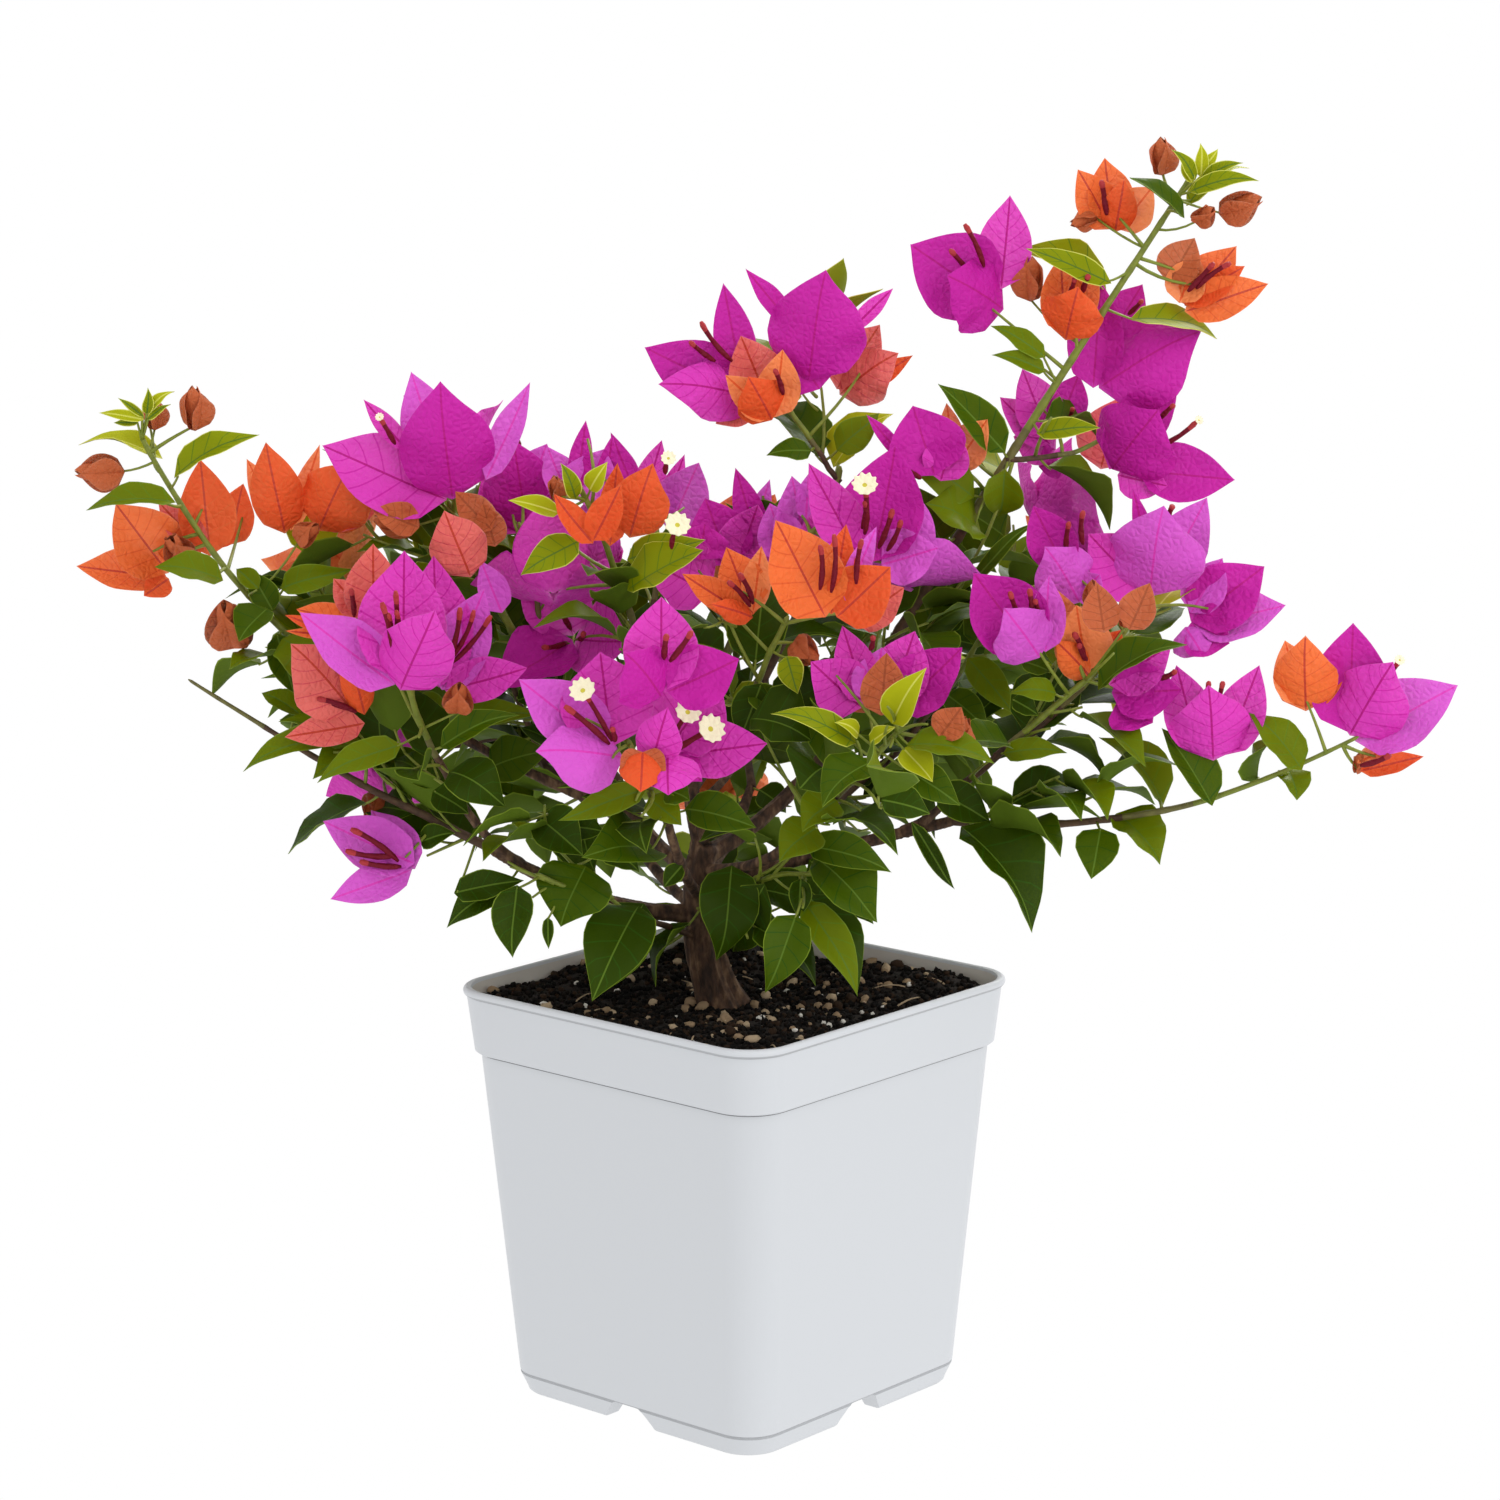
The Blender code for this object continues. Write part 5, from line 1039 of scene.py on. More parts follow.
def plain_material(name, colour, roughness, shine=0.5, thin=0.0, grain=0.0, grain_size=1.0, net=0.0):
    """One even colour with a fine relief; `thin` lets light through as a petal or leaf does.

    The relief is a grain and, where `net` gives a size in mm, a net of fine veins over it.
    """
    made, tree, shader = new_material(name, roughness)
    shader.inputs["Base Color"].default_value = (*colour, 1.0)
    shader.inputs["Specular IOR Level"].default_value = shine
    if thin:
        shader.inputs["Subsurface Weight"].default_value = thin
        shader.inputs["Subsurface Radius"].default_value = (1.0, 1.0, 1.0)
        shader.inputs["Subsurface Scale"].default_value = THIN_REACH
    if grain:
        spot = add_node(tree, "TexCoord").outputs["Object"]
        pattern = add_node(tree, "TexNoise", Scale=1 / (grain_size * MM), Detail=3.0)
        tree.links.new(spot, pattern.inputs["Vector"])
        bump = add_relief(tree, shader, pattern.outputs["Fac"], grain, GRAIN_DEPTH)
        if net:
            cells = add_node(tree, "TexVoronoi", Scale=1 / (net * MM))
            cells.feature = "DISTANCE_TO_EDGE"
            tree.links.new(spot, cells.inputs["Vector"])
            add_relief(tree, shader, cells.outputs["Distance"], NET_STRENGTH, NET_DEPTH, bump)
    return made


def mottled_material(name, colours, roughness, sizes, stretch=(1, 1, 1), bump_strength=0.4):
    """Two or three colours mixed by a noise, with a finer noise as relief; both sizes are in mm."""
    made, tree, shader = new_material(name, roughness)
    mapping = add_node(tree, "Mapping", Scale=stretch)
    tree.links.new(add_node(tree, "TexCoord").outputs["Object"], mapping.inputs["Vector"])
    patches = add_node(tree, "TexNoise", Scale=1 / (sizes[0] * MM), Detail=6.0)
    ramp = add_node(tree, "ValToRGB")
    stops = ramp.color_ramp.elements
    for stop, edge, colour in zip(stops, PATCH_EDGES, (colours[0], colours[-1])):
        stop.position = edge
        stop.color = (*colour, 1)
    if len(colours) > 2:
        stops.new(0.5).color = (*colours[1], 1)
    tree.links.new(mapping.outputs["Vector"], patches.inputs["Vector"])
    tree.links.new(patches.outputs["Fac"], ramp.inputs["Fac"])
    tree.links.new(ramp.outputs["Color"], shader.inputs["Base Color"])
    grain = add_node(tree, "TexNoise", Scale=1 / (sizes[1] * MM), Detail=5.0)
    tree.links.new(mapping.outputs["Vector"], grain.inputs["Vector"])
    add_relief(tree, shader, grain.outputs["Fac"], bump_strength, RELIEF_DEPTH)
    return made


class Joined:
    """A mesh joined from many small pieces, each given as arrays of points and faces."""

    def __init__(self):
        self.points = []
        self.quads = []
        self.tris = []
        self.quad_tints = []
        self.tri_tints = []
        self.outline = []
        self.count = 0

    def add(self, points, quads, tris, quad_tints, tri_tints, outline=None):
        """Adds a piece. Tints are material numbers, one for all its faces or one each."""
        points = np.asarray(points, float).reshape(-1, 3)
        quads = np.asarray(quads, int).reshape(-1, 4)
        tris = np.asarray(tris, int).reshape(-1, 3)
        self.points.append(points)
        self.quads.append(quads + self.count)
        self.tris.append(tris + self.count)
        self.quad_tints.append(np.broadcast_to(quad_tints, len(quads)))
        self.tri_tints.append(np.broadcast_to(tri_tints, len(tris)))
        self.outline.append(np.zeros(len(points), bool) if outline is None else outline)
        self.count += len(points)

    def finish(self, name, materials):
        """The object, smooth but for the outlines of its sheets."""
        points = np.concatenate(self.points)
        quads = np.concatenate(self.quads)
        tris = np.concatenate(self.tris)
        tints = np.concatenate(self.quad_tints + self.tri_tints)
        mesh = bpy.data.meshes.new(name)
        mesh.vertices.add(len(points))
        mesh.vertices.foreach_set("co", points.astype(np.float32).ravel())
        mesh.loops.add(4 * len(quads) + 3 * len(tris))
        around = np.concatenate([quads.ravel(), tris.ravel()])
        mesh.loops.foreach_set("vertex_index", around.astype(np.int32))
        mesh.polygons.add(len(tints))
        starts = np.concatenate([np.arange(len(quads)) * 4, 4 * len(quads) + np.arange(len(tris)) * 3])
        mesh.polygons.foreach_set("loop_start", starts.astype(np.int32))
        mesh.polygons.foreach_set("material_index", tints.astype(np.int32))
        mesh.polygons.foreach_set("use_smooth", np.ones(len(tints), bool))
        mesh.update(calc_edges=True)
        outline = np.concatenate(self.outline)
        if outline.any():
            ends = np.empty(2 * len(mesh.edges), np.int32)
            mesh.edges.foreach_get("vertices", ends)
            ends = ends.reshape(-1, 2)
            sharp = outline[ends[:, 0]] & outline[ends[:, 1]]
            layer = mesh.attributes.new("sharp_edge", "BOOLEAN", "EDGE")
            layer.data.foreach_set("value", sharp)
        for material in materials:
            mesh.materials.append(material)
        obj = bpy.data.objects.new(name, mesh)
        bpy.context.scene.collection.objects.link(obj)
        return obj


def add_tube(joined, points, radii, sides, tint):
    """A closed tube of rings through points, each ring square to the way there."""
    points = [Vector(p) for p in points]
    count = len(points)
    ways = []
    for i in range(count):
        ways.append((points[min(i + 1, count - 1)] - points[max(i - 1, 0)]).normalized())
    first, _ = square_to(ways[0])
    rings = []
    for point, way, radius in zip(points, ways, radii):
        first = (first - way * first.dot(way)).normalized()
        second = way.cross(first)
        for k in range(sides):
            angle = 2 * math.pi * k / sides
            rings.append(point + (first * math.cos(angle) + second * math.sin(angle)) * radius)
    rings.append(points[0])
    rings.append(points[-1])
    quads = []
    for i in range(count - 1):
        for k in range(sides):
            a, b = i * sides + k, i * sides + (k + 1) % sides
            quads.append((a, b, b + sides, a + sides))
    tris = []
    last = (count - 1) * sides
    for k in range(sides):
        tris.append(((k + 1) % sides, k, count * sides))
        tris.append((last + k, last + (k + 1) % sides, count * sides + 1))
    if np.ndim(tint):
        quad_tints = np.repeat(tint, sides)
        tri_tints = np.tile([tint[0], tint[-1]], sides)
    else:
        quad_tints = tri_tints = tint
    joined.add([tuple(p) for p in rings], quads, tris, quad_tints, tri_tints)


# A leaf or bract. Its cup, fold, arch, curl and ripple are shares of its half width or of its length.
Sheet = namedtuple("Sheet", "root tip normal width cup fold arch curl ripple phase twist tone")

# What each strip of a sheet's faces is: the order of its materials
LAMINA, VEIN, RIB, RIM, UNDER = range(5)

# Shares of a sheet's length: its first vein, the stretch that has veins, a vein's width, its last row
FIRST_VEIN = 0.06
VEINED = 0.84
VEIN_SHARE = 0.013
LAST_ROW = 0.95
CURL_FROM = 0.55


class SheetGrid:
    """The faces of a leaf or bract: two skins that meet at its outline.

    The top has strips for rim, midrib and veins. Rows run out and forwards from the midrib, as side
    veins do.
    """

    def __init__(self, veins, strips, widest, point, slant, rim, rib, thickness):
        self.widest = widest
        self.point = point
        self.slant = slant
        self.rim = rim * MM
        self.rib = rib * MM
        self.thickness = thickness * MM
        lines = []
        step = VEINED / veins
        for i in range(veins):
            lines.append((FIRST_VEIN + step * (i + 0.08), LAMINA))
            lines.append((FIRST_VEIN + step * (i + 0.08) + VEIN_SHARE, VEIN))
            lines.append((FIRST_VEIN + step * (i + 0.58), LAMINA))
        lines.append((LAST_ROW, LAMINA))
        sides = [(-1, -1.0)] + [(-1, 1 - k / strips) for k in range(strips + 1)]
        top = sides + [(1, share) for _, share in reversed(sides)]
        below = [(-1, 1 - k / strips) for k in range(strips)] + [(0, 0.0)]
        below += [(1, (k + 1) / strips) for k in range(strips)]
        self.side, self.share, self.along, self.under = [], [], [], []
        for along, _ in lines:
            for side, share in top:
                self._corner(side, share, along, False)
            for side, share in below:
                self._corner(side, share, along, True)
        self.root = len(self.side)
        self._corner(0, 0.0, 0.0, False)
        self._corner(0, 0.0, 1.0, False)
        self._faces(lines, len(top), strips)
        for key in ("side", "share", "along", "under"):
            setattr(self, key, np.array(getattr(self, key), float))
        self.outline = np.array((self.share < 0) | (np.arange(len(self.side)) >= self.root))

    def _corner(self, side, share, along, under):
        self.side.append(side)
        self.share.append(share)
        self.along.append(along)
        self.under.append(under)

    def _faces(self, lines, wide, strips):
        row = wide + 2 * strips + 1
        kinds = [RIM] + [LAMINA] * strips + [RIB] + [LAMINA] * strips + [RIM]
        under_row = [0] + list(range(wide, row)) + [wide - 1]
        under_kinds = [RIM] + [UNDER] * (2 * strips) + [RIM]
        self.quads, self.quad_kinds, self.tris, self.tri_kinds = [], [], [], []
        for i in range(len(lines) - 1):
            low, high = i * row, (i + 1) * row
            vein = lines[i + 1][1] == VEIN
            for k in range(wide - 1):
                self.quads.append((low + k, low + k + 1, high + k + 1, high + k))
                self.quad_kinds.append(VEIN if vein and kinds[k] == LAMINA else kinds[k])
            for k, (a, b) in enumerate(zip(under_row, under_row[1:])):
                self.quads.append((low + a, high + a, high + b, low + b))
                self.quad_kinds.append(under_kinds[k])
        last = (len(lines) - 1) * row
        for k in range(wide - 1):
            self.tris.append((k + 1, k, self.root))
            self.tris.append((last + k, last + k + 1, self.root + 1))
            self.tri_kinds += [kinds[k]] * 2
        for k, (a, b) in enumerate(zip(under_row, under_row[1:])):
            self.tris.append((a, b, self.root))
            self.tris.append((last + b, last + a, self.root + 1))
            self.tri_kinds += [under_kinds[k]] * 2

    def breadth(self, along):
        """Half the width along the sheet, as a share of the widest: round at the foot, pointed at the tip."""
        foot = np.sqrt(np.clip(1 - ((self.widest - along) / self.widest) ** 2, 0, 1))
        share = np.clip((along - self.widest) / (1 - self.widest), 0, 1)
        return np.where(along < self.widest, foot, (1 - share) ** self.point * (1 + self.point * share))

    def place(self, sheets):
        """Points of every sheet, as an array of sheets by corners by three."""
        def column(key):
            return np.array([getattr(s, key) for s in sheets], float)[:, None]

        root = np.array([s.root for s in sheets], float)
        tip = np.array([s.tip for s in sheets], float)
        normal = np.array([s.normal for s in sheets], float)
        length = np.linalg.norm(tip - root, axis=1)[:, None]
        way = (tip - root) / length
        normal = normal - way * np.sum(normal * way, axis=1)[:, None]
        normal /= np.linalg.norm(normal, axis=1)[:, None]
        side = np.cross(way, normal)
        half = column("width") / 2 * MM
        rough = self.along[None, :]
        local = np.maximum(self.breadth(rough) * half, 1e-6)
        rim = 1 - np.minimum(0.4, self.rim / local)
        rib = np.minimum(0.25, self.rib / local)
        inner = rib + (rim - rib) * np.abs(self.share)[None, :]
        across = self.side[None, :] * np.where(self.share[None, :] < 0, 1.0, inner)
        out = np.abs(across)
        along = rough + self.slant * out * rough * (1 - rough)
        breadth = self.breadth(along)
        lift = half * (column("cup") * (breadth * out) ** 2 + column("fold") * breadth * out)
        lift = lift + length * (column("arch") * 4 * along * (1 - along))
        lift = lift - length * (column("curl") * np.clip(along - CURL_FROM, 0, 1) ** 2)
        wave = np.sin(2 * math.pi * (2.3 * along + column("phase")) + 1.4 * self.side[None, :])
        lift = lift + half * column("ripple") * wave * out ** 2 * breadth
        edge = self.share[None, :] < 0
        lift = lift - np.where(self.under[None, :] > 0, self.thickness, 0.0)
        lift = lift - np.where(edge, self.thickness / 2, 0)
        turn = column("twist") * along
        aside = half * across * breadth
        over = lift * np.cos(turn) + aside * np.sin(turn)
        aside = aside * np.cos(turn) - lift * np.sin(turn)
        points = root[:, None, :] + way[:, None, :] * (length * along)[:, :, None]
        return points + side[:, None, :] * aside[:, :, None] + normal[:, None, :] * over[:, :, None]

    def draw(self, joined, sheets, tones):
        """Adds the sheets; `tones` gives the five material numbers of each tone."""
        if not sheets:
            return
        points = self.place(sheets)
        table = np.array([tones[s.tone] for s in sheets])
        offset = (np.arange(len(sheets)) * len(self.side))[:, None, None]
        quads = np.array(self.quads)[None] + offset
        tris = np.array(self.tris)[None] + offset
        quad_tints = table[:, self.quad_kinds].ravel()
        tri_tints = table[:, self.tri_kinds].ravel()
        joined.add(points, quads, tris, quad_tints, tri_tints, np.tile(self.outline, len(sheets)))


# The finer growth, in mm: small leaves and twiglets between the leaves that the solids have
FINE_PITCH = 9.0
FINE_LEAF = (23.0, 35.0)
FINE_BREADTH = (0.52, 0.64)  # of its length
FINE_TILT = 0.5
FINE_STALKS = (2.0, 9.0)
TWIGLET_PITCH = 15.0
TWIGLET_LENGTH = (13.0, 26.0)
TWIGLET_LEAVES = 4
LAST_TWIGLET_LEAF = 0.98  # of the twiglet's length
TWIGLET_LEAF_STEP = 0.22

# Further places that stay open, which only the leaves drawn here keep to: across, up and radius, in mm
MORE_SKY = (
    (110, 198, 6), (106, 430, 8), (4, 403, 7), (64, 183, 12), (-79, 221, 4), (23, 430, 20), (-77, 363, 5),
    (119, 185, 12), (81, 383, 11), (97, 227, 4), (191, 262, 5), (-5, 337, 4), (169, 336, 4), (15, 343, 4),
    (-114, 315, 4), (-62, 170, 4), (-129, 320, 4), (62, 198, 4), (-159, 233, 6), (-168, 314, 6),
    (-140, 311, 3), (259, 249, 13), (-110, 181, 7), (-150, 190, 12),
)
# Leaves that the photograph shows in full: where root and tip are seen (across and up), how far the tip
# lies behind the root, the width, all in mm, and the tone
SeenLeaf = namedtuple("SeenLeaf", "root_across root_up tip_across tip_up behind width tone")

SEEN_LEAVES = by_mass(SeenLeaf, {
    "low_left": (
        (11, 190, -3, 162, 12, 18, "dark"), (-54, 197, -64, 175, -10, 27, "deep"),
        (-81, 192, -106, 176, -6, 12, "dark"), (-79, 190, -82, 163, -8, 14, "dark"),
        (-68, 178, -68, 166, -4, 4, "dark"), (-19, 197, -26, 189, -2, 7, "dark"),
        (-33, 183, -51, 148, -14, 20, "dark"), (-71, 215, -55, 201, -8, 17, "dark"),
    ),
    "front": (
        (-32, 225, -63, 214, -10, 10, "mid"), (-31, 222, -19, 212, -8, 11, "mid"),
        (-18, 218, 8, 211, -4, 14, "deep"), (-25, 225, -16, 221, -2, 11, "deep"),
        (-49, 204, -34, 195, 0, 11, "dark"), (-63, 212, -47, 210, -2, 12, "dark"),
    ),
    "low_right": (
        (-1, 197, -5, 162, -14, 21, "dark"), (25, 184, 46, 149, -14, 13, "mid"),
        (24, 192, 23, 177, -4, 8, "dark"), (27, 199, 51, 176, -10, 18, "dark"),
        (26, 204, 57, 195, -6, 13, "deep"), (37, 221, 24, 211, -8, 15, "mid"),
        (30, 211, 16, 200, -10, 16, "mid"), (9, 225, 19, 217, -4, 12, "dark"),
        (64, 213, 80, 187, 4, 6, "dark"), (53, 221, 71, 216, -2, 12, "dark"),
        (61, 233, 82, 219, -4, 12, "deep"), (73, 224, 93, 213, -4, 14, "dark"),
    ),
    "front_right": (
        (28, 255, 40, 228, -4, 14, "deep"), (5, 261, 21, 253, -4, 10, "deep"),
        (19, 274, 23, 260, -6, 9, "fresh"), (44, 242, 15, 255, -10, 10, "fresh"),
        (57, 249, 68, 269, -6, 12, "lime"), (61, 240, 72, 228, -8, 11, "lime"),
        (45, 245, 37, 250, -6, 6, "lime"), (49, 242, 58, 248, -8, 6, "lime"),
        (10, 264, 2, 243, 4, 14, "dark"),
    ),
    "left_front": (
        (-106, 241, -78, 254, -4, 10, "deep"), (-85, 229, -108, 221, -6, 15, "dark"),
        (-99, 251, -71, 254, -6, 10, "mid"), (-89, 233, -67, 240, -4, 17, "deep"),
        (-78, 258, -63, 264, 2, 9, "dark"),
    ),
    "left_low": (
        (-141, 246, -178, 234, -8, 10, "mid"), (-120, 242, -151, 231, -10, 11, "mid"),
        (-114, 206, -102, 210, -4, 9, "dark"), (-102, 187, -77, 192, -6, 11, "dark"),
        (-109, 225, -96, 217, -4, 12, "dark"),
    ),
    "upper_left": (
        (-209, 360, -225, 363, -2, 4, "lime"), (-209, 361, -218, 368, 0, 3, "fresh"),
        (-208, 363, -199, 371, 0, 4, "lime"), (-208, 362, -207, 371, -2, 4, "fresh"),
        (-208, 360, -200, 366, -2, 3, "fresh"), (-211, 359, -220, 359, 0, 3, "fresh"),
        (-162, 299, -137, 306, -4, 10, "mid"), (-165, 291, -173, 306, 2, 10, "deep"),
        (-164, 283, -158, 260, -4, 11, "deep"), (-170, 299, -178, 307, 4, 7, "mid"),
    ),
    "right": (
        (94, 276, 67, 282, -6, 13, "dark"), (84, 273, 101, 253, -8, 12, "mid"),
        (116, 260, 100, 261, -6, 9, "mid"), (97, 238, 120, 239, -6, 9, "mid"),
        (76, 260, 92, 246, -6, 12, "deep"), (100, 258, 110, 252, 0, 8, "dark"),
        (103, 272, 114, 268, 2, 8, "deep"),
    ),
    "upper_right": (
        (163, 443, 155, 454, -2, 5, "fresh"), (165, 444, 165, 456, 0, 5, "lime"),
        (165, 443, 179, 450, -4, 5, "fresh"), (161, 439, 185, 444, -6, 7, "fresh"),
        (165, 446, 171, 454, 2, 4, "lime"), (162, 442, 158, 450, 2, 4, "lime"),
        (134, 407, 104, 420, -4, 9, "fresh"), (111, 376, 93, 383, -4, 7, "mid"),
        (111, 381, 92, 393, 0, 8, "mid"), (86, 331, 60, 349, -6, 15, "mid"),
        (97, 317, 72, 331, -8, 20, "deep"), (75, 314, 63, 336, -2, 16, "deep"),
        (86, 301, 107, 324, -4, 6, "deep"), (97, 347, 73, 372, 0, 14, "deep"),
        (108, 354, 130, 357, -6, 8, "fresh"), (97, 341, 95, 323, 6, 14, "mid"),
    ),
    "mid_left": (
        (-70, 276, -49, 270, 0, 9, "deep"),
    ),
    "centre_left": (
        (-62, 326, -80, 331, -6, 7, "lime"), (-55, 316, -76, 305, -8, 12, "fresh"),
        (-38, 309, -11, 316, -8, 12, "fresh"), (-51, 334, -45, 344, -4, 7, "lime"),
        (-56, 331, -61, 344, -2, 6, "fresh"),
    ),
    "top": (
        (37, 348, 52, 361, -2, 12, "mid"), (28, 348, 12, 347, -4, 9, "deep"),
        (18, 323, 4, 330, 2, 7, "dark"),
    ),
})
BEFORE_LIMB = 4.0  # mm that a seen leaf's root stands before the limb that carries it
NEARER = 0.1  # what a limb gains by lying nearer to the eye, per mm
BLOOM_COVER = 0.4  # how far to either side of its midrib a bract keeps clear, as a share of its width
TWIG_BEARS = 4.0  # mm from a twig at which what stands there is its own
STEM_COVER = 2.2  # mm to either side of a stem
STEM_PARTS = [(0.25 + i * 0.09, 0.34 + i * 0.09) for i in range(8)]  # shares of its length
CLEAR_BEHIND = 2.5  # mm behind a bract or a seen leaf that stay clear too
FOREMOST = -125.0  # mm: a leaf that reaches further towards the front than this stays, whatever it hides
OPEN_SPOTS = ((20, 163, 9),)  # where the solids have a leaf that isn't drawn: across, up and radius, in mm
SAME_LEAF = 15.0  # mm in depth within which a listed leaf gives way to the seen leaf in its place
CLEAR_STEMS = ("foliage_upper_left", "foliage_upper_right", "foliage_lower_right", "foliage_left_low")


def seen_at(point):
    """Where a point is seen from the front, across and up in mm, and how deep it lies."""
    spot = EYE + (point - EYE) * (EYE.y / (EYE.y - point.y))
    return Vector((spot.x, spot.z)) / MM, point.y


def seen_leaves(mass, spots):
    """The listed leaves of a mass with their tones, each on the limb that passes nearest to its root."""
    leaves = []
    for leaf in SEEN_LEAVES.get(mass.node, ()):
        wanted = Vector((leaf.root_across, leaf.root_up))

        def cost(point):
            spot, deep = seen_at(point)
            return (spot - wanted).length + NEARER * deep / MM

        anchor = min(spots, key=cost)
        depth = anchor.y / MM - BEFORE_LIMB
        root = place(leaf.root_across, leaf.root_up, depth)
        tip = place(leaf.tip_across, leaf.tip_up, depth + leaf.behind)
        normal = (EYE - root).normalized() + UP * 0.4
        leaves.append((Blade(anchor, root, tip, normal, leaf.width, LEAF_THICKNESS, LEAF_CUP), leaf.tone))
    return leaves


def drawn_anew(blade, masses):
    """True for a leaf of the solids in whose place a seen leaf stands."""
    if is_bud(blade):
        return False
    spot, deep = seen_at(blade.root.lerp(blade.tip, 0.5))
    if any(math.hypot(spot.x - across, spot.y - up) < radius for across, up, radius in OPEN_SPOTS):
        return True
    for mass in masses.values():
        for leaf, _ in mass.seen:
            root, near = seen_at(leaf.root)
            tip, far = seen_at(leaf.tip)
            share = (spot - root).dot(tip - root) / (tip - root).length_squared
            off = (spot - root.lerp(tip, min(max(share, 0.0), 1.0))).length
            if off < 0.5 * leaf.width and abs(deep - (near + far) / 2) < SAME_LEAF * MM:
                return True
    return False


def kept_clear(masses):
    """What no leaf by rule may hide: the listed bracts and leaves, and some stems.

    Each is a line as seen from the front, with a width in mm and how deep it lies.
    """
    lines = []
    for node, blooms in SHAPED_BLOOMS.items():
        for star, rows in zip(masses[node].stars, blooms):
            for row in bracts_and_flowers(rows)[0]:
                foot = Vector((row.foot_across, row.foot_up))
                tip = Vector((row.tip_across, row.tip_up))
                lines.append((foot, tip, row.width * BLOOM_COVER, star.foot.y + row.behind / 2 * MM))
    for mass in masses.values():
        for blade, _ in mass.seen:
            root, deep = seen_at(blade.root)
            tip, tip_deep = seen_at(blade.tip)
            lines.append((root, tip, blade.width * BLOOM_COVER, (deep + tip_deep) / 2))
    for node in CLEAR_STEMS:
        for limb in masses[node].stems:
            for first, last in STEM_PARTS:
                start, deep = seen_at(limb.at(first))
                end, _ = seen_at(limb.at(last))
                lines.append((start, end, STEM_COVER, deep))
    return lines


def in_the_way(blade, clear):
    """True for a leaf that would stand in the open sky, or hide what the photograph shows."""
    if in_the_sky(blade_spots(blade)):
        return True
    for point in blade_spots(blade):
        spot, deep = seen_at(point)
        for across, up, radius in MORE_SKY:
            if math.hypot(spot.x - across, spot.y - up) < radius:
                return True
        for start, end, width, line_deep in clear:
            if deep < line_deep + CLEAR_BEHIND * MM:
                share = (spot - start).dot(end - start) / max(1e-6, (end - start).length_squared)
                if (spot - start.lerp(end, min(max(share, 0.0), 1.0))).length < width:
                    return True
    return False


def bears_something(mass, tube):
    """True for a twig or stalk that still carries a leaf, a bud or a bloom."""
    start, end = tube.points
    spots = [start.lerp(end, share) for share in (0.2, 0.4, 0.6, 0.8, 1.0)]
    blades = mass.blades + [blade for blade, _ in mass.seen]
    borne = [blade.anchor for blade in blades] + [blade.root for blade in blades]
    borne += [star.foot for star in mass.stars]
    return any((spot - point).length < TWIG_BEARS * MM for point in borne for spot in spots)


def grow_fine_leaf(space, mass, limb, share, angle, rng, age, clear):
    """A small leaf where it has room, or nothing."""
    length = rng.uniform(*FINE_LEAF)
    width = length * rng.uniform(*FINE_BREADTH)
    stalk = rng.uniform(*FINE_STALKS)
    tilt = rng.uniform(-FINE_TILT, FINE_TILT)
    blade = leaf_at(limb, share, angle, length, width, stalk, tilt, age)
    if blade.tip.z < LOWEST_LEAF * MM or in_the_way(blade, clear):
        return
    outer = blade._replace(anchor=blade.anchor.lerp(blade.tip, LEAF_NECK))
    if space.free(blade_shape(outer, 0.0)):
        mass.take_blade(space, blade)


def carry_finer(space, mass, rng, clear):
    """Small leaves on every stem and twig, and twiglets with leaves of their own."""
    reach = RULE_REACH.get(mass.node, 1.0)
    for limb in mass.stems + mass.twigs:
        last = reach if limb in mass.stems else 1.0
        count = round(limb.length() * last / (TWIGLET_PITCH * MM))
        for i in range(count):
            share = (i + rng.uniform(0.2, 0.8)) / count * last
            length = rng.uniform(*TWIGLET_LENGTH)
            twig = grow_twig(space, mass, limb, share, i * GOLDEN_ANGLE + 1.1, length)
            if twig:
                for k in range(TWIGLET_LEAVES):
                    turn = k * GOLDEN_ANGLE
                    along = LAST_TWIGLET_LEAF - TWIGLET_LEAF_STEP * k
                    grow_fine_leaf(space, mass, twig, along, turn, rng, 0.5, clear)
        count = round(limb.length() * last / (FINE_PITCH * MM))
        for i in range(count):
            share = (i + 0.5) / count * last
            grow_fine_leaf(space, mass, limb, share, i * GOLDEN_ANGLE + 0.7, rng, 1.0 - share, clear)


@lru_cache(maxsize=None)
def grown_plant():
    """All limbs and masses of foliage, grown once for every operator that draws from them."""
    limbs, nodes = plan_limbs()
    space = Space()
    for name, limb in limbs.items():
        space.add(nodes[name], tube_shape(limb.tube()))
    space.add("pot", pot_bounds())
    masses = {}
    for plan in STEMS:
        mass = masses.setdefault(plan.node, Mass(plan.node))
        mass.stems.append(limbs[plan.name])
    listed = {}
    for mass in masses.values():
        grow_listed(space, mass)
        listed[mass.node] = len(mass.blades)
    for number, mass in enumerate(masses.values()):
        rng = random.Random(SEED + number)
        count = HIDDEN_BLOOMS.get(mass.node, 0)
        grow_hidden_blooms(space, mass, [], count // 2, rng)
        twigs = grow_by_rule(space, mass, rng)
        grow_hidden_blooms(space, mass, twigs, count - count // 2, rng)
    bearing = list(limbs.values()) + [twig for mass in masses.values() for twig in mass.twigs]
    spots = [limb.at(i / 16) for limb in bearing for i in range(1, 17)]
    for mass in masses.values():
        mass.seen = seen_leaves(mass, spots)
    clear = kept_clear(masses)
    for number, mass in enumerate(masses.values()):
        count = listed[mass.node]
        kept = [blade for blade in mass.blades[:count] if not drawn_anew(blade, masses)]
        grown = [b for b in mass.blades[count:] if b.tip.y < FOREMOST * MM or not in_the_way(b, clear)]
        mass.blades = kept + grown
        carry_finer(space, mass, random.Random(SEED + 100 + number), clear)
        mass.tubes = [tube for tube in mass.tubes if bears_something(mass, tube)]
    return limbs, masses


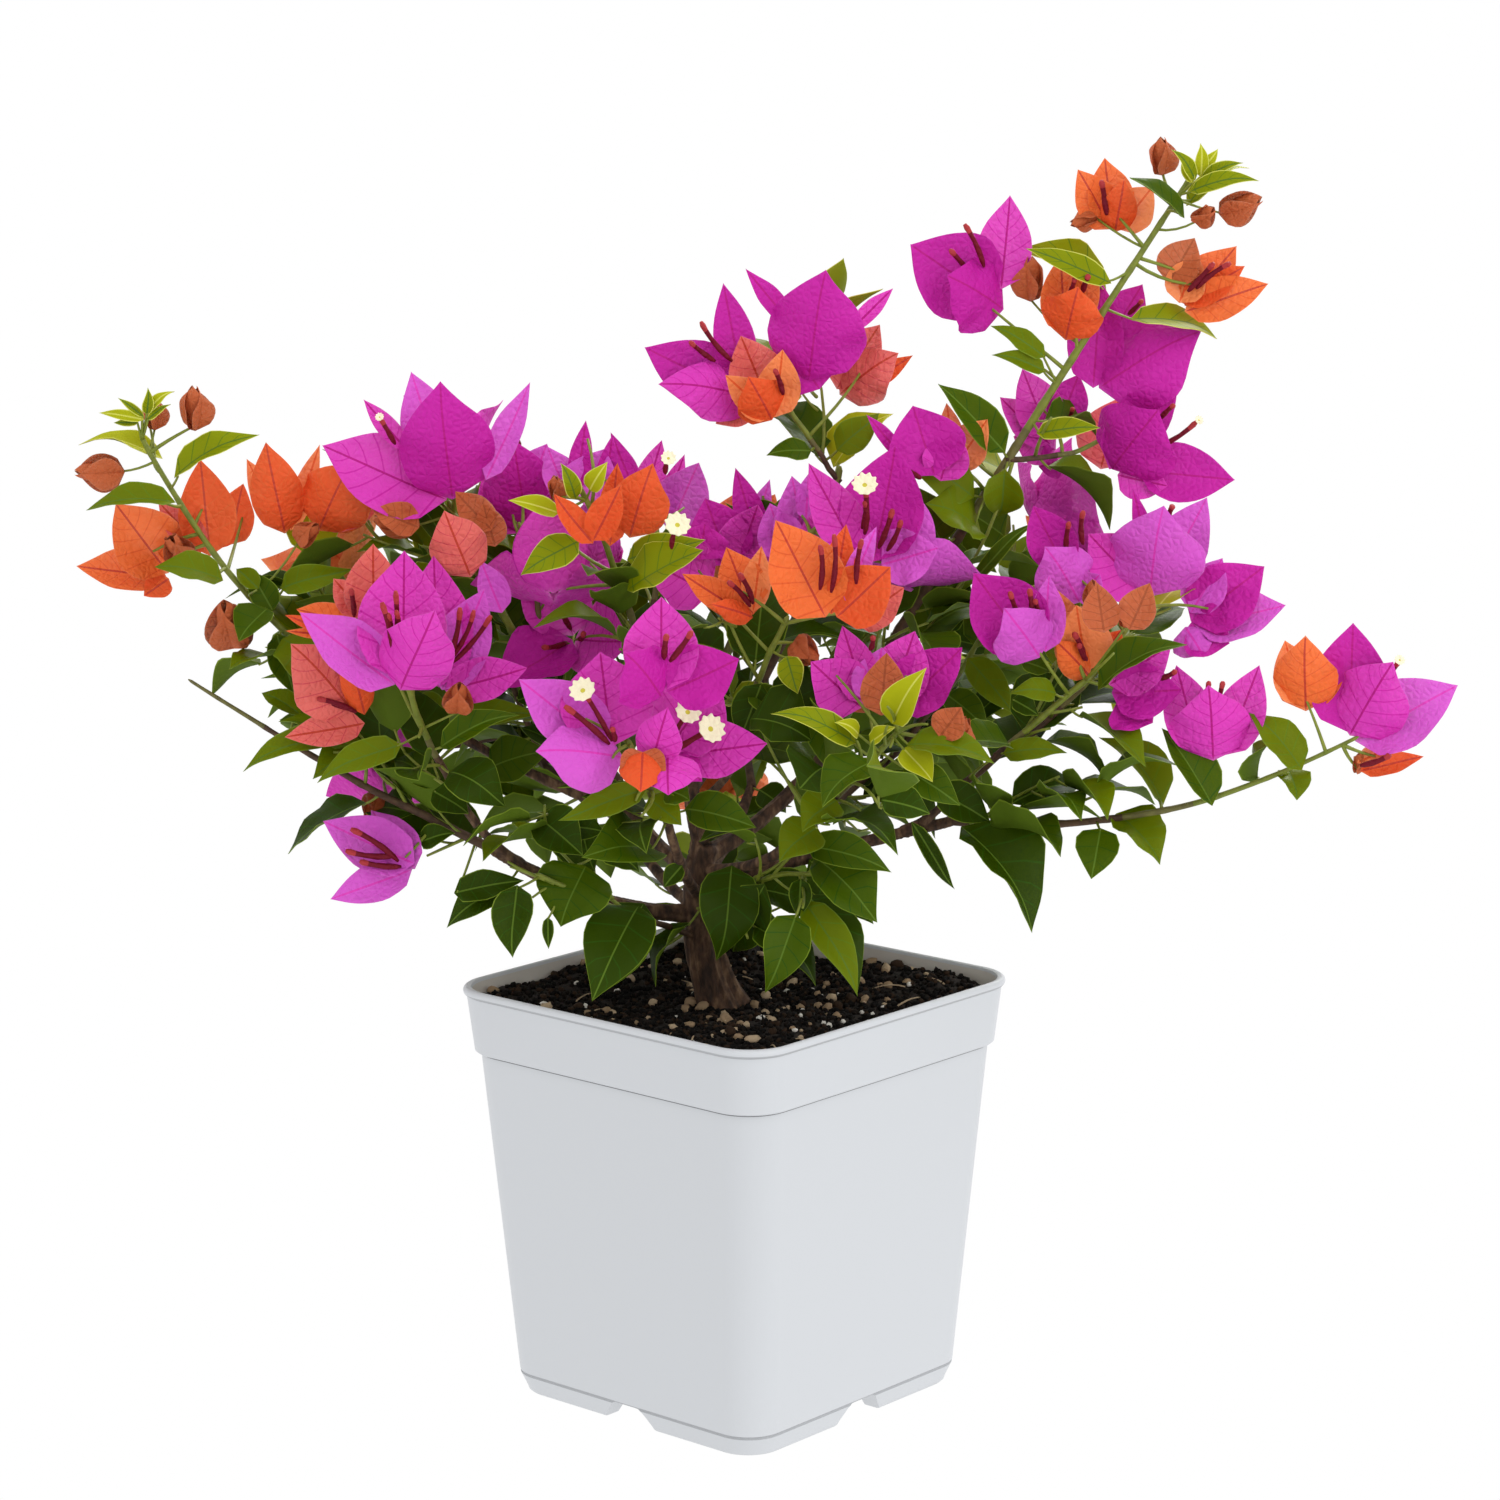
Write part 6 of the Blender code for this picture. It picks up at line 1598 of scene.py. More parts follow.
SIDES = {
    "left": ("upper_left", "left_low", "left_front", "mid_left", "low_left"),
    "middle": ("centre_left", "front", "centre_front", "centre_back", "top"),
    "right": ("front_right", "upper_right", "right", "lower_right", "low_right"),
    "back": ("back", "back_left", "back_right", "back_low"),
}


def masses_of(side):
    masses = grown_plant()[1]
    return [masses["foliage_" + name] for name in SIDES[side]]


# Leaves

LARGE_LEAF = 24  # mm from which a leaf has the finer grid, but for the back of the plant
LEAF_RIM = 0.32
LEAF_RIB = 0.3
LEAF_SKIN = 0.34
BRACT_RIM = 0.4
BRACT_RIB = 0.38
BRACT_SKIN = 0.24

LEAF_GRID = SheetGrid(5, 2, 0.40, 1.25, 0.8, LEAF_RIM, LEAF_RIB, LEAF_SKIN)
SMALL_LEAF_GRID = SheetGrid(3, 1, 0.42, 1.2, 0.7, LEAF_RIM, LEAF_RIB, LEAF_SKIN)
BRACT_GRID = SheetGrid(6, 3, 0.42, 1.15, 0.8, BRACT_RIM, BRACT_RIB, BRACT_SKIN)

# The materials of the leaves, in the order that the tones below number them
LEAF_COLOURS = (
    ("leaf_dark", srgb(46, 66, 1), 0.42),
    ("leaf_deep", srgb(64, 86, 2), 0.42),
    ("leaf_mid", srgb(98, 113, 3), 0.42),
    ("leaf_fresh", srgb(128, 138, 6), 0.45),
    ("leaf_lime", srgb(164, 168, 18), 0.45),
    ("leaf_vein_dark", srgb(46, 78, 12), 0.5),
    ("leaf_vein_mid", srgb(92, 118, 20), 0.5),
    ("leaf_rib_pale", srgb(88, 114, 34), 0.5),
    ("leaf_rim_pale", srgb(108, 130, 34), 0.5),
    ("leaf_rim_lime", srgb(198, 200, 84), 0.5),
    ("leaf_under_dark", srgb(82, 104, 24), 0.6),
    ("leaf_under_fresh", srgb(124, 138, 26), 0.6),
)
LEAF_TONES = {
    "dark": (0, 5, 7, 8, 10),
    "deep": (1, 5, 7, 8, 10),
    "mid": (2, 6, 7, 8, 10),
    "fresh": (3, 6, 7, 9, 11),
    "lime": (4, 4, 9, 9, 11),
}
LEAF_ORDER = ("dark", "deep", "mid", "fresh", "lime")
TIP_TONES = 2.2  # how many tones paler the leaves at a stem's tip are than those at its foot
TONE_SPREAD = 0.7
OFTEN_YOUNG = 0.4
YOUNG = {  # how many tones paler a mass is, where it isn't by OFTEN_YOUNG
    "foliage_upper_left": 1.6,
    "foliage_front_right": 0.2,
    "foliage_upper_right": 0.9,
    "foliage_lower_right": 1.0,
    "foliage_top": 1.0,
    "foliage_centre_left": 1.0,
    "foliage_low_left": -0.4,
    "foliage_low_right": -0.4,
    "foliage_front": 0.1,
}


def leaf_tone(mass, blade, rng):
    """Younger leaves near the tips of the shoots are paler, with a little chance in it."""
    stem = min(mass.stems, key=lambda s: (s.at(s.nearest(blade.anchor)) - blade.anchor).length)
    share = stem.nearest(blade.anchor)
    young = YOUNG.get(mass.node, OFTEN_YOUNG)
    number = 0.2 + TIP_TONES * share ** 1.5 + young + rng.gauss(0, TONE_SPREAD)
    return LEAF_ORDER[int(min(max(number, 0), len(LEAF_ORDER) - 1))]


def is_bud(blade):
    return blade.thickness > 2 * LEAF_THICKNESS


def leaf_sheet(blade, tone, rng):
    return Sheet(
        root=blade.root,
        tip=blade.tip,
        normal=blade.normal,
        width=blade.width * 1.06,
        cup=rng.uniform(0.0, 0.3),
        fold=rng.uniform(0.1, 0.5),
        arch=rng.uniform(0.0, 0.14),
        curl=rng.uniform(0.0, 0.9),
        ripple=rng.uniform(0.02, 0.14),
        phase=rng.random(),
        twist=rng.uniform(-0.5, 0.5),
        tone=tone,
    )


def tinted(colour, tint):
    """A colour made darker or warmer by a tint that is white where nothing changes."""
    return [channel * share for channel, share in zip(colour, tint)]


def tinted_materials(colours, tint, **finish):
    return [plain_material(name, tinted(colour, tint), rough, **finish) for name, colour, rough in colours]


def leaf_materials(settings):
    finish = {"shine": 0.07, "thin": 0.1, "grain": 0.25, "grain_size": 0.9}
    return tinted_materials(LEAF_COLOURS, settings.leaf_tint, **finish)


def draw_leaves(side):
    """The leaves of one side of the plant, joined."""
    joined = Joined()
    for mass in masses_of(side):
        rng = random.Random("leaves " + mass.node)
        large = [leaf_sheet(blade, tone, rng) for blade, tone in mass.seen]
        small = []
        for blade in mass.blades:
            if is_bud(blade):
                continue
            sheet = leaf_sheet(blade, leaf_tone(mass, blade, rng), rng)
            is_large = (blade.tip - blade.root).length > LARGE_LEAF * MM and side != "back"
            (large if is_large else small).append(sheet)
        LEAF_GRID.draw(joined, large, LEAF_TONES)
        SMALL_LEAF_GRID.draw(joined, small, LEAF_TONES)
    return joined


# Blooms

BRACT_COLOURS = (
    ("bract_magenta_deep", srgb(190, 28, 154), 0.55),
    ("bract_magenta", srgb(216, 58, 180), 0.55),
    ("bract_magenta_pale", srgb(212, 84, 200), 0.55),
    ("bract_magenta_vein", srgb(198, 34, 158), 0.55),
    ("bract_magenta_rib", srgb(176, 20, 126), 0.55),
    ("bract_magenta_under", srgb(212, 60, 180), 0.6),
    ("bract_orange_deep", srgb(228, 84, 38), 0.55),
    ("bract_orange", srgb(238, 108, 50), 0.55),
    ("bract_orange_pale", srgb(242, 134, 78), 0.55),
    ("bract_orange_vein", srgb(224, 90, 42), 0.55),
    ("bract_orange_rib", srgb(190, 60, 44), 0.55),
    ("bract_orange_under", srgb(230, 104, 54), 0.6),
    ("bract_salmon", srgb(228, 104, 96), 0.55),
    ("bract_salmon_vein", srgb(210, 74, 82), 0.55),
    ("bud_brown", srgb(188, 94, 54), 0.6),
    ("bud_vein", srgb(160, 78, 44), 0.6),
    ("tube_red", srgb(112, 18, 36), 0.5),
    ("tube_rose", srgb(172, 56, 60), 0.5),
    ("star_cream", srgb(250, 242, 206), 0.6),
    ("star_heart", srgb(206, 196, 70), 0.6),
)
# For each tone, the materials of its skin, veins, midrib, rim and back
BRACT_TONES = {
    "magenta": (1, 3, 4, 1, 5),
    "magenta_deep": (0, 0, 4, 0, 1),
    "magenta_pale": (2, 2, 1, 2, 2),
    "orange": (7, 9, 10, 7, 11),
    "orange_deep": (6, 9, 10, 6, 11),
    "orange_pale": (8, 8, 9, 8, 8),
    "salmon": (12, 13, 10, 12, 12),
    "bud": (14, 15, 15, 14, 14),
}
TUBE_RED, TUBE_ROSE, STAR_CREAM, STAR_HEART = 16, 17, 18, 19
SHADES = {
    "magenta": ("magenta", "magenta", "magenta_deep", "magenta_pale"),
    "orange": ("orange", "orange", "orange_deep", "orange_pale"),
    "salmon": ("salmon", "salmon", "orange_deep"),
    "magenta_painted_shade": ("magenta_deep", "magenta_deep", "magenta"),
}
# Magenta blooms behind the trunk take deeper tones, as painted shade inside the crown
BEHIND = 12  # mm behind the trunk from which the blooms are of a deeper shade
TUBE_LENGTH = 0.42  # of its bract's length
TUBE_RADIUS = 1.15
MOUTH_LOBES = 10
MOUTH_RINGS = (0.22, 0.26, 0.2, 0.14)  # how wide each ring of faces is, from the edge inwards


# Blooms as they are seen, in the order of their mass's list of blooms: first their bracts, each with
# where its foot and tip are seen (across and up), how far the tip lies behind the foot, its width and
# maybe a tone. Rows of five values are flowers: foot, tip, and the size of the open mouth, which is 0 or
# less for one that is shut. All in mm.
Bract = namedtuple("Bract", "foot_across foot_up tip_across tip_up behind width tone", defaults=(None,))
Flower = namedtuple("Flower", "foot_across foot_up tip_across tip_up mouth")
FLOWER_VALUES = len(Flower._fields)


def bracts_and_flowers(rows):
    bracts = [Bract(*row) for row in rows if len(row) > FLOWER_VALUES]
    return bracts, [Flower(*row) for row in rows if len(row) == FLOWER_VALUES]


SHAPED_BLOOMS = {
    "foliage_upper_left": (
        ((-202, 305, -220, 330, -4, 27), (-203, 304, -235, 308, -2, 17),
         (-202, 303, -211, 297, -6, 11, "orange_deep"), (-201, 307, -194, 322, 8, 17)),
        ((-187, 311, -189, 346, 4, 22), (-189, 313, -205, 331, 2, 13)),
        ((-160, 319, -166, 352, -10, 20), (-160, 320, -173, 346, 4, 12, "orange_pale"),
         (-158, 320, -147, 351, 2, 9, "orange_pale"), (-148, 320, -136, 344, -10, 29),
         (-147, 322, -125, 330, 6, 12, "salmon")),
        ((-180, 315, -175, 337, 0, 16, "orange_deep"), (-180, 321, -183, 314, -4, 9)),
    ),
    "foliage_left_low": (
        ((-116, 198, -149, 214, -2, 21, "magenta_pale"), (-117, 196, -147, 185, -6, 15, "magenta_pale"),
         (-116, 196, -131, 219, 8, 16, "magenta_pale"), (-122, 199, -139, 211, -1),
         (-123, 201, -141, 203, -1), (-121, 197, -136, 199, -1)),
    ),
    "foliage_left_front": (
        ((-119, 265, -118, 313, 10, 33), (-122, 264, -155, 291, -2, 22), (-120, 262, -107, 291, -16, 28),
         (-122, 275, -126, 294, -1), (-121, 275, -121, 298, -1), (-123, 277, -124, 290, -1),
         (-120, 277, -121, 291, -1)),
        ((-106, 263, -107, 311, 10, 27), (-105, 262, -89, 299, 6, 22), (-104, 262, -74, 270, -6, 17),
         (-103, 272, -98, 292, -1), (-102, 273, -93, 291, -1), (-101, 272, -87, 289, -1)),
        ((-137, 254, -158, 279, -9, 27), (-133, 253, -139, 280, -16, 12, "orange_deep"),
         (-133, 250, -162, 245, -6, 13), (-137, 255, -154, 262, -1), (-136, 254, -150, 259, -1)),
        ((-129, 286, -129, 315, 0, 21, "salmon"), (-132, 289, -143, 303, 2, 13, "salmon"),
         (-136, 286, -157, 292, 2, 11), (-144, 283, -161, 290, 2, 5), (-143, 282, -161, 284, 2, 4),
         (-136, 289, -137, 299, -1)),
    ),
    "foliage_mid_left": (
        ((-100, 331, -104, 372, -12, 36), (-102, 338, -114, 377, 8, 22, "magenta_pale"),
         (-102, 331, -146, 351, 0, 31), (-88, 338, -72, 373, 2, 12), (-116, 349, -131, 367, 2, 8),
         (-120, 351, -125, 360, 3)),
        ((-73, 318, -78, 352, -10, 30), (-74, 331, -66, 351, 4, 18, "magenta_pale"),
         (-76, 319, -88, 342, 2, 25), (-76, 350, -77, 354, -1)),
        ((-94, 303, -103, 327, -8, 22), (-83, 290, -90, 309, 0, 12, "magenta_pale")),
        ((-112, 321, -128, 328, -4, 13, "bud"), (-86, 320, -99, 334, 0, 13, "bud"),
         (-85, 314, -89, 330, 0, 12, "bud")),
    ),
    "foliage_centre_left": (
        ((-37, 317, -29, 343, -8, 22), (-44, 314, -41, 344, 2, 12, "orange_deep"), (-24, 340, -23, 345, 5)),
        ((-50, 315, -64, 333, -4, 10, "orange_deep"), (-50, 316, -40, 336, -4, 13, "orange_deep"),
         (-22, 313, -20, 321, 8.6)),
        ((-56, 334, -52, 359, 0, 9), (-53, 329, -46, 349, 0, 22, "magenta_pale"),
         (-46, 331, -43, 354, -1, 8), (-58, 331, -66, 350, 0, 14, "magenta_pale")),
        ((-33, 329, -43, 355, 0, 9), (-33, 327, -25, 352, 2, 12),
         (-23, 320, -12, 344, -4, 22, "magenta_pale"), (-26, 323, -17, 347, 4, 9)),
        ((10, 312, 1, 342, 2, 12), (-1, 307, -10, 331, 0, 25), (4, 309, 13, 338, 4, 11, "magenta_pale"),
         (1, 305, 9, 329, -6, 22)),
    ),
    "foliage_front": (
        ((-44, 241, -48, 276, 10, 34), (-46, 241, -77, 266, -2, 24), (-40, 237, -71, 240, -16, 27),
         (-45, 242, -61, 256, -1), (-44, 243, -54, 261, 8.6), (-43, 243, -44, 248, 0)),
        ((-30, 233, -24, 255, -10, 17), (-24, 239, -24, 224, -16, 24)),
        ((-24, 239, -6, 267, 8, 30), (-22, 238, 12, 242, -2, 22), (-25, 237, -12, 229, -12, 15),
         (-24, 242, -17, 253, 8.6), (-22, 239, -9, 247, 9.6)),
        ((-26, 261, -26, 296, 8, 27), (-24, 261, 2, 273, 0, 24), (-26, 259, -38, 275, -14, 25),
         (-25, 273, -24, 282, -1), (-23, 272, -15, 283, -1)),
        ((-33, 239, -34, 224, -10, 16, "orange_deep"), (-33, 239, -41, 230, -4, 10, "bud"),
         (-33, 239, -25, 230, -4, 10, "bud")),
    ),
    "foliage_centre_front": (
        ((7, 289, -2, 314, 6, 18), (7, 290, 10, 314, 4, 11), (5, 289, -18, 304, -6, 12),
         (7, 288, -8, 293, -12, 9), (6, 292, -2, 301, -1), (7, 293, 2, 304, -1)),
        ((33, 288, 16, 323, -4, 28, "orange"), (35, 289, 40, 322, 8, 14, "orange_deep"),
         (37, 288, 56, 306, -4, 24, "orange_deep"), (40, 294, 51, 321, 4, 9, "magenta_pale"),
         (31, 298, 31, 314, -1), (35, 297, 36, 318, -1), (44, 300, 46, 316, -1)),
        ((43, 286, 61, 299, 0, 19),),
        ((-8, 297, -30, 309, 0, 27), (-12, 309, -10, 322, 2, 22)),
    ),
    "foliage_centre_back": (
        ((28, 303, 21, 339, 2, 23, "magenta_pale"), (35, 303, 37, 332, -8, 27), (20, 309, 13, 329, 0, 18),
         (26, 323, 27, 340, 3, 9, "magenta_pale")),
        ((50, 308, 58, 350, 8, 32), (47, 307, 27, 343, -2, 19), (53, 307, 73, 313, -6, 22),
         (47, 318, 47, 335, 8.6), (46, 320, 47, 330, -1), (52, 313, 57, 327, -1), (55, 312, 60, 323, -1)),
    ),
    "foliage_top": (
        ((27, 373, 33, 412, -12, 38), (23, 391, 5, 413, 4, 9), (42, 391, 57, 406, 4, 7),
         (31, 370, 20, 386, 4, 29)),
        ((4, 368, -31, 385, -2, 25), (4, 370, -3, 408, 8, 16), (8, 367, -25, 373, -14, 23),
         (7, 366, -6, 358, -4, 14, "salmon"), (0, 380, -11, 394, -1), (-6, 380, -15, 387, -1)),
        ((14, 360, -2, 375, -4, 14), (15, 360, 18, 384, 0, 17), (14, 359, 6, 374, -10, 20, "orange_deep"),
         (18, 368, 15, 377, -1)),
        ((37, 370, 52, 393, 0, 21), (38, 368, 58, 383, -8, 22), (43, 369, 64, 382, 2, 9)),
        ((13, 365, 3, 389, 0, 22), (6, 364, -7, 362, 0, 11)),
    ),
    "foliage_upper_right": (
        ((134, 426, 122, 447, 0, 17), (135, 426, 131, 451, 6, 18), (136, 426, 148, 441, 0, 18),
         (135, 425, 138, 443, -8, 14, "orange_deep"), (132, 431, 130, 443, -1)),
        ((93, 401, 63, 421, 0, 35), (95, 405, 98, 438, 8, 21), (96, 398, 76, 410, -14, 30),
         (89, 413, 82, 428, -1), (85, 410, 77, 419, -1)),
        ((118, 389, 116, 417, 4, 18), (120, 390, 128, 415, 2, 13),
         (118, 387, 122, 405, -12, 24, "orange_deep"), (119, 403, 121, 409, -1), (124, 404, 126, 410, -1)),
        ((160, 399, 178, 420, 6, 18), (159, 400, 181, 413, -2, 13), (160, 397, 189, 407, -6, 17),
         (158, 400, 164, 417, 0, 16), (161, 404, 170, 414, -1), (164, 405, 176, 414, -1)),
        ((154, 407, 163, 423, 0, 17, "bud"),),
        ((130, 370, 165, 391, -8, 36), (128, 370, 130, 408, 0, 22), (133, 387, 145, 407, 4, 17),
         (140, 396, 145, 401, -1)),
        ((134, 341, 158, 378, 4, 22), (135, 341, 151, 362, -12, 36), (144, 341, 179, 337, 0, 23),
         (137, 339, 155, 335, -4, 17), (149, 348, 165, 358, 3.2), (152, 359, 157, 364, -1)),
        ((113, 350, 95, 367, 0, 15), (113, 352, 103, 377, 0, 19), (116, 357, 123, 375, 2, 16),
         (115, 348, 100, 353, 0, 18), (116, 344, 109, 342, -2, 14, "magenta_deep"),
         (120, 357, 121, 363, -1)),
        ((131, 341, 137, 367, 4, 24),),
        ((72, 339, 64, 364, 0, 30), (61, 345, 48, 361, 0, 6), (74, 337, 79, 355, 2, 18),
         (67, 338, 61, 342, -1)),
        ((79, 344, 76, 365, 0, 10), (79, 342, 90, 359, -4, 17)),
    ),
    "foliage_right": (
        ((108, 275, 86, 304, 6, 29), (110, 273, 98, 290, -12, 25), (112, 275, 113, 303, 4, 14),
         (103, 286, 99, 297, -1), (107, 287, 106, 298, -1), (110, 287, 108, 294, -1)),
        ((127, 269, 113, 300, 4, 14, "orange_pale"), (127, 268, 123, 292, -6, 22),
         (130, 268, 139, 283, 0, 14, "orange_deep"), (128, 266, 116, 279, -8, 13),
         (126, 272, 122, 282, -1), (127, 272, 124, 278, -1)),
        ((133, 282, 130, 300, 0, 14, "bud"), (142, 283, 149, 300, 0, 14, "bud")),
        ((124, 293, 112, 313, -10, 27), (123, 294, 131, 303, -4, 18), (119, 305, 107, 328, 2, 19),
         (119, 311, 120, 322, -1), (125, 314, 125, 326, -1)),
        ((149, 295, 153, 327, -10, 38), (151, 297, 169, 331, 6, 23), (148, 296, 127, 318, 2, 26),
         (149, 308, 143, 334, 2, 7), (155, 323, 157, 328, -1)),
        ((164, 286, 190, 306, 0, 26), (165, 285, 198, 292, -2, 22), (163, 284, 178, 278, -6, 22),
         (162, 284, 169, 273, -8, 17), (164, 289, 175, 309, 3, 17)),
        ((135, 263, 157, 278, 0, 22), (136, 260, 161, 261, -4, 22), (138, 257, 151, 249, -6, 23),
         (153, 265, 159, 268, -1)),
        ((173, 235, 171, 262, -10, 30), (168, 238, 159, 270, 4, 19), (177, 237, 189, 270, 4, 19),
         (171, 254, 171, 264, -1), (174, 254, 176, 264, -1)),
    ),
    "foliage_lower_right": (
        ((206, 253, 205, 280, -8, 24), (205, 255, 198, 279, 4, 17), (209, 255, 219, 276, 4, 11)),
        ((222, 245, 222, 285, 2, 30), (222, 244, 237, 271, -10, 30), (224, 242, 260, 263, -4, 27),
         (235, 264, 239, 271, 3.6)),
        ((225, 234, 242, 243, 0, 8), (226, 231, 249, 237, 0, 9), (226, 233, 237, 237, -1)),
    ),
    "foliage_front_right": (
        ((46, 255, 28, 272, -2, 23), (48, 256, 39, 285, 4, 16), (50, 256, 53, 277, 2, 18),
         (49, 276, 50, 281, -1)),
        ((56, 256, 65, 283, 4, 22), (58, 254, 82, 277, 0, 23)),
        ((47, 253, 41, 270, 0, 13, "bud"),),
        ((53, 252, 55, 275, -2, 17, "bud"),),
        ((74, 244, 82, 255, 0, 13, "bud"),),
    ),
}
SEEN_WIDTH = 0.95  # of the listed width
SAME_SHADE = 0.8  # the chance that a bract by rule is of its bloom's own shade
SEEN_FROM_OUTSIDE = -7  # mm in front of its foot that a bract's tip lies, when its back is what shows


def seen_bract(star, row, colour, rng):
    """A listed bract, from its foot to its tip, at the depth of its bloom."""
    depth = star.foot.y / MM
    root = place(row.foot_across, row.foot_up, depth)
    outside = row.behind <= SEEN_FROM_OUTSIDE
    # magenta bracts behind the trunk take deeper tones: painted shade inside the crown
    shades = SHADES["magenta_painted_shade" if colour == "magenta" and depth > BEHIND else colour]
    tone = row.tone or rng.choice(shades)
    return Sheet(
        root=root,
        tip=place(row.tip_across, row.tip_up, depth + row.behind),
        normal=(EYE - root).normalized() + UP * 0.25,
        width=row.width * SEEN_WIDTH,
        cup=rng.uniform(-0.5, -0.35) if outside else rng.uniform(0.28, 0.45),
        fold=0.0 if outside else 0.08,
        arch=0.07 if outside else -0.05,
        curl=rng.uniform(-0.1, 0.5),
        ripple=rng.uniform(0.08, 0.15),
        phase=rng.random(),
        twist=rng.uniform(-0.25, 0.25),
        tone=tone,
    )


def rule_bracts(star, colour, rng):
    """The three bracts of a bloom by rule: they start along its axis and bend outwards like a cup."""
    size = star.size * MM
    sheets = []
    tone = rng.choice(SHADES[colour])
    for bract in range(3):
        middle = 2 * math.pi * bract / 3 + rng.uniform(-0.12, 0.12)
        opening = math.radians(star.opening) * rng.uniform(0.85, 1.05)
        out = star.first * math.cos(middle) + star.second * math.sin(middle)
        along = star.way * math.cos(opening) + out * math.sin(opening)
        inward = star.way * math.sin(opening) - out * math.cos(opening)
        root = star.foot + along * (0.03 * size)
        length = size * rng.uniform(0.98, 1.06)
        sheets.append(Sheet(
            root=root,
            tip=star.foot + along * length,
            normal=inward,
            width=star.size * BRACT_WIDTH * rng.uniform(0.84, 0.96),
            cup=rng.uniform(0.3, 0.5),
            fold=rng.uniform(0.0, 0.1),
            arch=rng.uniform(-0.12, -0.05),
            curl=rng.uniform(0.3, 1.0),
            ripple=rng.uniform(0.05, 0.12),
            phase=rng.random(),
            twist=rng.uniform(-0.2, 0.2),
            tone=tone if rng.random() < SAME_SHADE else rng.choice(SHADES[colour]),
        ))
    return sheets


def bud_sheets(blade, rng):
    """A closed bud of three bracts."""
    way = (blade.tip - blade.root).normalized()
    first, second = square_to(way, rng.uniform(0, 2))
    length = (blade.tip - blade.root).length
    sheets = []
    for bract in range(3):
        middle = 2 * math.pi * bract / 3
        out = first * math.cos(middle) + second * math.sin(middle)
        along = (way + out * 0.12).normalized()
        sheets.append(Sheet(
            root=blade.root,
            tip=blade.root + along * length,
            normal=(way * 0.2 - out).normalized(),
            width=length / MM * 0.8,
            cup=rng.uniform(0.6, 0.75),
            fold=0.1,
            arch=-0.1,
            curl=-0.35,
            ripple=0.03,
            phase=rng.random(),
            twist=rng.uniform(-0.1, 0.1),
            tone="bud",
        ))
    return sheets


def draw_flower(joined, foot, tip, radius, rng):
    """A true flower: a slim tube, swollen at its foot and a little at its shut end."""
    shares = (0.0, 0.12, 0.35, 0.6, 0.8, 0.92, 1.0)
    widths = (0.45, 0.85, 1.0, 0.78, 0.85, 1.0, 0.6)
    length = (tip - foot).length
    bow = square_to((tip - foot).normalized(), rng.uniform(0, 6))[0] * (0.06 * length)
    points = [foot.lerp(tip, s) + bow * (4 * s * (1 - s)) for s in shares]
    add_tube(joined, points, [radius * MM * w for w in widths], 8, [TUBE_RED] * 4 + [TUBE_ROSE] * 2)


def rule_flowers(joined, star, rng):
    """Three closed flowers, one up from the midrib of each bract."""
    size = star.size * MM
    opening = math.radians(star.opening)
    for bract in range(3):
        middle = 2 * math.pi * bract / 3
        out = star.first * math.cos(middle) + star.second * math.sin(middle)
        lean = opening * rng.uniform(0.35, 0.6)
        along = star.way * math.cos(lean) + out * math.sin(lean)
        foot = star.foot + (star.way * math.cos(opening) + out * math.sin(opening)) * (0.1 * size)
        tip = foot + along * (size * TUBE_LENGTH * rng.uniform(0.9, 1.1))
        draw_flower(joined, foot, tip, TUBE_RADIUS, rng)


def seen_flower(joined, star, row, pattern, rng):
    """A listed flower, in front of its bracts, with its open mouth if it has one."""
    depth = star.foot.y / MM
    foot = place(row.foot_across, row.foot_up, depth - 3)
    tip = place(row.tip_across, row.tip_up, depth - 7)
    radius = TUBE_RADIUS * rng.uniform(0.85, 1.05)
    draw_flower(joined, foot, tip, radius, rng)
    if row.mouth > 0:
        way = ((tip - foot).normalized() + (EYE - tip).normalized() * 1.3).normalized()
        draw_mouth(joined, pattern, tip + way * (1.6 * MM), way, row.mouth * 1.1, rng)


def draw_mouth(joined, pattern, centre, way, size, rng):
    """The frilled cream mouth of an open flower."""
    corners, quads, tints = pattern
    first, second = square_to(way, rng.uniform(0, 6))
    half = size / 2 * MM
    points = [tuple(centre + (first * c.x + second * c.y + way * c.z) * half) for c in corners]
    joined.add(points, quads, np.empty((0, 3)), tints, STAR_CREAM)


def mouth_pattern():
    """Corners, faces and colours of an open flower, modelled from a circle and then copied."""
    deselect_all()
    bpy.ops.mesh.primitive_circle_add(vertices=8 * MOUTH_LOBES, radius=1.0, fill_type="NGON")
    mouth = bpy.context.object
    bpy.ops.object.mode_set(mode="EDIT")
    bpy.ops.mesh.select_all(action="SELECT")
    for inset in MOUTH_RINGS:
        bpy.ops.mesh.inset(thickness=inset)
    bpy.ops.mesh.poke()
    bpy.ops.object.mode_set(mode="OBJECT")
    for vert in mouth.data.vertices:
        out = math.hypot(vert.co.x, vert.co.y)
        angle = math.atan2(vert.co.y, vert.co.x)
        lobe = math.cos(MOUTH_LOBES / 2 * angle) ** 2
        reach = 1 - 0.15 * (1 - lobe) * max(0.0, out - 0.3) / 0.7
        vert.co.x *= reach
        vert.co.y *= reach
        vert.co.z = 0.16 * out - 0.1 * (1 - out) + 0.08 * math.cos(MOUTH_LOBES * angle) * out ** 3
    slab = mouth.modifiers.new("skin", "SOLIDIFY")
    slab.thickness = 0.07
    slab.offset = -1.0
    finer = mouth.modifiers.new("smooth", "SUBSURF")
    finer.levels = 1
    apply_modifiers(mouth)
    corners = [v.co.copy() for v in mouth.data.vertices]
    faces = mouth.data.polygons
    quads = [tuple(f.vertices) for f in faces]
    tints = [STAR_HEART if f.center.xy.length < 0.2 else STAR_CREAM for f in faces]
    bpy.data.objects.remove(mouth, do_unlink=True)
    return corners, quads, tints


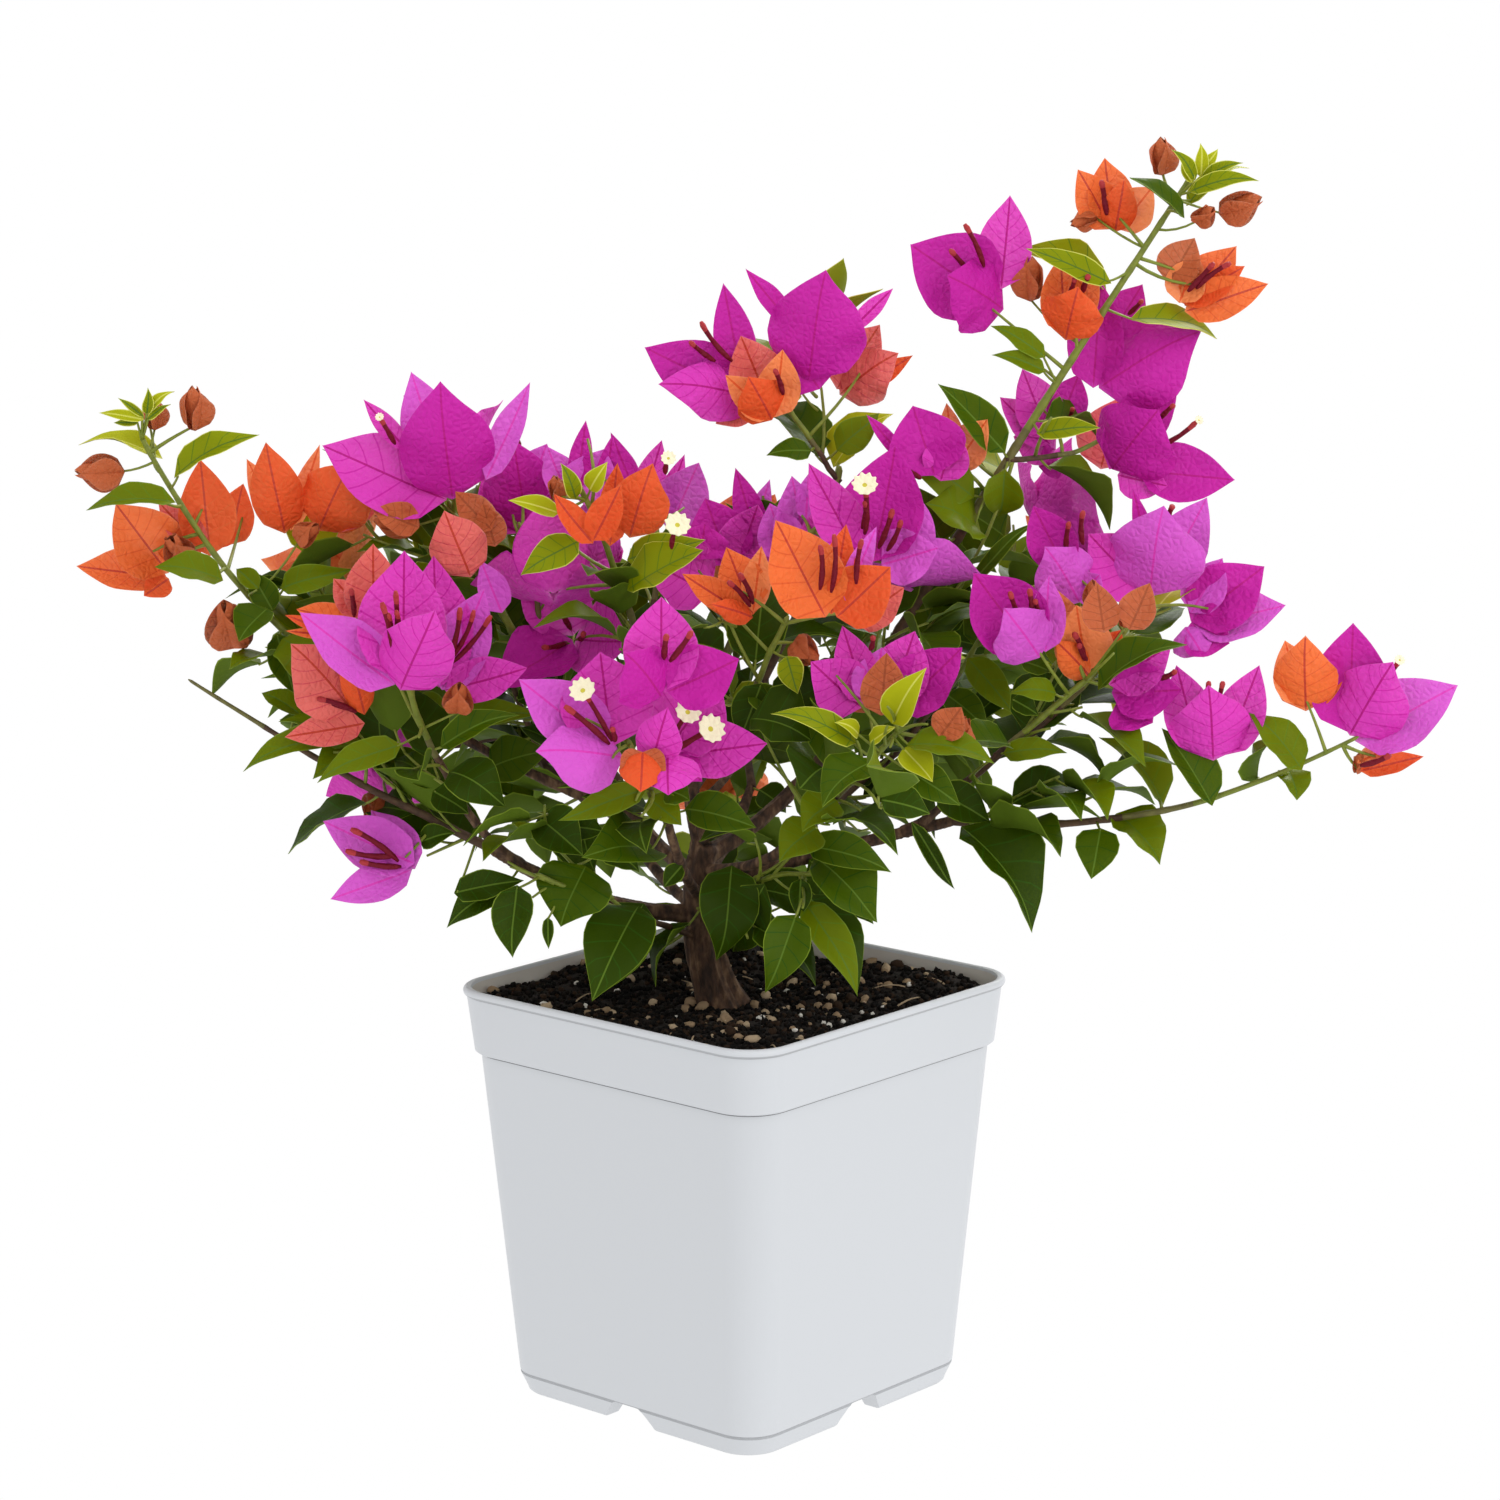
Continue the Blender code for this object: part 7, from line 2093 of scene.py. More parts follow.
def draw_blooms(side):
    """Bracts, buds and the flowers among them, of one side of the plant."""
    joined = Joined()
    pattern = mouth_pattern()
    for mass in masses_of(side):
        rng = random.Random("blooms " + mass.node)
        shaped = SHAPED_BLOOMS.get(mass.node, ())
        sheets = []
        for number, (star, colour) in enumerate(zip(mass.stars, mass.colours)):
            if number < len(shaped):
                bracts, flowers = bracts_and_flowers(shaped[number])
                sheets += [seen_bract(star, row, colour, rng) for row in bracts]
                for row in flowers:
                    seen_flower(joined, star, row, pattern, rng)
            else:
                sheets += rule_bracts(star, colour, rng)
                rule_flowers(joined, star, rng)
        for blade in mass.blades:
            if is_bud(blade):
                sheets += bud_sheets(blade, rng)
        BRACT_GRID.draw(joined, sheets, BRACT_TONES)
    return joined


def bract_materials(settings):
    finish = {"shine": 0.14, "thin": 0.16, "grain": 0.6, "grain_size": 1.6, "net": 2.6}
    return tinted_materials(BRACT_COLOURS, settings.bract_tint, **finish)


# Twigs

TWIG_COLOURS = (
    ("twig_brown", (srgb(62, 42, 28), srgb(94, 68, 44)), 0.75),
    ("twig_olive", (srgb(88, 82, 38), srgb(110, 106, 50)), 0.62),
    ("twig_green", (srgb(98, 110, 24), srgb(124, 134, 36)), 0.55),
    ("stalk_green", (srgb(110, 124, 28), srgb(132, 142, 44)), 0.55),
)
TWIG_BROWN, TWIG_OLIVE, TWIG_GREEN, STALK_GREEN = range(4)
# Up to what share of its length a stem is woody, and elsewhere half of it
WOODY = {
    "foliage_upper_left": 0.35,
    "foliage_left_low": 1.1,
    "foliage_upper_right": 0.55,
    "foliage_lower_right": 0.6,
}
STEM_RING = 2.6  # mm between the rings of a stem
SWAY = 0.9  # mm
NODE_SWELL = 0.16  # how much a stem swells where a leaf stands, as a share of its radius
STALK_RADII = (0.55, 0.42)  # mm
STALK_SAG = 0.1  # of its length, at most
TWIG_BOW = (0.03, 0.09)  # of its length
LONG_STALK = 26.0  # mm
STALK_BACK = 0.05  # how far back along its stem a stalk starts, as a share of the stem


def bent_tube(joined, start, end, bow, radii, sides, tint, steps):
    points = [start.lerp(end, s / steps) + bow * (4 * s / steps * (1 - s / steps)) for s in range(steps + 1)]
    widths = [(radii[0] + (radii[1] - radii[0]) * s / steps) * MM for s in range(steps + 1)]
    add_tube(joined, points, widths, sides, tint)


def draw_stem(joined, mass, stem):
    """A stem with the swellings where its leaves stand, brown at its foot and green at its tip."""
    steps = max(6, round(stem.length() / (STEM_RING * MM)))
    points, widths, tints = [], [], []
    woody = WOODY.get(mass.node, 0.5)
    for i in range(steps + 1):
        share = i / steps
        sway = Vector([noise.noise(Vector((share * 4, k * 7.3, len(mass.node)))) for k in range(3)])
        points.append(stem.at(share) + sway * (SWAY * MM * min(1, 6 * share)))
        swell = 1.0 + NODE_SWELL * max(0.0, math.cos(share * steps * 0.85)) ** 6
        widths.append(stem.radius(share) * swell)
        if i < steps:
            tints.append(TWIG_BROWN if share < woody * 0.7 else TWIG_OLIVE if share < woody else TWIG_GREEN)
    points[0] = points[0] - stem.way(0) * (1.2 * MM)
    points.append(points[-1] + stem.way(1.0) * (1.5 * MM))
    widths.append(widths[-1] * 0.4)
    tints.append(tints[-1])
    add_tube(joined, points, widths, 10, tints)


def bears_leaves(mass, start, end):
    """True for a twig that leaves stand on, between its foot and its tip."""
    for blade in mass.blades:
        share = (blade.anchor - start).dot(end - start) / (end - start).length_squared
        if 0.15 < share < 0.9 and (blade.anchor - start.lerp(end, share)).length < 1.5 * MM:
            return True
    return False


def taken_nearer(mass, start, end):
    """Where a stalk leaves its stem: one that would be long leaves it nearer to what it bears."""
    length = (end - start).length
    if length < LONG_STALK * MM:
        return start
    spots = [stem.at(max(0.02, stem.nearest(end) - STALK_BACK)) for stem in mass.stems]
    nearest = min(spots, key=lambda spot: (spot - end).length)
    return nearest if (nearest - end).length < 0.8 * length else start


def draw_twigs(side):
    """Stems, twigs and the stalks of leaves and blooms, of one side of the plant."""
    joined = Joined()
    for mass in masses_of(side):
        rng = random.Random("twigs " + mass.node)
        for stem in mass.stems:
            draw_stem(joined, mass, stem)
        for tube in mass.tubes:
            start, end = tube.points
            ends_in_bloom = any((end - star.foot).length < TWIG_BEARS * MM for star in mass.stars)
            if ends_in_bloom and not bears_leaves(mass, start, end):
                start = taken_nearer(mass, start, end)
            radii = [r / MM * 1.05 for r in tube.radii]
            side_way = square_to((end - start).normalized(), rng.uniform(0, 6))[0]
            bow = side_way * ((end - start).length * rng.uniform(*TWIG_BOW))
            bent_tube(joined, start, end, bow, (max(radii), min(radii)), 6, STALK_GREEN, 5)
        for blade in mass.blades + [blade for blade, _ in mass.seen]:
            start = taken_nearer(mass, blade.anchor, blade.root)
            apart = (blade.root - start).length
            if apart > 0.5 * MM:
                reach = blade.root.lerp(blade.tip, 0.05)
                sag = -UP * (apart * rng.uniform(0.0, STALK_SAG))
                bent_tube(joined, start, reach, sag, STALK_RADII, 5, STALK_GREEN, 4)
    return joined


def twig_materials():
    return [
        mottled_material(name, colours, rough, (3.0, 0.8), bump_strength=0.3)
        for name, colours, rough in TWIG_COLOURS
    ]


# Bark

BARK_VOXEL = 0.55
GROOVE_DEPTH = 0.8
BARK_STEP = 2.0
GROOVE_PITCH = (0.55, 0.55, 0.06)  # per mm: across the limb both ways, and along it
GROOVE_EDGE = 3.2
KNOTS, FINE_BARK = 190, 900  # per metre
RELIEF_SHARES = (0.8, 0.5, 0.2)  # of the grooves, the knots and the fine roughness
FORK_SWELL = 0.55  # how much thicker a bough starts, as a share of its radius
FORK_REACH = 5  # mm over which most of that fades


def limb_line(limb, below=0.0, beyond=0.0):
    """Points and radii down a limb at short steps, from `below` its foot to `beyond` its tip, in mm."""
    steps = max(4, round(limb.length() / (BARK_STEP * MM)))
    points = [limb.at(i / steps) for i in range(steps + 1)]
    radii = [limb.radius(i / steps) for i in range(steps + 1)]
    if below:
        points.insert(0, points[0] - limb.way(0.0) * (below * MM))
        radii.insert(0, radii[0])
    if beyond:
        points.append(points[-1] + limb.way(1.0) * (beyond * MM))
        radii.append(radii[-1] * 0.85)
    return points, radii


def limb_curve(name, points, radii):
    """A limb as a bevelled curve, made a mesh."""
    curve = bpy.data.curves.new(name, "CURVE")
    curve.dimensions = "3D"
    curve.bevel_depth = 1.0
    curve.bevel_resolution = 8
    curve.use_fill_caps = True
    spline = curve.splines.new("POLY")
    spline.points.add(len(points) - 1)
    for spot, point, radius in zip(spline.points, points, radii):
        spot.co = (*point, 1.0)
        spot.radius = radius
    obj = bpy.data.objects.new(name, curve)
    bpy.context.scene.collection.objects.link(obj)
    pick(obj)
    bpy.ops.object.convert(target="MESH")
    return bpy.context.object


def flare_foot(obj, limb):
    """Spreads the trunk's foot into root lobes that run down into the soil."""
    for vert in obj.data.vertices:
        height = max(vert.co.z / MM - GROUND, -1.5)
        centre = limb.at(limb.nearest(vert.co, 1.0))
        out = Vector((vert.co.x - centre.x, vert.co.y - centre.y, 0))
        if out.length < 1e-6:
            continue
        lobe = 0.75 + 0.25 * math.cos(FLARE_LOBES * math.atan2(out.y, out.x))
        vert.co += out.normalized() * (FLARE * lobe * math.exp(-height / FLARE_HEIGHT) * MM)


def bark_relief(obj, limbs, grooves):
    """Grooves that run along each limb, with knots and a fine roughness, pressed into the mesh."""
    spots = []
    for limb in limbs:
        for i in range(41):
            spots.append((limb, i / 40))
    tree = kdtree.KDTree(len(spots))
    for number, (limb, share) in enumerate(spots):
        tree.insert(limb.at(share), number)
    tree.balance()
    moved = []
    for vert in obj.data.vertices:
        limb, share = spots[tree.find(vert.co)[1]]
        way = limb.way(share)
        first, second = square_to(way)
        off = vert.co - limb.at(share)
        angle = math.atan2(off.dot(second), off.dot(first))
        along = share * limb.length() / MM
        thick = limb.radius(share) / MM
        round_spot = Vector((math.cos(angle), math.sin(angle), 0)) * thick
        spot = (round_spot.x, round_spot.y, along)
        stretched = Vector([value * pitch for value, pitch in zip(spot, GROOVE_PITCH)])
        groove = noise.noise(stretched + Vector((3, 1, thick)))
        ridge = 1 - abs(groove) * GROOVE_EDGE
        knots = noise.noise(vert.co * KNOTS)
        fine = noise.noise(vert.co * FINE_BARK)
        depth = grooves * min(1.0, thick / 5)
        parts = zip((ridge, knots, fine), RELIEF_SHARES)
        moved.append(vert.normal * (sum(part * share for part, share in parts) * depth))
    for vert, step in zip(obj.data.vertices, moved):
        vert.co += step


def build_bark(settings):
    """Trunk and boughs as one skin of bark, joined smoothly where they fork."""
    limbs, _ = grown_plant()
    trunk = limbs["trunk"]
    points, radii = limb_line(trunk, below=3.0, beyond=1.0)
    base = limb_curve("bark", points, radii)
    flare_foot(base, trunk)
    pieces = [base]
    for plan in BOUGHS:
        points, radii = limb_line(limbs[plan.name], beyond=1.5)
        start = radii[0]
        radii = [r + start * FORK_SWELL * math.exp(-i * BARK_STEP / FORK_REACH) for i, r in enumerate(radii)]
        pieces.append(limb_curve(plan.node + "_bark", points, radii))
    deselect_all()
    for piece in pieces:
        piece.select_set(True)
    bpy.context.view_layer.objects.active = base
    bpy.ops.object.join()
    remesh = base.modifiers.new("skin", "REMESH")
    remesh.mode = "VOXEL"
    remesh.voxel_size = settings.bark_voxel
    soften = base.modifiers.new("soften", "SMOOTH")
    soften.factor = 0.6
    soften.iterations = 3
    apply_modifiers(base)
    bark_relief(base, [trunk] + [limbs[plan.name] for plan in BOUGHS], settings.groove_depth)
    smooth(base)
    wear(base, [bark_material()])
    return base


def bark_material():
    return mottled_material(
        "bark_brown",
        (srgb(44, 28, 18), srgb(80, 55, 37), srgb(122, 94, 68)),
        0.82,
        (2.6, 0.7),
        stretch=(1, 1, 0.35),
        bump_strength=0.6,
    )


# Pot

def pot_profile():
    """Half width, corner radius and height down the outside, over the lip and down inside, in mm."""
    collar_foot = POT_HEIGHT - COLLAR_DEPTH
    lip_foot = POT_HEIGHT - LIP_HEIGHT
    floor = SEAM_HEIGHT + FLOOR_THICKNESS
    inner_corner = CORNER_RADIUS - WALL
    rows = [
        (FOOT_HALF - 1.6, FOOT_CORNER_RADIUS - 1.6, 0.0),
        (FOOT_HALF - 0.7, FOOT_CORNER_RADIUS - 0.7, 0.25),
        (FOOT_HALF - 0.1, FOOT_CORNER_RADIUS - 0.1, 0.9),
        (FOOT_HALF + 0.1, FOOT_CORNER_RADIUS, 1.9),
        (SEAM_HALF - 0.1, FOOT_CORNER_RADIUS, SEAM_HEIGHT - 0.7),
        (SEAM_HALF - 0.35, FOOT_CORNER_RADIUS, SEAM_HEIGHT - 0.3),
        (SEAM_HALF - 0.35, FOOT_CORNER_RADIUS, SEAM_HEIGHT),
        (SEAM_HALF + 0.05, FOOT_CORNER_RADIUS, SEAM_HEIGHT + 0.5),
        (WALL_TOP_HALF - 0.1, CORNER_RADIUS, collar_foot - 0.8),
        (WALL_TOP_HALF + 0.1, CORNER_RADIUS, collar_foot - 0.2),
        (COLLAR_FOOT_HALF - 0.5, CORNER_RADIUS, collar_foot),
        (COLLAR_FOOT_HALF, CORNER_RADIUS, collar_foot + 0.5),
        (RIM_HALF - LIP_PROUD - 0.2, CORNER_RADIUS, lip_foot - 0.3),
    ]
    middle = (LIP_HEIGHT + 0.3) / 2
    for i in range(9):
        angle = -math.pi / 2 + math.pi * i / 8
        half = RIM_HALF - LIP_WIDTH / 2 + LIP_WIDTH / 2 * math.cos(angle)
        rows.append((half, CORNER_RADIUS, POT_HEIGHT - middle + middle * math.sin(angle)))
    inner = RIM_HALF - LIP_WIDTH
    rows += [
        (inner + 0.4, inner_corner + 0.4, POT_HEIGHT - 0.3),
        (inner, inner_corner, POT_HEIGHT - 1.2),
        (COLLAR_FOOT_HALF - WALL, inner_corner, collar_foot + WALL),
        (inner_half(collar_foot - WALL), inner_corner, collar_foot - WALL),
        (inner_half(floor), inner_corner, floor),
    ]
    return rows


def inner_half(height):
    share = (height - SEAM_HEIGHT) / (POT_HEIGHT - COLLAR_DEPTH - SEAM_HEIGHT)
    return SEAM_HALF + (WALL_TOP_HALF - SEAM_HALF) * share - WALL


SHARP_FROM = 32  # degrees between two faces from which their edge stays sharp


def build_pot(settings):
    """The pot's skin, drawn up from a plane by extrusion, with the feet cut out below."""
    rows = pot_profile()
    deselect_all()
    bpy.ops.mesh.primitive_plane_add(size=2 * rows[0][0] * MM)
    pot = bpy.context.object
    pot.name = "pot_skin"
    bpy.ops.object.mode_set(mode="EDIT")
    bpy.ops.mesh.select_all(action="SELECT")
    corner = rows[0][1] * MM
    bpy.ops.mesh.bevel(offset=corner, offset_type="OFFSET", segments=12, affect="VERTICES", profile=0.5)
    bpy.ops.mesh.select_all(action="SELECT")
    for low, high in zip(rows, rows[1:]):
        share = high[0] / low[0]
        bpy.ops.mesh.extrude_region_move(TRANSFORM_OT_translate={"value": (0, 0, (high[2] - low[2]) * MM)})
        bpy.ops.transform.resize(value=(share, share, 1.0), center_override=(0, 0, high[2] * MM))
    bpy.ops.mesh.select_all(action="SELECT")
    bpy.ops.mesh.normals_make_consistent(inside=False)
    bpy.ops.object.mode_set(mode="OBJECT")
    pot.rotation_euler = (0, 0, math.radians(POT_TURN))
    settle(pot)
    for cutter in foot_cutters():
        cut = pot.modifiers.new("foot", "BOOLEAN")
        cut.operation = "DIFFERENCE"
        cut.object = cutter
        apply_modifiers(pot)
        bpy.data.objects.remove(cutter, do_unlink=True)
    add_hub(pot)
    smooth(pot)
    pick(pot)
    bpy.ops.object.shade_smooth_by_angle(angle=math.radians(SHARP_FROM))
    wear(pot, pot_materials(settings))
    for face in pot.data.polygons:
        face.material_index = pot_tint(face.center / MM, face.normal)
    return pot


def pot_tint(middle, normal):
    """Which of the pot's materials a face takes, by its height and by whether it looks in or out."""
    inward = normal.x * middle.x + normal.y * middle.y < 0
    if SEAM_HEIGHT < middle.z < POT_HEIGHT - 1.0 and (inward or normal.z > 0.9):
        return POT_INSIDE
    collar_foot = POT_HEIGHT - COLLAR_DEPTH
    # the strip under the collar's step takes a painted shadow, the one that the step casts
    if collar_foot - 0.9 < middle.z < collar_foot + 0.1:
        return POT_PAINTED_SHADOW
    # the crease under the lip and the step at the seam take a lighter painted shade
    if abs(middle.z - (POT_HEIGHT - LIP_HEIGHT)) < 0.5 or abs(middle.z - SEAM_HEIGHT + 0.2) < 0.6:
        return POT_PAINTED_CREASE_SHADE
    return POT_SKIN


def foot_cutters():
    """The recess under the floor and two bars with sloping flanks that part the feet."""
    deselect_all()
    bpy.ops.mesh.primitive_cube_add(size=1.0, rotation=(0, 0, math.radians(POT_TURN)))
    recess = bpy.context.object
    width = 2 * (FOOT_HALF - FOOT_WIDTH) * MM
    recess.scale = (width, width, 2 * SEAM_HEIGHT * MM)
    settle(recess)
    cutters = [recess]
    for side in range(2):
        deselect_all()
        bpy.ops.mesh.primitive_cube_add(size=1.0)
        notch = bpy.context.object
        for vert in notch.data.vertices:
            width = NOTCH_TOP if vert.co.z > 0 else 2 * NOTCH_FOOT - NOTCH_TOP
            vert.co.x *= width * MM
            vert.co.y *= 3 * RIM_HALF * MM
            vert.co.z *= 2 * (SEAM_HEIGHT - 0.1) * MM
        bevel = notch.modifiers.new("round", "BEVEL")
        bevel.width = 2.5 * MM
        bevel.segments = 4
        apply_modifiers(notch)
        notch.rotation_euler = (0, 0, math.radians(POT_TURN + 90 * side))
        settle(notch)
        cutters.append(notch)
    return cutters


def add_hub(pot):
    """The round hub under the middle of the floor that the pot also stands on."""
    height = (SEAM_HEIGHT + FLOOR_THICKNESS / 2) * MM
    deselect_all()
    middle = (0, 0, height / 2)
    bpy.ops.mesh.primitive_cylinder_add(vertices=48, radius=HUB_RADIUS * MM, depth=height, location=middle)
    hub = bpy.context.object
    join = pot.modifiers.new("hub", "BOOLEAN")
    join.operation = "UNION"
    join.object = hub
    apply_modifiers(pot)
    bpy.data.objects.remove(hub, do_unlink=True)


POT_SKIN, POT_PAINTED_SHADOW, POT_PAINTED_CREASE_SHADE, POT_INSIDE = range(4)
# How dark the painted shadow under the collar and the painted shade under the lip and at the seam are, as
# shares of the pot's colour
LINE_SHADE = 0.32
SEAM_SHADE = 0.7


def pot_materials(settings):
    """The plastic, and darker lines of painted shade in its steps: a painted shadow under the collar, and
    painted shade under the lip and at the seam.
    """
    colour = settings.colour
    rough = settings.roughness
    return [
        plain_material("pot_grey", colour, rough, shine=0.4, grain=0.02, grain_size=0.8),
        plain_material("pot_line", [c * LINE_SHADE for c in colour], rough, shine=0.2),
        plain_material("pot_seam", [c * SEAM_SHADE for c in colour], rough, shine=0.3),
        plain_material("pot_inside", srgb(204, 198, 190), rough, shine=0.2, grain=0.1, grain_size=1.2),
    ]


# Soil

SOIL_CELL = 0.9
CLODS, GRAINS = 260, 620  # per metre
SOIL_HALF = 71.9
SOIL_FLOOR = 135.0
SOIL_DRAWN_IN = 0.97  # how much narrower the slab is at its floor
HEAPS = (  # across, back, height and size, in mm
    (-62, 38, 5.5, 50),
    (60, 40, 5.5, 48),
    (0, 84, 6.0, 40),
    (-90, 4, 4.5, 34),
    (90, 8, 3.5, 32),
)
CRUMBS = 5200
PEBBLES = 150
GRITS = 90
ROOT_BITS = 46
# Pebbles at the trunk's foot: how far aside of it and behind it, and their size, in mm
FOOT_PEBBLES = ((-12, -3, 2.6), (-8, -9, 2.9), (-14, -9, 1.8), (11, -6, 1.6))
EDGE_SPARE = 2.2  # mm that crumbs keep from the pot
TRUNK_SPARE = 8.5  # mm that they keep from the middle of the trunk


def soil_height(x, y):
    """How high the soil lies, in mm, at a place in metres."""
    bumps = noise.noise(Vector((x, y, 0.3)) / (MOUND_SIZE * MM))
    foot = place(*TRUNK_FOOT)
    apart = math.hypot(x - foot.x, y - foot.y) / MM
    rise = min(1.0, max(0.0, (apart - TRUNK_CLEARING) / TRUNK_CLEARING))
    clods = noise.noise(Vector((x, y, 1.7)) * CLODS) * 0.8 + noise.noise(Vector((x, y, 4.1)) * GRAINS) * 0.55
    for across, back, height, size in HEAPS:
        far = math.hypot(x / MM - across, y / MM - back) / size
        clods += height * max(0.0, 1 - far * far) ** 2
    return SOIL_LEVEL + SOIL_MOUND * bumps * rise + clods * 1.1 - 0.3


def inside_pot(x, y, spare):
    """How a place lies in the rounded square of the soil: a share under 1 is inside."""
    turn = math.radians(-POT_TURN)
    u = abs(x * math.cos(turn) - y * math.sin(turn)) / MM
    v = abs(x * math.sin(turn) + y * math.cos(turn)) / MM
    half = SOIL_HALF - spare
    radius = CORNER_RADIUS
    du, dv = max(u - (half - radius), 0), max(v - (half - radius), 0)
    if du and dv:
        return (half - radius + math.hypot(du, dv)) / half
    return max(u, v) / half


def build_soil_bed():
    """The top of the soil, an uneven slab clipped to the inside of the pot."""
    half = SOIL_HALF
    count = round(2 * half / SOIL_CELL)
    deselect_all()
    bpy.ops.mesh.primitive_grid_add(x_subdivisions=count, y_subdivisions=count, size=2 * half * MM)
    bed = bpy.context.object
    bed.name = "soil_bed"
    bed.rotation_euler = (0, 0, math.radians(POT_TURN))
    settle(bed)
    pick_faces(bed, lambda middle, normal: inside_pot(middle.x, middle.y, 0.0) > 1.0)
    bpy.ops.mesh.delete(type="FACE")
    bpy.ops.mesh.select_all(action="SELECT")
    bpy.ops.mesh.extrude_region_move(TRANSFORM_OT_translate={"value": (0, 0, SOIL_FLOOR * MM)})
    bpy.ops.mesh.select_all(action="SELECT")
    bpy.ops.mesh.normals_make_consistent(inside=False)
    bpy.ops.object.mode_set(mode="OBJECT")
    for vert in bed.data.vertices:
        top = vert.co.z > SOIL_FLOOR / 2 * MM
        if top:
            vert.co.z = soil_height(vert.co.x, vert.co.y) * MM
        else:
            vert.co = (vert.co.x * SOIL_DRAWN_IN, vert.co.y * SOIL_DRAWN_IN, SOIL_FLOOR * MM)
    smooth(bed)
    colours = (srgb(16, 11, 8), srgb(42, 30, 21))
    wear(bed, [mottled_material("soil_dark", colours, 0.95, (1.8, 0.5), bump_strength=0.8)])
    return bed


def lump(kind, rng):
    """Points of a rough lump of unit size, from an icosphere that was modelled once."""
    corners, faces = kind
    shape = []
    shift_by = Vector([rng.uniform(-50, 50) for _ in range(3)])
    stretch = Vector((rng.uniform(0.8, 1.25), rng.uniform(0.8, 1.25), rng.uniform(0.6, 1.0)))
    turn = Matrix.Rotation(rng.uniform(0, 6.3), 3, "Z") @ Matrix.Rotation(rng.uniform(0, 6.3), 3, "X")
    for corner in corners:
        rough = 1 + 0.38 * noise.noise(corner * 1.7 + shift_by)
        shape.append(turn @ (corner * stretch * rough))
    return shape, faces


def unit_lump(subdivisions):
    deselect_all()
    bpy.ops.mesh.primitive_ico_sphere_add(subdivisions=subdivisions, radius=1.0)
    obj = bpy.context.object
    corners = [v.co.copy() for v in obj.data.vertices]
    faces = [tuple(f.vertices) for f in obj.data.polygons]
    bpy.data.objects.remove(obj, do_unlink=True)
    return corners, faces


def build_crumbs(settings):
    """Crumbs of bark and peat, tan pebbles, white grit and bits of root on the soil."""
    rng = random.Random("soil")
    coarse, fine = unit_lump(1), unit_lump(2)
    joined = Joined()
    foot = place(*TRUNK_FOOT)
    half = RIM_HALF * 1.3 * MM

    def scatter(count, kind, sizes, tints, sunk):
        left = count
        while left:
            x, y = rng.uniform(-half, half), rng.uniform(-half, half)
            apart = math.hypot(x - foot.x, y - foot.y)
            if inside_pot(x, y, EDGE_SPARE) > 1.0 or apart < TRUNK_SPARE * MM:
                continue
            size = rng.uniform(*sizes) * MM
            shape, faces = lump(kind, rng)
            at = Vector((x, y, soil_height(x, y) * MM + size * (0.6 - sunk)))
            joined.add([tuple(at + p * size) for p in shape], np.empty((0, 4)), faces, 0, rng.choice(tints))
            left -= 1

    scatter(settings.crumbs, coarse, (0.45, 1.5), (0, 0, 0, 1, 1, 2), 0.3)
    scatter(settings.pebbles, fine, (0.8, 2.4), (3, 3, 4, 2), 0.2)
    for aside, behind, size in FOOT_PEBBLES:
        shape, faces = lump(fine, rng)
        at = foot + Vector((aside, behind, 0)) * MM
        at.z = (soil_height(at.x, at.y) + 0.4 * size) * MM
        joined.add([tuple(at + p * size * MM) for p in shape], np.empty((0, 4)), faces, 0, 3)
    scatter(GRITS, fine, (0.5, 1.2), (5, 5, 4), 0.2)
    for _ in range(ROOT_BITS):
        x, y = rng.uniform(-half, half), rng.uniform(-half, half)
        if inside_pot(x, y, 8.0) > 1.0:
            continue
        angle = rng.uniform(0, math.pi)
        length = rng.uniform(5, 14) * MM
        start = Vector((x, y, soil_height(x, y) * MM + 0.6 * MM))
        end = start + Vector((math.cos(angle), math.sin(angle), 0)) * length
        if inside_pot(end.x, end.y, 2.0) > 1.0:
            continue
        end.z = soil_height(end.x, end.y) * MM + 0.6 * MM
        bow = Vector((0, 0, rng.uniform(0.3, 1.2))) * MM
        bent_tube(joined, start, end, bow, (rng.uniform(0.25, 0.5), 0.2), 5, 4, 5)
    return joined


SOIL_COLOURS = (
    ("crumb_black", srgb(11, 8, 6), 0.95),
    ("crumb_brown", srgb(24, 17, 11), 0.95),
    ("crumb_bark", srgb(50, 35, 23), 0.9),
    ("pebble_tan", srgb(150, 126, 98), 0.8),
    ("pebble_pale", srgb(182, 160, 130), 0.8),
    ("grit_white", srgb(226, 222, 212), 0.85),
)


def soil_materials():
    return [
        plain_material(name, colour, rough, shine=0.2, grain=0.5, grain_size=0.5)
        for name, colour, rough in SOIL_COLOURS
    ]


# Stage

# In metres
FLOOR_SIZE = 6.0
BACKDROP_HEIGHT = 4.0
SWEEP_RADIUS = 1.2
LAMPS = (  # name, place, what it shines at, and size
    ("key", (-1.1, -1.3, 1.7), (0, 0, 0.25), 0.7),
    ("fill", (1.5, -1.2, 0.8), (0, 0, 0.25), 1.2),
    ("back", (0.6, 1.1, 1.3), (0, 0, 0.3), 0.8),
)


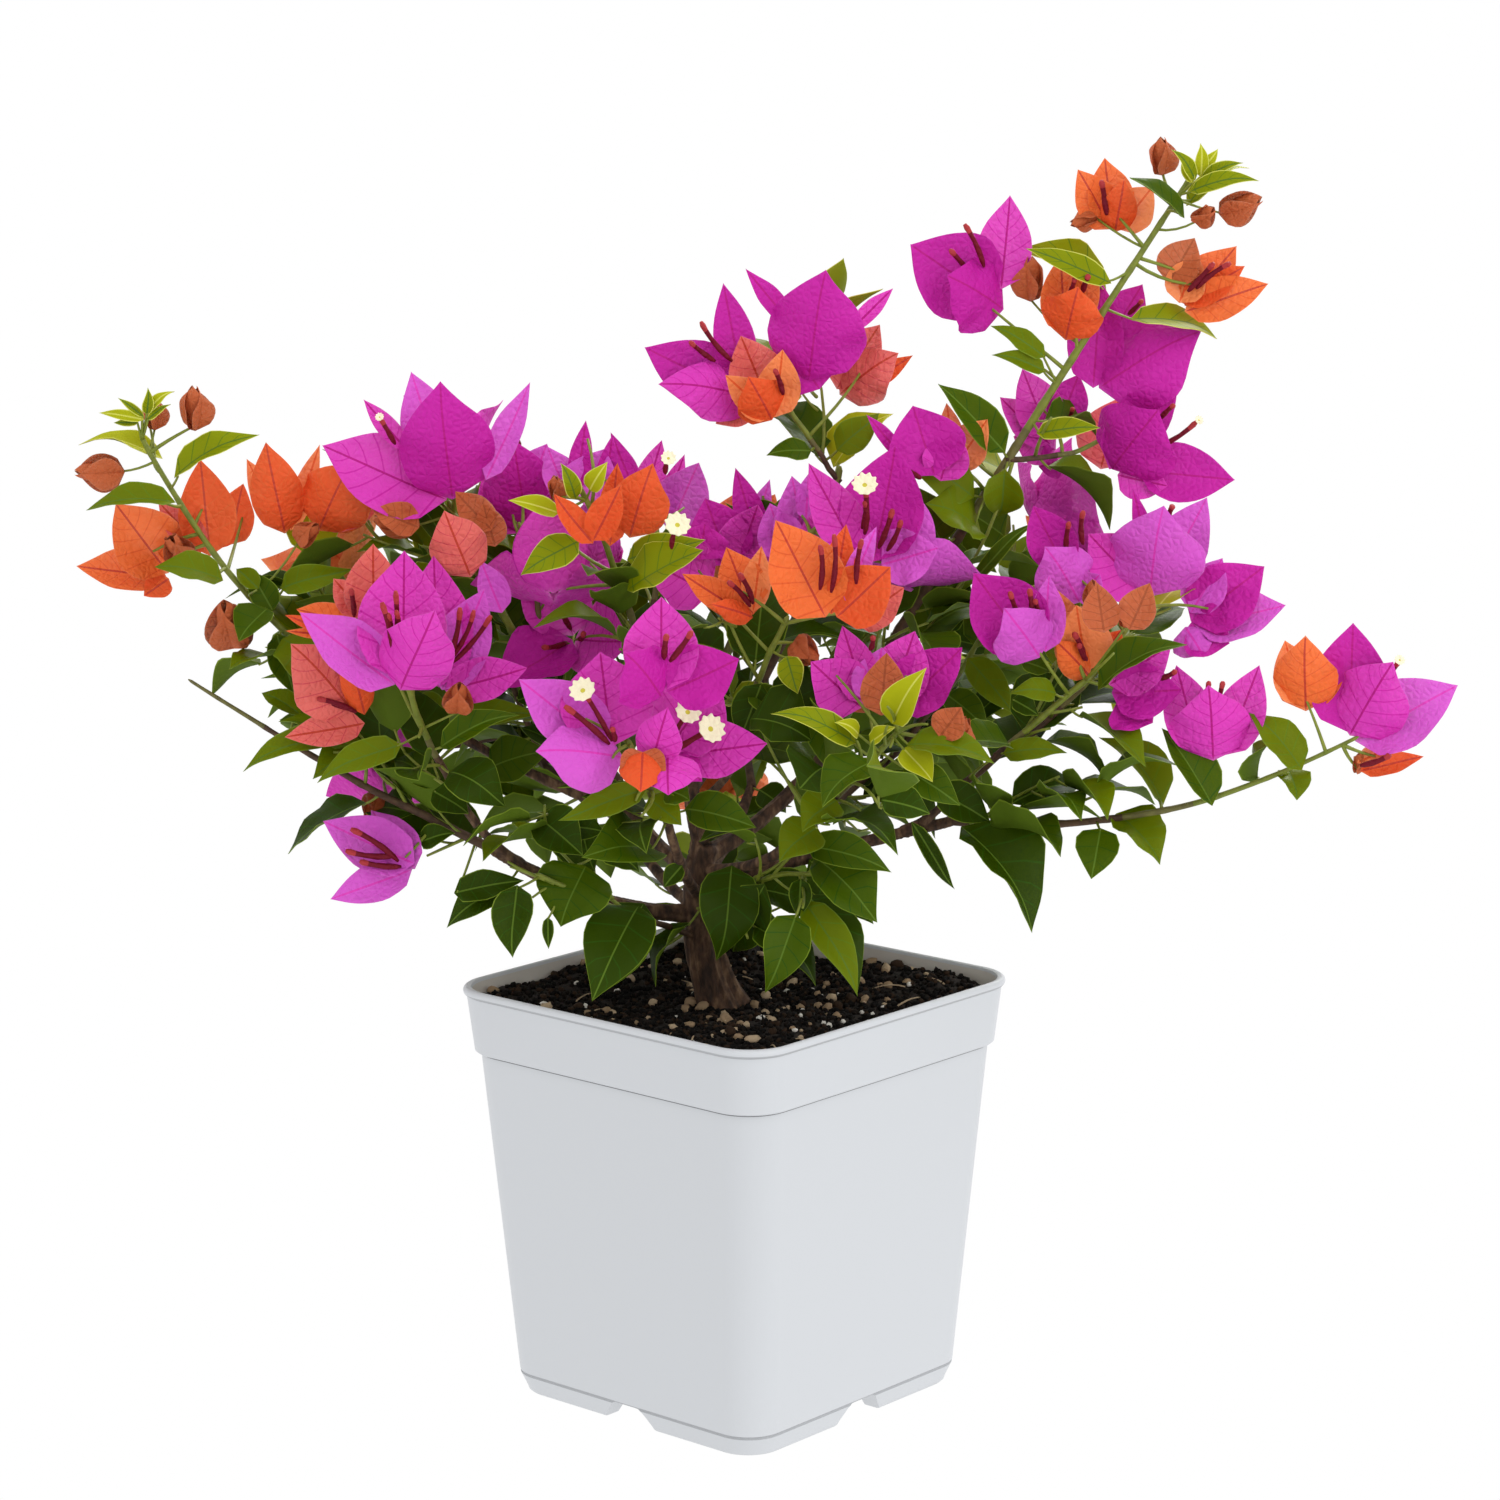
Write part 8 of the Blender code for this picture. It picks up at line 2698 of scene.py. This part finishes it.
def build_stage(settings):
    """A white floor that sweeps up behind, soft lights and the photograph's camera."""
    deselect_all()
    bpy.ops.mesh.primitive_plane_add(size=FLOOR_SIZE)
    floor = bpy.context.object
    floor.name = "backdrop"
    for edge in floor.data.edges:
        edge.select = all(floor.data.vertices[v].co.y > 0 for v in edge.vertices)
    for face in floor.data.polygons:
        face.select = False
    for vert in floor.data.vertices:
        vert.select = vert.co.y > 0
    bpy.ops.object.mode_set(mode="EDIT")
    bpy.ops.mesh.extrude_region_move(TRANSFORM_OT_translate={"value": (0, 0, BACKDROP_HEIGHT)})
    bpy.ops.object.mode_set(mode="OBJECT")
    bend = floor.modifiers.new("sweep", "BEVEL")
    bend.width = SWEEP_RADIUS
    bend.segments = 16
    bend.limit_method = "ANGLE"
    apply_modifiers(floor)
    smooth(floor)
    wear(floor, [plain_material("backdrop_white", (0.97, 0.97, 0.97), 0.9)])

    world = bpy.data.worlds.new("studio")
    world.use_nodes = True
    sky = world.node_tree.nodes["Background"]
    sky.inputs["Color"].default_value = (1.0, 1.0, 1.0, 1.0)
    sky.inputs["Strength"].default_value = settings.sky
    bpy.context.scene.world = world

    for name, at, aim, size in LAMPS:
        data = bpy.data.lights.new(name, "AREA")
        data.shape = "DISK"
        data.size = size
        data.energy = getattr(settings, name)
        obj = bpy.data.objects.new(name, data)
        obj.location = at
        obj.rotation_euler = (Vector(aim) - Vector(at)).to_track_quat("-Z", "Y").to_euler()
        bpy.context.scene.collection.objects.link(obj)

    camera_data = bpy.data.cameras.new("camera")
    camera_data.lens = CAMERA_LENS
    camera_data.sensor_width = 36.0
    camera_data.dof.use_dof = False
    camera_data.clip_start = 0.1
    camera_data.clip_end = 50.0
    camera = bpy.data.objects.new("camera", camera_data)
    camera.location = CAMERA_AT
    turned = (CAMERA_AIM - CAMERA_AT).to_track_quat("-Z", "Y").to_matrix().to_4x4()
    rolled = turned @ Matrix.Rotation(math.radians(CAMERA_ROLL), 4, "Z")
    camera.rotation_euler = rolled.to_euler()
    bpy.context.scene.collection.objects.link(camera)
    bpy.context.scene.camera = camera
    bpy.context.scene.view_settings.view_transform = "Standard"
    bpy.context.scene.view_settings.exposure = settings.exposure


# Add-on: what a user may change, one operator for each kind of piece, and a panel

class BonsaiPotSettings(bpy.types.PropertyGroup):
    """Sizes and colour of the pot."""

    roughness: FloatProperty(
        name="Roughness",
        description="How matte the pot is",
        default=0.42,
        min=0.0,
        max=1.0,
        subtype="FACTOR",
    )
    colour: FloatVectorProperty(
        name="Pot colour",
        description="Base colour of the pot",
        default=srgb(203, 206, 210),
        min=0.0,
        max=1.0,
        subtype="COLOR",
    )


class BonsaiPlantSettings(bpy.types.PropertyGroup):
    """How the bark, leaves and flowers are drawn."""

    bark_voxel: FloatProperty(
        name="Bark grain",
        description="Edge of the smallest face of the bark",
        default=BARK_VOXEL * MM,
        min=0.0003,
        max=0.002,
        unit="LENGTH",
        precision=5,
    )
    groove_depth: FloatProperty(
        name="Groove depth",
        description="How deep the grooves of the bark are",
        default=GROOVE_DEPTH * MM,
        min=0.0,
        max=0.002,
        unit="LENGTH",
        precision=5,
    )
    leaf_tint: FloatVectorProperty(
        name="Leaf tint",
        description="Tint over all the greens of the leaves, white for none",
        default=(1.0, 1.0, 1.0),
        min=0.0,
        max=1.0,
        subtype="COLOR",
    )
    bract_tint: FloatVectorProperty(
        name="Bract tint",
        description="Tint over all the colours of the blooms, white for none",
        default=(1.0, 1.0, 1.0),
        min=0.0,
        max=1.0,
        subtype="COLOR",
    )


class BonsaiSoilSettings(bpy.types.PropertyGroup):
    """What lies on the soil."""

    crumbs: IntProperty(
        name="Crumbs",
        description="How many crumbs of bark and peat lie on the soil",
        default=CRUMBS,
        min=0,
        max=12000,
    )
    pebbles: IntProperty(
        name="Pebbles",
        description="How many tan pebbles lie on the soil",
        default=PEBBLES,
        min=0,
        max=1000,
    )


class BonsaiStageSettings(bpy.types.PropertyGroup):
    """Lights of the white studio."""

    sky: FloatProperty(name="Sky", description="Strength of the white surroundings", default=1.0, min=0.0)
    key: FloatProperty(
        name="Key light", description="Power from the front left", default=26.0, min=0.0, unit="POWER"
    )
    fill: FloatProperty(
        name="Fill light", description="Power from the right", default=8.0, min=0.0, unit="POWER"
    )
    back: FloatProperty(
        name="Back light", description="Power from behind", default=18.0, min=0.0, unit="POWER"
    )
    exposure: FloatProperty(name="Exposure", description="Brightness of the picture, in stops", default=0.0)


def show_piece(piece, nodes):
    """Hands a finished piece over in place of its solids."""
    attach(piece, "root")
    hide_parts(*nodes)


def bough_nodes():
    return ["trunk"] + sorted({plan.node for plan in BOUGHS})


class BONSAI_OT_pot(bpy.types.Operator):
    """Draws the pot with its rolled lip, collar, seam and feet"""

    bl_idname = "bonsai.pot"
    bl_label = "Pot"

    def execute(self, context):
        show_piece(build_pot(context.scene.bonsai_pot), ["pot"])
        return {"FINISHED"}


class BONSAI_OT_soil(bpy.types.Operator):
    """Draws the soil and the crumbs, pebbles and grit on it"""

    bl_idname = "bonsai.soil"
    bl_label = "Soil"

    def execute(self, context):
        show_piece(build_soil_bed(), ["soil"])
        crumbs = build_crumbs(context.scene.bonsai_soil).finish("soil_crumbs", soil_materials())
        show_piece(crumbs, ["soil"])
        return {"FINISHED"}


class BONSAI_OT_bark(bpy.types.Operator):
    """Draws the trunk and the boughs as one skin of grooved bark"""

    bl_idname = "bonsai.bark"
    bl_label = "Trunk and boughs"

    def execute(self, context):
        show_piece(build_bark(context.scene.bonsai_plant), bough_nodes())
        return {"FINISHED"}


def show_foliage(kind, draw, looks):
    """One kind of thing, joined for each side of the plant."""
    for side in SIDES:
        joined = draw(side)
        piece = joined.finish(kind + "_" + side, looks)
        show_piece(piece, [mass.node for mass in masses_of(side)])


class BONSAI_OT_twigs(bpy.types.Operator):
    """Draws the green shoots, twigs and stalks"""

    bl_idname = "bonsai.twigs"
    bl_label = "Shoots and stalks"

    def execute(self, context):
        show_foliage("twigs", draw_twigs, twig_materials())
        return {"FINISHED"}


class BONSAI_OT_leaves(bpy.types.Operator):
    """Draws every leaf in its own outline"""

    bl_idname = "bonsai.leaves"
    bl_label = "Leaves"

    def execute(self, context):
        show_foliage("leaves", draw_leaves, leaf_materials(context.scene.bonsai_plant))
        return {"FINISHED"}


class BONSAI_OT_blooms(bpy.types.Operator):
    """Draws the coloured bracts, the slim tubes among them and the open flowers"""

    bl_idname = "bonsai.blooms"
    bl_label = "Blooms"

    def execute(self, context):
        show_foliage("blooms", draw_blooms, bract_materials(context.scene.bonsai_plant))
        return {"FINISHED"}


class BONSAI_OT_stage(bpy.types.Operator):
    """Sets up the white floor, the lights and the camera"""

    bl_idname = "bonsai.stage"
    bl_label = "Stage"

    def execute(self, context):
        build_stage(context.scene.bonsai_stage)
        return {"FINISHED"}


class BONSAI_PT_panel(bpy.types.Panel):
    """Lists the steps that dress the plant"""

    bl_label = "Bonsai"
    bl_idname = "BONSAI_PT_panel"
    bl_space_type = "VIEW_3D"
    bl_region_type = "UI"
    bl_category = "Bonsai"

    def draw(self, context):
        layout = self.layout
        scene = context.scene
        for operator in STEPS:
            layout.operator(operator.bl_idname)
        for group in (scene.bonsai_pot, scene.bonsai_plant, scene.bonsai_soil, scene.bonsai_stage):
            box = layout.box()
            for name in group.__annotations__:
                box.prop(group, name)


STEPS = (
    BONSAI_OT_pot,
    BONSAI_OT_soil,
    BONSAI_OT_bark,
    BONSAI_OT_twigs,
    BONSAI_OT_leaves,
    BONSAI_OT_blooms,
    BONSAI_OT_stage,
)
GROUPS = {
    "bonsai_pot": BonsaiPotSettings,
    "bonsai_plant": BonsaiPlantSettings,
    "bonsai_soil": BonsaiSoilSettings,
    "bonsai_stage": BonsaiStageSettings,
}


def register():
    for group in GROUPS.values():
        bpy.utils.register_class(group)
    for operator in STEPS:
        bpy.utils.register_class(operator)
    bpy.utils.register_class(BONSAI_PT_panel)
    for name, group in GROUPS.items():
        setattr(bpy.types.Scene, name, PointerProperty(type=group))


def unregister():
    for name in GROUPS:
        delattr(bpy.types.Scene, name)
    bpy.utils.unregister_class(BONSAI_PT_panel)
    for operator in reversed(STEPS):
        bpy.utils.unregister_class(operator)
    for group in reversed(list(GROUPS.values())):
        bpy.utils.unregister_class(group)


def main():
    register()
    bpy.ops.bonsai.pot()
    bpy.ops.bonsai.soil()
    bpy.ops.bonsai.bark()
    bpy.ops.bonsai.twigs()
    bpy.ops.bonsai.leaves()
    bpy.ops.bonsai.blooms()
    bpy.ops.bonsai.stage()


if __name__ == "__main__":
    main()
